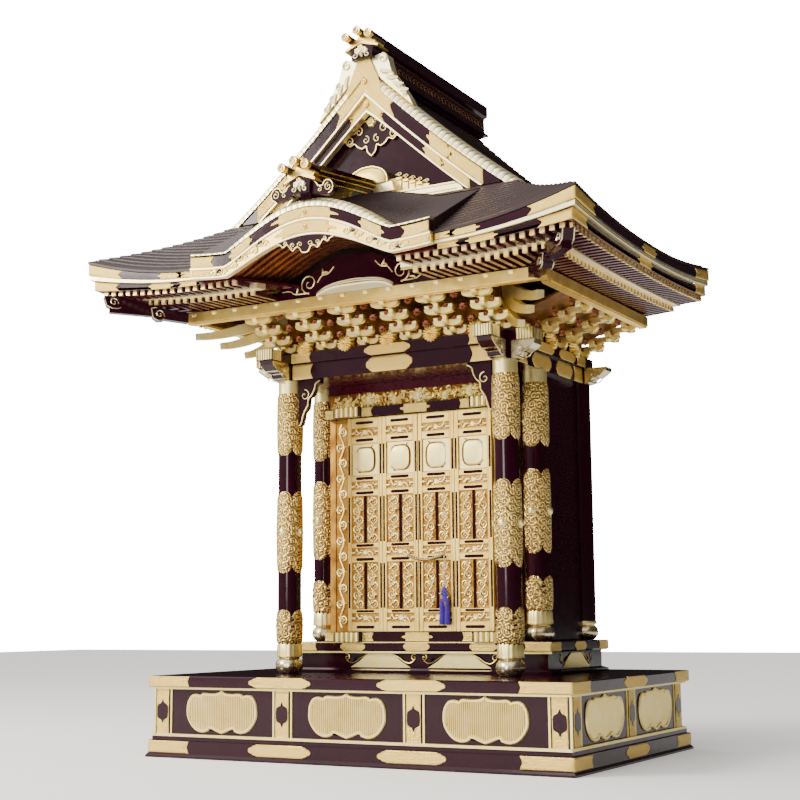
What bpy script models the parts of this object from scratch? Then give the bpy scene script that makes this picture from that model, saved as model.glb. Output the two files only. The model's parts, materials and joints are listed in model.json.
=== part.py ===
"""A black-lacquer and gold temple shrine: dais, platform, cell with four folding leaves, porch and roof.

Metres, +Z up, front towards -Y. Pieces are drawn in the shrine's own plan, where x = 0 is the plane of
symmetry, and hang on one empty that sets the middle of the footprint over the world's origin.
"""
from math import cos, pi, sin

import bmesh
import bpy
from mathutils import Matrix, Vector

# Fits
GAP = 0.0003                 # between pieces that touch
OVERLAP = 0.001              # how far fused shapes run into each other

# Plan of the columns
COLUMN_X = 0.274             # column lines left and right of the middle
REAR_LINE = 0.204            # y of the rear columns
CELL_BAY = 0.2505            # rear columns to mid columns
PORCH_BAY = 0.1505           # mid columns to front columns
MID_LINE = REAR_LINE - CELL_BAY
FRONT_LINE = MID_LINE - PORCH_BAY

# Dais
DAIS_HEIGHT = 0.173
DAIS_REACH = 0.226           # top board beyond the column lines, left and right
DAIS_FRONT = 0.2125          # top board in front of the front columns
DAIS_BACK = 0.0505           # top board behind the rear columns
DAIS_TOP = 0.0235            # thickness of the top board
DAIS_BASE = 0.0445           # height of the foot with its rail
DAIS_RAIL = 0.036            # height of the rail below the foot's top strip
DAIS_FOOT = 0.009            # height of the foot moulding
FOOT_REACH = 0.0045          # foot moulding beyond the top board
WALL_SETBACK = 0.014         # walls inside the edge of the top board
WALL_THICK = 0.014
POST_WIDTH = 0.034
POST_PROUD = 0.003
WINDOW_WIDTH = 0.172         # cusped windows of the front
SIDE_WINDOW_WIDTH = 0.19
WINDOW_HEIGHT = 0.082
WINDOW_DEPTH = 0.005

# Platform
PLATFORM_HEIGHT = 0.068
PLATFORM_REACH = 0.049       # top board beyond the column lines, left and right
PLATFORM_FRONT = 0.056       # in front of the mid columns
PLATFORM_BACK = 0.017        # behind the rear columns
PLATFORM_TOP = 0.022
APRON_SETBACK = 0.012
ARCH_WIDTH = 0.155
ARCH_HEIGHT = 0.03
ARCH_DEPTH = 0.004

# Columns
SHAFT_RADIUS = 0.0265
SLEEVE_RADIUS = 0.029
NECK_RADIUS = 0.0235
BALL_RADIUS = 0.0315
BALL_HEIGHT = 0.036
COLLAR_HEIGHT = 0.030
COLUMN_SIDES = 12
SLEEVES = ((0.107, 0.246), (0.372, 0.659), (0.81, 0.985))   # shares of the shaft above the collar
TIE_BOTTOM = 0.833           # top of the columns

# Timbers over the columns
TIE_DEPTH = 0.0365
TIE_THICK = 0.036
PLATE_DEPTH = 0.025
PLATE_WIDTH = 0.053
NOSE_REACH = 0.080           # timber ends beyond the column lines
FRONT_NOSE_REACH = 0.108
SPANDREL_WIDTH = 0.0565
SPANDREL_HEIGHT = 0.103

# Cell and its door
OPENING_HALF = 0.186         # half the width of the door opening
DOOR_FRONT = -0.0435         # front face of the leaves, from the mid column line
LEAF_THICK = 0.012
LEAF_CLEAR = 0.001           # leaves to threshold and head
CENTRE_GAP = 0.0015
FOLD_GAP = 0.0006
FOLD_AXIS_PROUD = 0.0015     # fold axis in front of the leaves
PIVOT_INSET = 0.006          # pivot axis from the leaf's outer edge
THRESHOLD_HEIGHT = 0.0215
DOOR_TOP = 0.7545            # underside of the head rail
HEAD_HEIGHT = 0.0225
RAIL_FRONT = -0.0515         # threshold and head rail, from the mid column line
FRAME_FRONT = -0.0285        # jambs and transom, from the mid column line
FRAME_BACK = -0.004
BLOCK_X = (0.142, 0.212)     # pivot blocks
BLOCK_PROUD = 0.012
WALL_BOARD = 0.012
FLOWERS = ((0, 0.03), (-0.13, 0.022), (0.13, 0.022))   # x and radius of the transom's flowers
FLOWER_PROUD = 0.012

# Eaves and roof
EAVE_X = 0.5875
EAVE_FRONT = 0.3445          # front eave in front of the front columns
ROOF_BACK = 0.043            # roof behind the rear columns
EAVE_Z = 1.035               # top of the roof's edge at the middle of the front
CORNER_RISE = 0.052
CORNER_BEND = 1.8            # how suddenly the front eave rises to its corners
SIDE_RISE = 0.021
SIDE_BEND = 2.2              # the same for the side eaves
RISE_FADE = 1.3              # how the rise dies out up the roof
FLAT_SHARE = 0.506            # where the front eave becomes level, as a share from corner to middle
ROOF_EDGE = 0.006
GABLE_INSET = 0.2315         # gable feet from the eave
GABLE_FOOT_Z = 1.187
GABLE_CUT = 0.001            # the gable's floor is cut this deep into the skirt
RIDGE_Z = 1.498              # highest line of the roof's surface
COURSE = 0.0178              # courses of the roof
COURSE_STEP = 0.0035
SOFFIT_Z = 1.000             # tops of the flying rafters at the middle of the front
SOFFIT_IN_Z = 1.009
SOFFIT_RISE = 0.42           # share of the eave's rise that the rafters follow
SOFFIT_DEPTH = 0.2
SOFFIT_BOARD = 0.009
BOARD_DEPTH = 0.038
STRIP_SETBACK = 0.004        # strip between the eave boards, behind the upper board
LOWER_SETBACK = 0.012        # lower eave board, behind the upper one
BOARD_SHARES = (0.42, 0.44, 0.62, 0.64)   # foot of the upper board, the strip, top of the lower board
RAFTER_SIZE = 0.0095
RAFTER_SETBACK = 0.0215
FLYING_DEPTH = 0.074
BASE_RAFTER_DROP = 0.0215
PURLIN_TOP = 0.9845
PURLIN_DEPTH = 0.022
PURLIN_WIDTH = 0.024
PURLIN_OUT = 0.153           # purlin's middle beyond the column lines
PURLIN_END = 0.020           # front purlin beyond the side purlins' middles
EAVE_INNER_END = 0.2         # front eaves stop under the curved gable
HIP_INSETS = (0.035, 0.118)  # ends of the hip rafters, in from both eaves
HIP_SIZE = (0.020, 0.024)
HIP_DROP = 0.0165            # middle of the outer end below the soffit

# Front gable
VERGE_FRONT = -0.318
GABLE_DEPTH = 0.048          # gable wall behind the verge
VERGE_BAND = 0.045
VERGE_PROUD = 0.018
VERGE_WIDTH = 0.032
BOARD_HEIGHT = 0.032
INNER_BOARD_HEIGHT = 0.032
SILL_HEIGHT = 0.028
SILL_HALF = 0.215
GABLE_WALL = 0.010           # thickness of the wall board
RIDGE_FRONT = -0.285
RIDGE_BACK = 0.232
RIDGE_RISE = 0.083           # top of the ridge above the roof's surface
RIDGE_SEAT = 0.008           # the roof is flat this far below its highest line
RIDGE_HALF = 0.034

# Curved gable over the porch
PORCH_FRONT = -0.556
PORCH_HALF = 0.2895
PORCH_BELL = 0.2
PORCH_LOW_Z = 1.048
PORCH_BELL_RISE = 0.0746
PORCH_BELL_BEND = 1.15
PORCH_TAIL_RISE = 0.006      # upturn of the ends
PORCH_TAIL_BEND = 1.5
PORCH_BOARD = 0.023
PORCH_CARVED = 0.036
PORCH_THICK = 0.015
PORCH_END_LIFT = 0.012       # the boards narrow by this towards the ends
PORCH_BACK_Z = 1.176
PORCH_BACK_RISE = 0.03
PORCH_SHELL = 0.034
PORCH_BAND = 0.0228          # tile band at the crown
PORCH_BAND_END = 0.007       # and at the ends
PORCH_PENDANT = (0.07, 0.034)   # half width and depth of the fretwork under the crown
PORCH_RIDGE_TOP = 1.212      # at its front end
PORCH_RIDGE_SLOPE = 0.030    # its rise to the gable wall
PORCH_WEB = 0.026
PORCH_CAP = 0.040
PORCH_CAP_DEPTH = 0.012
PORCH_NOTCH_BACK = 0.015     # the skirt roof is open under the porch up to here before the gable
PORCH_TUBE_FRONT = -0.600

# Places that follow from the sizes above
DAIS_HALF = COLUMN_X + DAIS_REACH
DAIS_Y = (FRONT_LINE - DAIS_FRONT, REAR_LINE + DAIS_BACK)
PLATFORM_Z = DAIS_HEIGHT + PLATFORM_HEIGHT
PLATFORM_HALF = COLUMN_X + PLATFORM_REACH
PLATFORM_Y = (MID_LINE - PLATFORM_FRONT, REAR_LINE + PLATFORM_BACK)
TIE_TOP = TIE_BOTTOM + TIE_DEPTH
PLATE_TOP = TIE_TOP + PLATE_DEPTH
EAVE_Y = FRONT_LINE - EAVE_FRONT
ROOF_Y = REAR_LINE + ROOF_BACK
GABLE_Y = EAVE_Y + GABLE_INSET
GABLE_FLOOR = GABLE_FOOT_Z - GABLE_CUT
ROOF_UNDER = SOFFIT_IN_Z + SOFFIT_BOARD + 0.0005
SOFFIT_LEAN = (BOARD_DEPTH - LOWER_SETBACK) / (SOFFIT_DEPTH - LOWER_SETBACK)
RIDGE_TOP = RIDGE_Z + RIDGE_RISE
RIDGE_FOOT = RIDGE_Z - RIDGE_SEAT
LEAF_FRONT_Y = MID_LINE + DOOR_FRONT
LEAF_BACK_Y = LEAF_FRONT_Y + LEAF_THICK
LEAF_Z = (PLATFORM_Z + THRESHOLD_HEIGHT + LEAF_CLEAR, DOOR_TOP - LEAF_CLEAR)
MIDDLE_Y = (PORCH_TUBE_FRONT + DAIS_Y[1] + FOOT_REACH) / 2

# Finishes: colour, roughness, metallic
GOLD = ((0.78, 0.60, 0.28), 0.32, 1.0)
PALE_GOLD = ((0.86, 0.74, 0.48), 0.38, 0.9)
LACQUER = ((0.012, 0.006, 0.008), 0.12, 0.0)
VERMILION = ((0.16, 0.01, 0.012), 0.3, 0.0)
PURPLE = ((0.08, 0.03, 0.35), 0.8, 0.0)
PINK = ((0.75, 0.5, 0.45), 0.8, 0.0)


def clear_scene():
    for item in list(bpy.data.objects):
        bpy.data.objects.remove(item)


def collection(name):
    made = bpy.data.collections.new(name)
    bpy.context.scene.collection.children.link(made)
    return made


clear_scene()
SHRINE = collection("temple_shrine")
BENCH = collection("shapes_in_work")
PLAN = bpy.data.objects.new("plan_origin", None)
PLAN.location = (0, -MIDDLE_Y, 0)
SHRINE.objects.link(PLAN)


def finish(name, look):
    """A plain Principled material with a piece's colour, roughness and metallic value."""
    colour, roughness, metallic = look
    material = bpy.data.materials.new(name)
    material.use_nodes = True
    shader = material.node_tree.nodes["Principled BSDF"]
    shader.inputs["Base Color"].default_value = (*colour, 1)
    shader.inputs["Roughness"].default_value = roughness
    shader.inputs["Metallic"].default_value = metallic
    return material


def keep(name, mesh, look, hinge=None, smooth=False):
    """Name a finished mesh as a piece; hinge is a point on its joint's axis, where its origin goes."""
    piece = bpy.data.objects.new(name, mesh)
    mesh.name = name
    mesh.materials.clear()
    mesh.materials.append(finish(name + "_finish", look))
    if hinge:
        mesh.transform(Matrix.Translation(-Vector(hinge)))
        piece.location = hinge
    if smooth:
        mesh.shade_smooth()
        mesh.set_sharp_from_angle(angle=0.6)
    SHRINE.objects.link(piece)
    piece.parent = PLAN
    return piece


def mesh_of(work):
    """Take a working mesh out of bmesh, welded and facing outwards."""
    bmesh.ops.remove_doubles(work, verts=work.verts, dist=1e-6)
    bmesh.ops.recalc_face_normals(work, faces=work.faces)
    mesh = bpy.data.meshes.new("shape")
    work.to_mesh(mesh)
    work.free()
    return mesh


def evaluated(item):
    """The mesh an object evaluates to; the object itself is taken away."""
    bpy.context.view_layer.update()
    graph = bpy.context.evaluated_depsgraph_get()
    mesh = bpy.data.meshes.new_from_object(item.evaluated_get(graph))
    mesh.transform(item.matrix_world)
    bpy.data.objects.remove(item)
    work = bmesh.new()
    work.from_mesh(mesh)
    return mesh_of(work)


def on_bench(data):
    item = bpy.data.objects.new("work", data)
    item.hide_render = True
    item.display_type = "WIRE"
    BENCH.objects.link(item)
    return item


def together(meshes):
    work = bmesh.new()
    for mesh in meshes:
        work.from_mesh(mesh)
    mesh = bpy.data.meshes.new("shape")
    work.to_mesh(mesh)
    work.free()
    return mesh


def boolean(mesh, tools, operation):
    body = on_bench(mesh)
    tool = on_bench(together(tools))
    change = body.modifiers.new("Change", "BOOLEAN")
    change.operation = operation
    change.object = tool
    change.use_self = len(tools) > 1
    result = evaluated(body)
    bpy.data.objects.remove(tool)
    return result


def fuse(*meshes):
    """One solid from shapes that run into each other."""
    return boolean(meshes[0], meshes[1:], "UNION")


def cut(mesh, *tools):
    return boolean(mesh, tools, "DIFFERENCE")


def box(x, y, z):
    """A block between (low, high) pairs."""
    work = bmesh.new()
    bmesh.ops.create_cube(work, size=1)
    size = Matrix.Diagonal((x[1] - x[0], y[1] - y[0], z[1] - z[0], 1))
    place = Matrix.Translation((sum(x) / 2, sum(y) / 2, sum(z) / 2))
    bmesh.ops.transform(work, matrix=place @ size, verts=work.verts)
    return mesh_of(work)


def bar(start, end, width, height, sideways):
    """A straight bar between two points, its width along the unit vector sideways."""
    start, end, across = Vector(start), Vector(end), Vector(sideways)
    along = end - start
    up = along.cross(across).normalized()
    turn = Matrix((along * 1.0, across * width, up * height)).transposed().to_4x4()
    work = bmesh.new()
    bmesh.ops.create_cube(work, size=1)
    bmesh.ops.transform(work, matrix=Matrix.Translation((start + end) / 2) @ turn, verts=work.verts)
    return mesh_of(work)


def outline(points, low, high, facing):
    """A flat outline of (across, up) points with thickness: x-z facing y, y-z facing x, x-y facing z."""
    curve = bpy.data.curves.new("outline", "CURVE")
    curve.dimensions = "2D"
    curve.fill_mode = "BOTH"
    curve.extrude = (high - low) / 2
    spline = curve.splines.new("POLY")
    spline.points.add(len(points) - 1)
    for point, (across, up) in zip(spline.points, points):
        point.co = (across, up, 0, 1)
    spline.use_cyclic_u = True
    mesh = evaluated(on_bench(curve))
    turns = {"y": Matrix(((1, 0, 0), (0, 0, -1), (0, 1, 0))),
             "x": Matrix(((0, 0, 1), (1, 0, 0), (0, 1, 0))),
             "z": Matrix.Identity(3)}
    middle = {"y": (0, (low + high) / 2, 0), "x": ((low + high) / 2, 0, 0), "z": (0, 0, (low + high) / 2)}
    mesh.transform(Matrix.Translation(middle[facing]) @ turns[facing].to_4x4())
    return mesh


def loft(rings):
    """A closed skin through rings of equal length, with a face over each end."""
    work = bmesh.new()
    rows = [[work.verts.new(point) for point in ring] for ring in rings]
    count = len(rows[0])
    for lower, upper in zip(rows, rows[1:]):
        for k in range(count):
            n = (k + 1) % count
            work.faces.new((lower[k], lower[n], upper[n], upper[k]))
    work.faces.new(rows[0])
    work.faces.new(rows[-1])
    return mesh_of(work)


def tiers(half, y, levels):
    """A rectangular block with a moulded edge; levels are (height, reach beyond half and y)."""
    rings = []
    for height, reach in levels:
        x = half + reach
        rings.append([(-x, y[0] - reach, height), (x, y[0] - reach, height),
                      (x, y[1] + reach, height), (-x, y[1] + reach, height)])
    return loft(rings)


def turned(profile, sides):
    """A turned shape about the z axis; profile runs from its top to its foot as (radius, height)."""
    mesh = bpy.data.meshes.new("profile")
    mesh.from_pydata([(radius, 0, height) for radius, height in profile],
                     [(k, k + 1) for k in range(len(profile) - 1)], [])
    item = on_bench(mesh)
    screw = item.modifiers.new("Turn", "SCREW")
    screw.steps = screw.render_steps = sides
    screw.use_merge_vertices = True
    screw.merge_threshold = 0.00005
    return evaluated(item)


def moved(mesh, x=0.0, y=0.0, z=0.0):
    copy = mesh.copy()
    copy.transform(Matrix.Translation((x, y, z)))
    return copy


def mirrored(mesh):
    """The same shape on the other side of the plane of symmetry."""
    work = bmesh.new()
    work.from_mesh(mesh)
    bmesh.ops.scale(work, vec=(-1, 1, 1), verts=work.verts)
    return mesh_of(work)


def cusped(width, height):
    """A window outline with a low pointed head, a notch under each shoulder and rounded lower corners."""
    half = [(0, 0.5), (0.3, 0.44), (0.37, 0.32), (0.46, 0.28), (0.5, 0), (0.46, -0.26), (0.35, -0.42)]
    points = [(width * x, height * z) for x, z in half]
    return points + [(0, -height / 2)] + [(-x, z) for x, z in reversed(points[1:])]


def shifted(points, across, up):
    return [(a + across, b + up) for a, b in points]


# Dais

def dais():
    base = [(0, FOOT_REACH), (DAIS_FOOT * 0.45, FOOT_REACH), (DAIS_FOOT, 0), (DAIS_RAIL, 0),
            (DAIS_RAIL + 0.0005, -0.006), (DAIS_BASE, -0.006)]
    keep("dais_base", tiers(DAIS_HALF, DAIS_Y, base), LACQUER)
    top_low = DAIS_HEIGHT - DAIS_TOP
    edge = [(top_low, 0), (DAIS_HEIGHT - 0.0025, 0), (DAIS_HEIGHT, -0.0025)]
    keep("dais_top", tiers(DAIS_HALF, DAIS_Y, edge), LACQUER)

    low, high = DAIS_BASE + GAP, top_low - GAP
    half = DAIS_HALF - WALL_SETBACK
    front, back = DAIS_Y[0] + WALL_SETBACK, DAIS_Y[1] - WALL_SETBACK
    window_z = (low + high) / 2
    pitch = (2 * half - POST_WIDTH) / 3
    board = box((-half, half), (front, front + WALL_THICK), (low, high))
    posts = [box((x - POST_WIDTH / 2, x + POST_WIDTH / 2), (front - POST_PROUD, front + OVERLAP), (low, high))
             for x in (-half + POST_WIDTH / 2 + pitch * k for k in range(4))]
    windows = [outline(shifted(cusped(WINDOW_WIDTH, WINDOW_HEIGHT), pitch * k, window_z),
                       front - OVERLAP, front + WINDOW_DEPTH, "y") for k in (-1, 0, 1)]
    keep("dais_wall_front", cut(fuse(board, *posts), *windows), LACQUER)
    keep("dais_wall_back", box((-half, half), (back - WALL_THICK, back), (low, high)), LACQUER)

    side_y = (front + WALL_THICK + GAP, back - WALL_THICK - GAP)
    run = (side_y[1] - side_y[0] - POST_WIDTH) / 2
    board = box((half - WALL_THICK, half), side_y, (low, high))
    posts = [box((half - OVERLAP, half + POST_PROUD), (y - POST_WIDTH / 2, y + POST_WIDTH / 2), (low, high))
             for y in (side_y[0] + POST_WIDTH / 2 + run * k for k in range(3))]
    windows = [outline(shifted(cusped(SIDE_WINDOW_WIDTH, WINDOW_HEIGHT),
                               side_y[0] + POST_WIDTH / 2 + run * (k + 0.5), window_z),
                       half - WINDOW_DEPTH, half + OVERLAP, "x") for k in (0, 1)]
    right = cut(fuse(board, *posts), *windows)
    keep("dais_wall_left", mirrored(right), LACQUER)
    keep("dais_wall_right", right, LACQUER)


# Platform under the cell

def platform():
    low, high = DAIS_HEIGHT + GAP, PLATFORM_Z - PLATFORM_TOP
    levels = [(low, 0), (low + 0.005, 0), (low + 0.009, -APRON_SETBACK), (high - GAP, -APRON_SETBACK)]
    apron = tiers(PLATFORM_HALF, PLATFORM_Y, levels)
    rise = low + 0.012

    def arch(middle):
        return [(middle + ARCH_WIDTH / 2 * cos(pi * k / 6), rise + ARCH_HEIGHT * sin(pi * k / 6) ** 0.6)
                for k in range(7)]

    face = PLATFORM_Y[0] + APRON_SETBACK
    side = PLATFORM_HALF - APRON_SETBACK
    middle_y = sum(PLATFORM_Y) / 2
    pockets = [outline(arch(x), face - OVERLAP, face + ARCH_DEPTH, "y") for x in (-0.1, 0.1)]
    pockets += [outline(arch(middle_y), side - ARCH_DEPTH, side + OVERLAP, "x"),
                outline(arch(middle_y), -side - OVERLAP, -side + ARCH_DEPTH, "x")]
    keep("platform_apron", cut(apron, *pockets), LACQUER)
    edge = [(high, -0.003), (high + 0.004, 0), (PLATFORM_Z - 0.002, 0), (PLATFORM_Z, -0.002)]
    keep("platform_top", tiers(PLATFORM_HALF, PLATFORM_Y, edge), LACQUER)


# Columns

def column_profile(foot, plain):
    """Radius and height down a column: neck, sleeves on the shaft, fluted collar and ball."""
    top = TIE_BOTTOM - GAP
    foot += GAP
    collar = foot + BALL_HEIGHT
    shaft = collar + COLLAR_HEIGHT
    length = top - shaft
    profile = [(0, top), (NECK_RADIUS, top)]
    edge = 0.003
    if plain:
        profile = [(0, top), (SHAFT_RADIUS, top)]
    else:
        for low, high in reversed(SLEEVES):
            inner = NECK_RADIUS if high > 0.9 else SHAFT_RADIUS
            profile += [(inner, shaft + length * high + edge), (SLEEVE_RADIUS, shaft + length * high)]
            profile += [(SLEEVE_RADIUS, shaft + length * low), (SHAFT_RADIUS, shaft + length * low - edge)]
    profile += [(SHAFT_RADIUS, shaft + edge), (SLEEVE_RADIUS, shaft), (SLEEVE_RADIUS, collar + 0.002),
                (NECK_RADIUS, collar)]
    for share in (0.2, 0.5, 0.8):
        bulge = sin(pi * (0.15 + 0.75 * share))
        profile.append((BALL_RADIUS * bulge, collar - BALL_HEIGHT * share))
    profile += [(NECK_RADIUS, foot), (0, foot)]
    return profile


def columns():
    rows = (("front", FRONT_LINE, DAIS_HEIGHT), ("mid", MID_LINE, PLATFORM_Z),
            ("rear", REAR_LINE, PLATFORM_Z))
    for row, y, foot in rows:
        plain = row == "rear"
        shape = turned(column_profile(foot, plain), COLUMN_SIDES)
        for side, x in (("left", -COLUMN_X), ("right", COLUMN_X)):
            keep(f"column_{row}_{side}", moved(shape, x, y), LACQUER if plain else PALE_GOLD, smooth=True)


# Ties, plates and corner boards over the columns

def nose(reach):
    """A timber end from the side: a scroll under it, rising to the tip; (out from the column, up)."""
    depth = TIE_DEPTH
    return [(0, 0), (reach * 0.34, 0), (reach * 0.46, depth * 0.1), (reach * 0.5, depth * 0.32),
            (reach * 0.72, depth * 0.45), (reach * 0.9, depth * 0.75), (reach * 0.94, depth), (0, depth)]


def ties():
    thick = TIE_THICK / 2
    end = nose(NOSE_REACH)
    front_end = nose(FRONT_NOSE_REACH)

    def row(y):
        """A tie between the column lines, with a nose beyond each."""
        right = shifted(end, COLUMN_X, TIE_BOTTOM)
        left = [(-x, z) for x, z in reversed(right)]
        return outline(right[1:-1] + [(COLUMN_X, TIE_TOP), (-COLUMN_X, TIE_TOP)] + left[1:-1],
                       y - thick, y + thick, "y")

    forward = [(FRONT_LINE - a, TIE_BOTTOM + b) for a, b in front_end]
    stubs = [outline(forward, x - thick * 0.9, x + thick * 0.9, "x") for x in (-COLUMN_X, COLUMN_X)]
    keep("tie_front", fuse(row(FRONT_LINE), *stubs), LACQUER)
    keep("tie_rear", row(REAR_LINE), LACQUER)
    side_y = (FRONT_LINE + thick + GAP, REAR_LINE - thick - GAP)
    side = box((COLUMN_X - thick, COLUMN_X + thick), side_y, (TIE_BOTTOM, TIE_TOP))
    keep("tie_left", mirrored(side), LACQUER)
    keep("tie_right", side, LACQUER)


def plates():
    wide = PLATE_WIDTH / 2
    low, high = TIE_TOP + GAP, PLATE_TOP - GAP
    reach = COLUMN_X + NOSE_REACH - 0.002
    ends = [box((x - wide * 0.8, x + wide * 0.8), (FRONT_LINE - FRONT_NOSE_REACH, FRONT_LINE), (low, high))
            for x in (-COLUMN_X, COLUMN_X)]
    front = fuse(box((-reach, reach), (FRONT_LINE - wide, FRONT_LINE + wide), (low, high)), *ends)
    keep("plate_front", front, LACQUER)
    side = box((COLUMN_X - wide, COLUMN_X + wide), (FRONT_LINE + wide + GAP, REAR_LINE + wide), (low, high))
    keep("plate_left", mirrored(side), LACQUER)
    keep("plate_right", side, LACQUER)


def spandrels():
    inner = COLUMN_X - SLEEVE_RADIUS - 0.0005
    top = TIE_BOTTOM - GAP
    width, height = SPANDREL_WIDTH, SPANDREL_HEIGHT
    points = [(inner, top), (inner, top - height), (inner - width * 0.1, top - height * 0.98),
              (inner - width * 0.22, top - height * 0.72), (inner - width * 0.4, top - height * 0.62),
              (inner - width * 0.45, top - height * 0.4), (inner - width * 0.68, top - height * 0.32),
              (inner - width * 0.76, top - height * 0.14), (inner - width, top - height * 0.08),
              (inner - width, top)]
    right = outline(points, FRONT_LINE - 0.008, FRONT_LINE + 0.008, "y")
    keep("spandrel_left", mirrored(right), LACQUER)
    keep("spandrel_right", right, LACQUER)


# Cell: walls, ceiling, door frame

def cell():
    low, high = PLATFORM_Z + GAP, TIE_BOTTOM - GAP
    board = WALL_BOARD / 2
    inner = BALL_RADIUS + 0.0005
    keep("cell_back", box((-COLUMN_X + inner, COLUMN_X - inner), (REAR_LINE - board, REAR_LINE + board),
                          (low, high)), GOLD)
    between = (MID_LINE + BALL_RADIUS + GAP, REAR_LINE - BALL_RADIUS - GAP)
    side = box((COLUMN_X - board, COLUMN_X + board), between, (low, high))
    keep("cell_left", mirrored(side), LACQUER)
    keep("cell_right", side, LACQUER)
    tie = TIE_THICK / 2 + GAP
    keep("cell_ceiling", box((-COLUMN_X + tie, COLUMN_X - tie), (FRONT_LINE + tie, REAR_LINE - tie),
                             (TIE_BOTTOM, TIE_BOTTOM + 0.01)), VERMILION)

    half = COLUMN_X - BALL_RADIUS - 0.0005
    front, back = MID_LINE + FRAME_FRONT, MID_LINE + FRAME_BACK
    rail_y = (MID_LINE + RAIL_FRONT, back)
    jamb_z = (PLATFORM_Z + THRESHOLD_HEIGHT + GAP, DOOR_TOP - GAP)
    for name, low, high in (("threshold", PLATFORM_Z + GAP, PLATFORM_Z + THRESHOLD_HEIGHT),
                            ("head_rail", DOOR_TOP, DOOR_TOP + HEAD_HEIGHT)):
        block_y = (rail_y[0] - BLOCK_PROUD, rail_y[0] + OVERLAP)
        right = box(BLOCK_X, block_y, (low, high))
        blocks = [right, mirrored(right)]
        keep(name, fuse(box((-half, half), rail_y, (low, high)), *blocks), LACQUER)
    jamb = box((OPENING_HALF + 0.003, half), (front, back), jamb_z)
    keep("jamb_left", mirrored(jamb), GOLD)
    keep("jamb_right", jamb, GOLD)

    low, high = DOOR_TOP + HEAD_HEIGHT + GAP, TIE_BOTTOM - GAP
    board = box((-half, half), (front, back), (low, high))
    middle = (low + high) / 2
    flowers = []
    for x, size in FLOWERS:
        petals = []
        for k in range(14):
            reach = size * (0.8 + 0.2 * (-1) ** k)
            petals.append((x + reach * cos(pi * k / 7), middle + reach * 0.85 * sin(pi * k / 7)))
        flowers.append(outline(petals, front - FLOWER_PROUD, front + OVERLAP, "y"))
    keep("transom", fuse(board, *flowers), GOLD)


# Door leaves, lock and tassel

PANEL_ROWS = ((0.710, 0.730, 1), (0.619, 0.693, 1), (0.586, 0.606, 1), (0.464, 0.572, 2),
              (0.4335, 0.453, 1), (0.314, 0.420, 2), (0.284, 0.305, 1))
PANEL_DEPTH = 0.002
STILE = 0.011
MUNTIN = 0.006
LOCK_Z = 0.434
LOCK_X = (-0.026, 0.070)
LOCK_BAR = 0.007
LOCK_SAG = 0.012
LOCK_STAND = 0.004
LOCK_FOOT = 0.010
TASSEL_X = 0.069
TASSEL_Z = (0.278, 0.362)
TASSEL_RADIUS = 0.0135
CORD_DIAMETER = 0.0026


def leaf(x):
    """One leaf between two x values, with its panels sunk."""
    low, high = x
    width = (high - low - 2 * STILE)
    panels = []
    for bottom, top, count in PANEL_ROWS:
        each = (width - MUNTIN * (count - 1)) / count
        for k in range(count):
            start = low + STILE + k * (each + MUNTIN)
            panels.append(box((start, start + each), (LEAF_FRONT_Y - OVERLAP, LEAF_FRONT_Y + PANEL_DEPTH),
                              (bottom, top)))
    return cut(box(x, (LEAF_FRONT_Y, LEAF_BACK_Y), LEAF_Z), *panels)


def lock_half(x):
    """Half of the sagging lock bar, with a foot towards the leaf."""
    low, high = x
    steps = 5
    middle, reach = sum(LOCK_X) / 2, (LOCK_X[1] - LOCK_X[0]) / 2

    def sag(at):
        return LOCK_Z - LOCK_SAG * (1 - ((at - middle) / reach) ** 2)

    places = [low + (high - low) * k / steps for k in range(steps + 1)]
    points = [(at, sag(at) + LOCK_BAR / 2) for at in places]
    points += [(at, sag(at) - LOCK_BAR / 2) for at in reversed(places)]
    front = LEAF_FRONT_Y - LOCK_STAND - LOCK_BAR
    strip = outline(points, front, front + LOCK_BAR, "y")
    foot_x = (low + high) / 2
    foot = box((foot_x - LOCK_FOOT / 2, foot_x + LOCK_FOOT / 2), (front + OVERLAP, LEAF_FRONT_Y - GAP),
               (sag(foot_x) - LOCK_BAR * 0.4, sag(foot_x) + LOCK_BAR * 0.4))
    return fuse(strip, foot)


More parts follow.
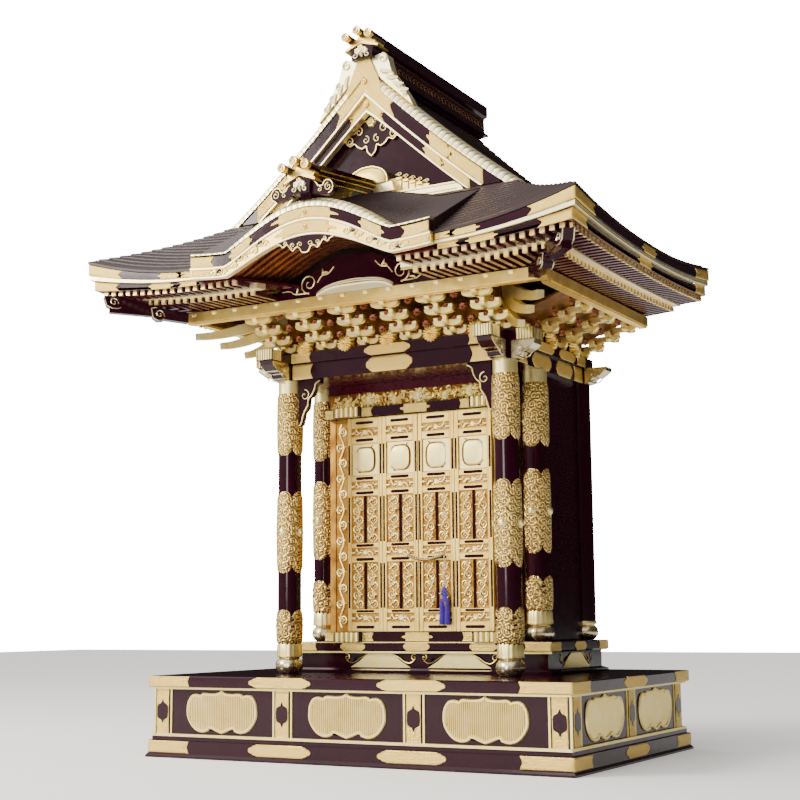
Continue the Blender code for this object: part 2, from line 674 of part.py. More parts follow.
def door():
    fold = OPENING_HALF / 2
    inner = (CENTRE_GAP / 2, fold - FOLD_GAP / 2)
    outer = (fold + FOLD_GAP / 2, OPENING_HALF - 0.0005)
    pivot = (outer[1] - PIVOT_INSET, (LEAF_FRONT_Y + LEAF_BACK_Y) / 2, LEAF_Z[0])
    axis = (fold, LEAF_FRONT_Y - FOLD_AXIS_PROUD, LEAF_Z[0])
    for part, span, hinge in (("outer", outer, pivot), ("inner", inner, axis)):
        right = leaf(span)
        keep(f"leaf_{part}_left", mirrored(right), GOLD, (-hinge[0], hinge[1], hinge[2]))
        keep(f"leaf_{part}_right", right, GOLD, hinge)
    keep("lock_left", lock_half((LOCK_X[0], -CENTRE_GAP / 2)), GOLD, (-axis[0], axis[1], axis[2]))
    keep("lock_right", lock_half((CENTRE_GAP / 2, LOCK_X[1])), GOLD, axis)

    tassel_y = LEAF_FRONT_Y - LOCK_STAND - LOCK_BAR / 2
    low, high = TASSEL_Z
    height = high - low
    shape = [(0, 1.0), (0.3, 1.0), (0.62, 0.93), (0.78, 0.84), (0.6, 0.74), (0.42, 0.69), (0.66, 0.62),
             (0.88, 0.35), (1.0, 0.0), (0, 0.0)]
    tassel = turned([(TASSEL_RADIUS * r, low + height * h) for r, h in shape], 12)
    tassel.transform(Matrix.Translation((TASSEL_X, tassel_y, 0)) @ Matrix.Diagonal((1, 0.5, 1, 1)))
    keep("lock_tassel", tassel, PURPLE, axis, smooth=True)

    curve = bpy.data.curves.new("cord", "CURVE")
    curve.dimensions = "3D"
    curve.bevel_depth = CORD_DIAMETER / 2
    curve.bevel_resolution = 2
    curve.use_fill_caps = True
    spline = curve.splines.new("POLY")
    top = LOCK_Z - LOCK_BAR / 2 - 0.002
    bottom = high + GAP
    count = 7
    spline.points.add(count - 1)
    for k, point in enumerate(spline.points):
        share = k / (count - 1)
        point.co = (TASSEL_X + 0.0012 * sin(2 * pi * share), tassel_y, top + (bottom - top) * share, 1)
    keep("lock_cord", evaluated(on_bench(curve)), PINK, axis, smooth=True)


# Brackets between the plates and the purlins

BRACKET_FRONT_X = tuple(COLUMN_X * k / 5 for k in (-5, -3, -1, 1, 3, 5))
BRACKET_SIDE_Y = tuple(FRONT_LINE + (REAR_LINE - FRONT_LINE) * k / 3 for k in (1, 2, 3))
BRACKET_TIERS = ((0.048, 0.911, 0.926), (0.088, 0.930, 0.945), (0.128, 0.949, 0.964))   # reach, low, high
ARM_WIDTH = 0.013
ARM_FOOT = 0.03              # foot of the arm, out from the wall
CROSS_HALF = 0.030
CROSS_WIDTH = 0.012
TAIL_SIZE = (0.015, 0.014)   # width and height of the tail rafters at the corners
TAIL_REACH = 0.028
TAIL_RISE = 0.006
ARM_TIP = 0.022
ARM_RISE = 0.004
BRACKET_BOARD = 0.016


def bracket_set(place, wall, outward):
    """One bracket set: a stepped arm with a cross arm at each step; outward -1 is forwards, +1 sideways."""
    steps = [(0.0, PLATE_TOP), (ARM_FOOT, PLATE_TOP)]
    for reach, low, high in BRACKET_TIERS:
        steps += [(steps[-1][0], low), (reach + ARM_TIP, low + ARM_RISE)]
    steps += [(steps[-1][0], BRACKET_TIERS[-1][2]), (0.0, BRACKET_TIERS[-1][2])]
    arm = [(wall + outward * out, height) for out, height in steps]
    facing = "x" if outward < 0 else "y"
    shapes = [outline(arm, place - ARM_WIDTH / 2, place + ARM_WIDTH / 2, facing)]
    for reach, low, high in BRACKET_TIERS:
        along = (place - CROSS_HALF, place + CROSS_HALF)
        centre = wall + outward * reach
        out = (centre - CROSS_WIDTH / 2, centre + CROSS_WIDTH / 2)
        across = (along, out) if outward < 0 else (out, along)
        shapes.append(box(*across, (low + 0.005, high + 0.002)))
    return shapes


def brackets():
    purlin = (PURLIN_TOP - PURLIN_DEPTH, PURLIN_TOP)
    wall_top = ROOF_UNDER - 0.0005
    out = PURLIN_OUT
    cross = PURLIN_WIDTH / 2
    front_edge = FRONT_LINE - out
    corner = COLUMN_X + out
    board = box((-COLUMN_X, COLUMN_X), (FRONT_LINE - BRACKET_BOARD, FRONT_LINE), (PLATE_TOP, wall_top))
    end = corner + PURLIN_END
    blocks = [box((-end, end), (front_edge - cross, front_edge + cross), purlin)]
    blocks += [block for x in BRACKET_FRONT_X for block in bracket_set(x, FRONT_LINE, -1)]
    for side in (-1, 1):
        for reach, low, high in BRACKET_TIERS:
            out_by = reach + TAIL_REACH
            tip = (side * (COLUMN_X + out_by), FRONT_LINE - out_by, (low + high) / 2 + TAIL_RISE)
            root = (side * (COLUMN_X - 0.008), FRONT_LINE + 0.008, (low + high) / 2 - 0.002)
            blocks.append(bar(root, tip, *TAIL_SIZE, (cos(pi / 4), side * sin(pi / 4), 0)))
    keep("brackets_front", fuse(board, *blocks), GOLD)

    side_y = (FRONT_LINE + 0.02, REAR_LINE)
    run = (front_edge + cross + PURLIN_END + GAP, ROOF_Y - 0.01)
    board = box((COLUMN_X, COLUMN_X + BRACKET_BOARD), side_y, (PLATE_TOP, wall_top))
    blocks = [box((corner - cross, corner + cross), run, purlin)]
    for y in BRACKET_SIDE_Y:
        blocks += bracket_set(y, COLUMN_X, 1)
    right = fuse(board, *blocks)
    keep("brackets_left", mirrored(right), GOLD)
    keep("brackets_right", right, GOLD)

    wide = PLATE_WIDTH / 2
    inner = COLUMN_X - wide - GAP
    rear = fuse(box((-inner, inner), (REAR_LINE - wide, REAR_LINE + wide), (TIE_TOP + GAP, PLATE_TOP)),
                box((-inner, inner), (REAR_LINE - 0.008, REAR_LINE + 0.008), (PLATE_TOP - OVERLAP, wall_top)))
    keep("brackets_rear", rear, LACQUER)


# Roof heights, shared by the eaves, the roof and the gable

def roof_height(inset):
    """Height of the roof's surface at a distance in from the eave, without the rise of the corners."""
    run, rise = GABLE_INSET, GABLE_FOOT_Z - EAVE_Z
    full, top = EAVE_X, RIDGE_Z - EAVE_Z
    bend = (top / full - rise / run) / (full - run)
    pitch = rise / run - bend * run
    return EAVE_Z + pitch * inset + bend * inset * inset


FRONT_STATIONS = (0.0, 0.09, 0.19, 0.31, 0.52, 1.0)
SIDE_STATIONS = (0.0, 0.14, 0.5, 0.86, 1.0)


def front_rise(share):
    """Rise of the front eave at a share of the way from its corner to the middle."""
    return CORNER_RISE * max(0.0, 1 - share / FLAT_SHARE) ** CORNER_BEND


def side_rise(share):
    """Rise of a side eave at a share of the way from its front corner to the back."""
    return SIDE_RISE + (CORNER_RISE - SIDE_RISE) * abs(2 * share - 1) ** SIDE_BEND


def front_point(inset, share, height):
    return ((EAVE_X - inset) * (1 - share), EAVE_Y + inset, height)


def side_point(inset, share, height):
    return (EAVE_X - inset, EAVE_Y + inset + (ROOF_Y - EAVE_Y - inset) * share, height)


def eave_section(rise):
    """Boards and soffit of an eave as (inset, height) points."""
    top = EAVE_Z + rise - ROOF_EDGE
    soffit = SOFFIT_Z + SOFFIT_RISE * rise
    depth = top - soffit
    inner = SOFFIT_IN_Z
    board_under = soffit + (inner - soffit) * SOFFIT_LEAN
    upper_foot, strip_top, strip_foot, lower_top = [top - depth * share for share in BOARD_SHARES]
    return [(0, top), (0, upper_foot), (STRIP_SETBACK, strip_top), (STRIP_SETBACK, strip_foot),
            (LOWER_SETBACK, lower_top), (LOWER_SETBACK, soffit), (RAFTER_SETBACK, soffit),
            (RAFTER_SETBACK, soffit - RAFTER_SIZE), (FLYING_DEPTH - 0.008, soffit - RAFTER_SIZE + 0.004),
            (FLYING_DEPTH - 0.008, soffit - 0.0125), (FLYING_DEPTH + 0.014, soffit - 0.0125),
            (FLYING_DEPTH + 0.014, soffit - BASE_RAFTER_DROP), (SOFFIT_DEPTH, PURLIN_TOP + 0.0022),
            (SOFFIT_DEPTH, inner + SOFFIT_BOARD), (BOARD_DEPTH, board_under + SOFFIT_BOARD),
            (BOARD_DEPTH, top)]


def eaves():
    """Eave boards with the stepped soffit that stands for both rows of rafters."""
    rings = [[front_point(inset, share, height) for inset, height in eave_section(front_rise(share))]
             for share in FRONT_STATIONS]
    rings[0] = [(x - 2 * GAP, y, z) for x, y, z in rings[0]]
    level = SOFFIT_Z + SOFFIT_BOARD + 0.0005
    above = EAVE_Z + 0.05
    under_porch = box((EAVE_INNER_END - 0.01, PORCH_HALF + 2 * GAP),
                      (EAVE_Y - 0.01, EAVE_Y + BOARD_DEPTH + 0.002), (level, above))
    under_arch = box((-0.01, EAVE_INNER_END), (EAVE_Y - 0.01, EAVE_Y + SOFFIT_DEPTH + 0.01),
                     (PURLIN_TOP - 0.02, above))
    right = cut(loft(rings), under_arch, under_porch)
    keep("eave_front_left", mirrored(right), GOLD)
    keep("eave_front_right", right, GOLD)
    right = loft([[side_point(inset, share, height) for inset, height in eave_section(side_rise(share))]
                  for share in SIDE_STATIONS])
    keep("eave_left", mirrored(right), GOLD)
    keep("eave_right", right, GOLD)


def hips():
    """The hip rafter under each front corner."""
    low = PURLIN_TOP + GAP
    soffit = SOFFIT_Z + SOFFIT_RISE * CORNER_RISE - BASE_RAFTER_DROP - HIP_DROP
    outer, inner = HIP_INSETS
    start = (EAVE_X - outer, EAVE_Y + outer, soffit)
    end = (EAVE_X - inner, EAVE_Y + inner, low - 0.006)
    right = bar(start, end, *HIP_SIZE, (cos(pi / 4), sin(pi / 4), 0))
    keep("hip_left", mirrored(right), LACQUER)
    keep("hip_right", right, LACQUER)


def roof_ring(inset, height, fade):
    """A ring of the skirt roof: up the right side, along the front and down the left side."""
    half = [side_point(inset, share, height + side_rise(share) * fade) for share in SIDE_STATIONS[::-1]]
    half += [front_point(inset, share, height + front_rise(share) * fade) for share in FRONT_STATIONS[1:]]
    return half + [(-x, y, z) for x, y, z in reversed(half[:-1])]


def slope_points():
    """Sawtooth of the upper slopes from the right gable foot to the ridge, as (x, z)."""
    points = []
    count = round((EAVE_X - GABLE_INSET) / COURSE)
    size = (EAVE_X - GABLE_INSET) / count
    for k in range(count):
        inset = GABLE_INSET + size * k
        points.append((EAVE_X - inset, roof_height(inset) + COURSE_STEP))
        points.append((EAVE_X - inset - size, roof_height(inset + size)))
    return points


def verge_line(drop, steps=9):
    """The gable's curve, as (x, z) from its right foot to the middle, lowered by drop."""
    half = EAVE_X - GABLE_INSET
    return [(half * (1 - k / steps), roof_height(EAVE_X - half * (1 - k / steps)) - drop)
            for k in range(steps + 1)]


def both_sides(points):
    """A right half outline that ends in the middle, carried over to the left."""
    return points + [(-x, z) for x, z in reversed(points[:-1])]


def roof():
    count = round(GABLE_INSET / COURSE)
    size = GABLE_INSET / count
    board_top = EAVE_Z - ROOF_EDGE + 0.0008
    inner = BOARD_DEPTH + GAP
    rings = [roof_ring(SOFFIT_DEPTH, ROOF_UNDER, 0.0),
             roof_ring(inner, SOFFIT_Z + (SOFFIT_IN_Z - SOFFIT_Z) * SOFFIT_LEAN + SOFFIT_BOARD + 0.007,
                       SOFFIT_RISE * (1 - SOFFIT_LEAN)),
             roof_ring(inner, board_top - 0.0002, 1.0), roof_ring(0, board_top, 1.0)]
    for k in range(count):
        low, high = size * k, size * (k + 1)
        step = COURSE_STEP if k else 0.0
        rings.append(roof_ring(low, roof_height(low) + step, (1 - low / GABLE_INSET) ** RISE_FADE))
        rings.append(roof_ring(high, roof_height(high), (1 - high / GABLE_INSET) ** RISE_FADE))
    skirt = loft(rings)
    slope = [(EAVE_X - GABLE_INSET, GABLE_FOOT_Z - 0.01)] + slope_points()[:-1]
    upper = outline(both_sides(slope + [(0.012, RIDGE_FOOT), (0, RIDGE_FOOT)]),
                    VERGE_FRONT + 0.006, ROOF_Y - GAP, "y")
    top, foot = verge_line(-VERGE_PROUD), verge_line(VERGE_BAND - VERGE_PROUD)
    band = outline(both_sides(top) + both_sides(foot)[::-1], VERGE_FRONT, VERGE_FRONT + VERGE_WIDTH, "y")
    inner = [(x, z) for x, z in foot if z > GABLE_FLOOR]
    recess = outline(both_sides([(inner[0][0], GABLE_FLOOR)] + inner),
                     VERGE_FRONT - 0.01, VERGE_FRONT + GABLE_DEPTH, "y")
    notch = box((-PORCH_HALF - GAP, PORCH_HALF + GAP), (EAVE_Y - 0.01, GABLE_Y - PORCH_NOTCH_BACK),
                (SOFFIT_Z - 0.05, GABLE_FOOT_Z + 0.06))
    keep("roof", cut(fuse(skirt, upper, band), recess, notch), LACQUER)


# Front gable

def gable():
    foot = GABLE_FLOOR + GAP
    back = VERGE_FRONT + GABLE_DEPTH - GAP
    top_drop = VERGE_BAND - VERGE_PROUD + GAP * 2
    middle = 0.0004

    def edge(drop):
        """The gable's curve from the floor to just beside the middle, lowered by drop."""
        line = [(x, z) for x, z in verge_line(drop) if z > foot and x > middle]
        return [(line[0][0], foot)] + line + [(middle, verge_line(drop)[-1][1])]

    def strip(upper, lower, y):
        return outline(edge(upper) + edge(lower)[::-1], *y, "y")

    first = top_drop + BOARD_HEIGHT
    second = first + INNER_BOARD_HEIGHT
    right = fuse(strip(top_drop, first, (VERGE_FRONT + 0.004, VERGE_FRONT + 0.018)),
                 strip(first - 0.006, second, (VERGE_FRONT + 0.012, VERGE_FRONT + 0.026)))
    keep("bargeboard_left", mirrored(right), LACQUER)
    keep("bargeboard_right", right, LACQUER)

    inner = [(x, z) for x, z in verge_line(top_drop) if z > foot]
    wall = outline(both_sides([(inner[0][0], foot)] + inner), back - GABLE_WALL, back, "y")
    sill_top = foot + SILL_HEIGHT
    sill = outline(both_sides([(SILL_HALF, foot + 0.0002), (SILL_HALF - 0.025, sill_top), (0, sill_top)]),
                   back - 0.02, back - 0.009, "y")
    drop = second
    apex = verge_line(drop)[-1][1]
    pendant = [(0, apex - 0.004), (0.014, apex - 0.022), (0.036, apex - 0.030), (0.030, apex - 0.05),
               (0.052, apex - 0.062), (0.040, apex - 0.084), (0.012, apex - 0.078), (0, apex - 0.1)]
    cloud = outline(pendant + [(-x, z) for x, z in reversed(pendant[1:-1])], back - 0.018, back - 0.009, "y")
    keep("gable_wall", fuse(wall, sill, cloud), LACQUER)


def ridge():
    low = RIDGE_FOOT + GAP
    half = [(0.011, low), (0.030, low + 0.003), (0.036, low + 0.002), (0.036, low + 0.008),
            (0.026, low + 0.012), (0.024, RIDGE_TOP - 0.0413), (RIDGE_HALF, RIDGE_TOP - 0.0363),
            (RIDGE_HALF, RIDGE_TOP - 0.010), (0.022, RIDGE_TOP), (0, RIDGE_TOP)]
    keep("ridge", outline(both_sides(half), RIDGE_FRONT, RIDGE_BACK, "y"), LACQUER)


def tube(x, z, radius, front, back, sides=8):
    turns = [2 * pi * k / sides for k in range(sides)]
    return outline([(x + radius * cos(turn), z + radius * sin(turn)) for turn in turns], front, back, "y")


def ridge_end_shapes(base, height, half, front, back, tube_front, tube_half):
    """A roofed block that closes a ridge, with three tubes over it; height is up to the top tube's axis."""
    radius = 0.0085
    block = outline(both_sides([(half * 0.62, base), (half * 0.66, base + height * 0.38),
                                (half, base + height * 0.36), (half, base + height * 0.44),
                                (0, base + height * 0.66)]), front, back, "y")
    saddle = outline(both_sides([(tube_half, base + height * 0.45), (tube_half * 1.1, base + height * 0.8),
                                 (0, base + height)]), front + 0.006, back, "y")
    tubes = [tube(side * tube_half, base + height * 0.8, radius, tube_front, back) for side in (-1, 1)]
    return [block, saddle, tube(0, base + height, radius, tube_front, back)] + tubes


def ridge_end():
    base = RIDGE_Z + VERGE_PROUD + GAP * 2
    back = RIDGE_FRONT - GAP
    shapes = ridge_end_shapes(base, 0.060, 0.043, VERGE_FRONT - 0.012, back, VERGE_FRONT - 0.034, 0.029)
    fin_foot = verge_line(-VERGE_PROUD - GAP * 2, 24)
    under = [(x, z) for x, z in fin_foot if 0.018 < x < 0.105]
    fin = under[::-1] + [(0.104, under[0][1] + 0.010), (0.084, base - 0.052), (0.082, base - 0.030),
                         (0.066, base - 0.022), (0.064, base + 0.002), (0.046, base + 0.006),
                         (0.018, base + 0.006)]
    right = outline(fin, VERGE_FRONT + 0.004, back, "y")
    keep("ridge_end", fuse(shapes[0], *shapes[1:], right, mirrored(right)), GOLD)


# Curved gable over the porch

def bell(x):
    return max(0.0, cos(pi / 2 * min(abs(x) / PORCH_BELL, 1.0))) ** PORCH_BELL_BEND


def porch_line(x):
    """Top of the curved gable's board."""
    tail = max(0.0, (abs(x) - PORCH_BELL) / (PORCH_HALF - PORCH_BELL))
    return PORCH_LOW_Z + PORCH_BELL_RISE * bell(x) + PORCH_TAIL_RISE * tail ** PORCH_TAIL_BEND


def porch_band(x):
    return PORCH_BAND_END + (PORCH_BAND - PORCH_BAND_END) * bell(x) ** 0.5


def porch_places(steps=16):
    return [PORCH_HALF * (2 * k / steps - 1) for k in range(steps + 1)]


def porch():
    board_back = PORCH_FRONT + PORCH_THICK
    places = porch_places()
    rear_y = GABLE_Y - PORCH_NOTCH_BACK - 0.0005
    rings = []
    for y in (board_back + GAP, (board_back + rear_y) / 2, rear_y):
        share = (y - board_back) / (rear_y - board_back)
        top, low = [], []
        for x in places:
            at_wall = PORCH_BACK_Z + PORCH_BACK_RISE * bell(x)
            top.append((x, y, (1 - share) * (porch_line(x) + 0.004) + share * at_wall))
            low.append((x, y, (1 - share) * (porch_line(x) - PORCH_SHELL) + share * (at_wall - 0.1)))
        rings.append(top + low[::-1])
    shell = loft(rings)
    tiles = [(x, porch_line(x) + GAP) for x in places]
    tiles += [(x, porch_line(x) + porch_band(x)) for x in reversed(places)]
    band = outline(tiles, PORCH_FRONT - 0.002, PORCH_FRONT + 0.03, "y")
    front = PORCH_FRONT + 0.006
    stop = VERGE_FRONT + GABLE_DEPTH - 0.0225
    foot = GABLE_FLOOR + GAP
    crown = porch_line(0) + 0.006
    side = [(front, crown), (rear_y - 0.002, PORCH_BACK_Z + 0.004), (rear_y - 0.002, foot), (stop, foot),
            (stop, PORCH_RIDGE_TOP + PORCH_RIDGE_SLOPE), (front, PORCH_RIDGE_TOP)]
    web = outline(side, -PORCH_WEB / 2, PORCH_WEB / 2, "x")
    cap = outline([(front, PORCH_RIDGE_TOP - PORCH_CAP_DEPTH), (stop, PORCH_RIDGE_TOP + 0.018),
                   (stop, PORCH_RIDGE_TOP + PORCH_RIDGE_SLOPE + 0.0005), (front, PORCH_RIDGE_TOP + 0.0005)],
                  -PORCH_CAP / 2, PORCH_CAP / 2, "x")
    keep("porch_roof", fuse(shell, band, web, cap), LACQUER)

    carved = PORCH_BOARD + PORCH_CARVED
    pendant_half, pendant_depth = PORCH_PENDANT

    def low_line(x):
        pendant = pendant_depth * max(0.0, 1 - abs(x) / pendant_half) ** 0.8
        return porch_line(x) - carved - pendant + PORCH_END_LIFT * (1 - bell(x))

    board = [(x, porch_line(x)) for x in places] + [(x, low_line(x)) for x in reversed(places)]
    keep("porch_board", outline(board, PORCH_FRONT, board_back, "y"), LACQUER)

    low = PURLIN_TOP + GAP
    half = EAVE_INNER_END - 0.002
    beam = both_sides([(half, low), (half, low + 0.022), (0.13, low + 0.028), (0.1, low + 0.055),
                       (0.05, low + 0.078), (0, low + 0.084)])
    purlin_y = FRONT_LINE - PURLIN_OUT
    keep("porch_beam", outline(beam, purlin_y - 0.010, purlin_y + 0.008, "y"), LACQUER)


def porch_ridge_end():
    base = porch_line(0) + PORCH_BAND + GAP * 3
    back = PORCH_FRONT + 0.006 - GAP
    shapes = ridge_end_shapes(base, 0.064, 0.037, back - 0.024, back, PORCH_TUBE_FRONT, 0.028)
    places = [-0.072 + 0.012 * k for k in range(13)]
    board = [(x, porch_line(x) + porch_band(x) + GAP * 3) for x in places]
    board += [(0.074, base + 0.004), (0.066, base + 0.016), (0.05, base + 0.012), (0.036, base + 0.022)]
    board += [(-x, z) for x, z in reversed(board[-4:])]
    scrolls = outline(board, back - 0.014, back, "y")
    keep("porch_ridge_end", fuse(shapes[0], *shapes[1:], scrolls), GOLD)


dais()
platform()
columns()
ties()
plates()
spandrels()
cell()
door()
brackets()
eaves()
hips()
roof()
gable()
ridge()
ridge_end()
porch()
porch_ridge_end()
bpy.data.collections.remove(BENCH)
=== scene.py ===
# %% [markdown]
# Temple shrine in black lacquer and gold.
# The real shrine is joinery under urushi lacquer and gold leaf, with gilt metal fittings nailed over
# every end and crossing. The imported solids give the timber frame; this lesson dresses them. Flat timbers
# keep their solids and only get a finish, and what is turned, carved, ribbed or curved is built again,
# finer.

# %% The frame
import json
import random
from math import atan2, cos, pi, radians, sin

import bmesh
import bpy
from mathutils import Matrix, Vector

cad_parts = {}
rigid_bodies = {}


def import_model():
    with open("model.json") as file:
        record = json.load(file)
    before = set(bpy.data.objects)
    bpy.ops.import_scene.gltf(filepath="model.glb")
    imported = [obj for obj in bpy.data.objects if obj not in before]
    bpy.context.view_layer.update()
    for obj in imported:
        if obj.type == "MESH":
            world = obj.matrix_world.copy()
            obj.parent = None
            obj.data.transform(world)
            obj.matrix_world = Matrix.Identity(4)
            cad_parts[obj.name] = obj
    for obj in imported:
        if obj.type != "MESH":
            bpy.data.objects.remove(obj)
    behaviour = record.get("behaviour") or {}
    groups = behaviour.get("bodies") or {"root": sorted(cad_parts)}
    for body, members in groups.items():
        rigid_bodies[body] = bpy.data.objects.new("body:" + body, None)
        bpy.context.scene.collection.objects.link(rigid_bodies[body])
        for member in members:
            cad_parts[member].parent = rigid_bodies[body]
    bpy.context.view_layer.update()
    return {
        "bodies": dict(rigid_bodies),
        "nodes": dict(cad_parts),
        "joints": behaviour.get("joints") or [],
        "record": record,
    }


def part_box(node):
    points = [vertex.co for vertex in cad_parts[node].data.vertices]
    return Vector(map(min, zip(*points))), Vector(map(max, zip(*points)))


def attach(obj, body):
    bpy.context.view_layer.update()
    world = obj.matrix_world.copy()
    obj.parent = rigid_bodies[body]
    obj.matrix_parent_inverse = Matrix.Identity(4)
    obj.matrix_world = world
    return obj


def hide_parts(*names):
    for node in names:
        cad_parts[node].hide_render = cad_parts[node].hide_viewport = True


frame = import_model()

nodes = frame["nodes"]
print("nodes in the frame:", len(nodes))

# %% [markdown]
# The camera stands low on the right and looks up a little, as a visitor would. Its place and its turn
# were worked out from the corners of the dais and the columns, so there is no lens shift.

# %% Camera
CAMERA_PLACE = (1.5813, -2.78, 0.2921)
CAMERA_TURN = (radians(98.56), radians(0.457), radians(29.674))
CAMERA_LENS = 65.37

camera_data = bpy.data.cameras.new("camera")
camera_data.lens = CAMERA_LENS
camera_data.sensor_width = 36
camera = bpy.data.objects.new("camera", camera_data)
camera.rotation_euler = CAMERA_TURN
camera.location = CAMERA_PLACE
bpy.context.scene.collection.objects.link(camera)
bpy.context.scene.camera = camera

# %% [markdown]
# Gold and lacquer show what is round them more than their own colour. The room is bright high in front
# and on the left, and dark near the floor and on the right, so the gold turns from cream to ochre round
# each form and flat lacquer stays black. The camera itself sees plain white behind the shrine.

# %% Room and lamps
BRIGHT_SIDE = Vector((-0.5, -0.55, 0.67)).normalized()
BRIGHT_FROM, DARKEST, BRIGHTEST = 0.26, 0.09, 2.6
DUSK_HEIGHTS, DUSK_SHARE = (0.1, 0.5), 0.2
ROOM_COLOUR = (1.0, 0.985, 0.95, 1)
BACKDROP = 16.0


def feed(tree, socket, value):
    """Link another socket to this one, or set its number."""
    value = getattr(value, "socket", value)
    if isinstance(value, bpy.types.NodeSocket):
        tree.links.new(value, socket)
    else:
        socket.default_value = value


def new_node(tree, kind, settings=None, sockets=None):
    """A node; its settings are set first, then its sockets from numbers, tuples or links."""
    made = tree.nodes.new(kind)
    for key, value in (settings or {}).items():
        setattr(made, key, value)
    for key, value in (sockets or {}).items():
        feed(tree, made.inputs[key], value)
    return made


def mapped(value, low, high, to_low, to_high):
    """A value carried from one range to another."""
    return new_node(room, "ShaderNodeMapRange", None,
                    {"Value": value, "From Min": low, "From Max": high, "To Min": to_low,
                     "To Max": to_high}).outputs["Result"]


world = bpy.data.worlds.new("room")
world.use_nodes = True
bpy.context.scene.world = world
room = world.node_tree
room.nodes.clear()
direction = new_node(room, "ShaderNodeTexCoord").outputs["Generated"]
facing = new_node(room, "ShaderNodeVectorMath", {"operation": "DOT_PRODUCT"},
                  {0: direction, 1: BRIGHT_SIDE})
level = mapped(facing.outputs["Value"], BRIGHT_FROM, 1.0, DARKEST, BRIGHTEST)
above = new_node(room, "ShaderNodeSeparateXYZ", None, {0: direction})
dusk = mapped(above.outputs["Z"], *DUSK_HEIGHTS, DUSK_SHARE, 1.0)
both = new_node(room, "ShaderNodeMath", {"operation": "MULTIPLY"}, {0: level, 1: dusk})
lit = new_node(room, "ShaderNodeBackground", None, {"Color": ROOM_COLOUR, "Strength": both.outputs[0]})
plain = new_node(room, "ShaderNodeBackground", None, {"Color": (1, 1, 1, 1), "Strength": BACKDROP})
ray = new_node(room, "ShaderNodeLightPath").outputs["Is Camera Ray"]
choose = new_node(room, "ShaderNodeMixShader", None, {"Fac": ray, 1: lit.outputs[0], 2: plain.outputs[0]})
new_node(room, "ShaderNodeOutputWorld", None, {"Surface": choose.outputs[0]})


def lamp(name, place, target, size, power, colour=(1, 1, 1)):
    """A soft rectangular lamp that looks at a point."""
    data = bpy.data.lights.new(name, "AREA")
    data.size = size
    data.energy = power
    data.color = colour
    item = bpy.data.objects.new(name, data)
    item.location = place
    item.rotation_euler = (Vector(target) - Vector(place)).to_track_quat("-Z", "Y").to_euler()
    bpy.context.scene.collection.objects.link(item)


lamp("key_lamp", (-2.7, -2.6, 2.5), (0, 0, 0.8), size=1.4, power=210, colour=(1.0, 0.96, 0.88))
lamp("front_lamp", (0.0, -3.5, 0.9), (0, 0, 0.7), size=0.9, power=42, colour=(1.0, 0.96, 0.9))
lamp("top_lamp", (-0.3, -0.6, 3.4), (0, 0, 1.2), size=1.4, power=22)

# %% Floor
FLOOR_HALF = 9.0
FLOOR_LOOK = {"Base Color": (0.93, 0.925, 0.91, 1), "Roughness": 0.8, "Emission Color": (1, 1, 1, 1),
              "Emission Strength": 0.2}
floor_mesh = bpy.data.meshes.new("floor")
floor_mesh.from_pydata([(x * FLOOR_HALF, y * FLOOR_HALF, 0)
                        for x, y in ((-1, -1), (1, -1), (1, 1), (-1, 1))], [], [(0, 1, 2, 3)])
floor = bpy.data.objects.new("floor", floor_mesh)
floor_finish = bpy.data.materials.new("floor_paper")
floor_finish.use_nodes = True
floor_shader = floor_finish.node_tree.nodes["Principled BSDF"]
for key, value in FLOOR_LOOK.items():
    floor_shader.inputs[key].default_value = value
floor_mesh.materials.append(floor_finish)
bpy.context.scene.collection.objects.link(floor)

# %% [markdown]
# Finishes are written as sums. A small class wraps a socket and overloads the operators, so a mask can be
# written as `1 - edge * 0.5`, and every other node comes from one method of the finish.


# %% Shader sums
class Number:
    """A number that varies over a surface, as a socket."""

    def __init__(self, finish, socket):
        self.finish = finish
        self.socket = socket

    def math(self, operation, first, second=0.0):
        node = self.finish.node("ShaderNodeMath", {"operation": operation}, {0: first, 1: second})
        return Number(self.finish, node.outputs[0])

    def __add__(self, other):
        return self.math("ADD", self, other)

    def __sub__(self, other):
        return self.math("SUBTRACT", self, other)

    def __rsub__(self, other):
        return self.math("SUBTRACT", other, self)

    def __mul__(self, other):
        return self.math("MULTIPLY", self, other)

    def __pow__(self, other):
        return self.math("POWER", self, other)

    def at_least(self, other):
        return self.math("MAXIMUM", self, other)

    def at_most(self, other):
        return self.math("MINIMUM", self, other)

    def sine(self):
        return self.math("SINE", self)

    __radd__ = __add__
    __rmul__ = __mul__


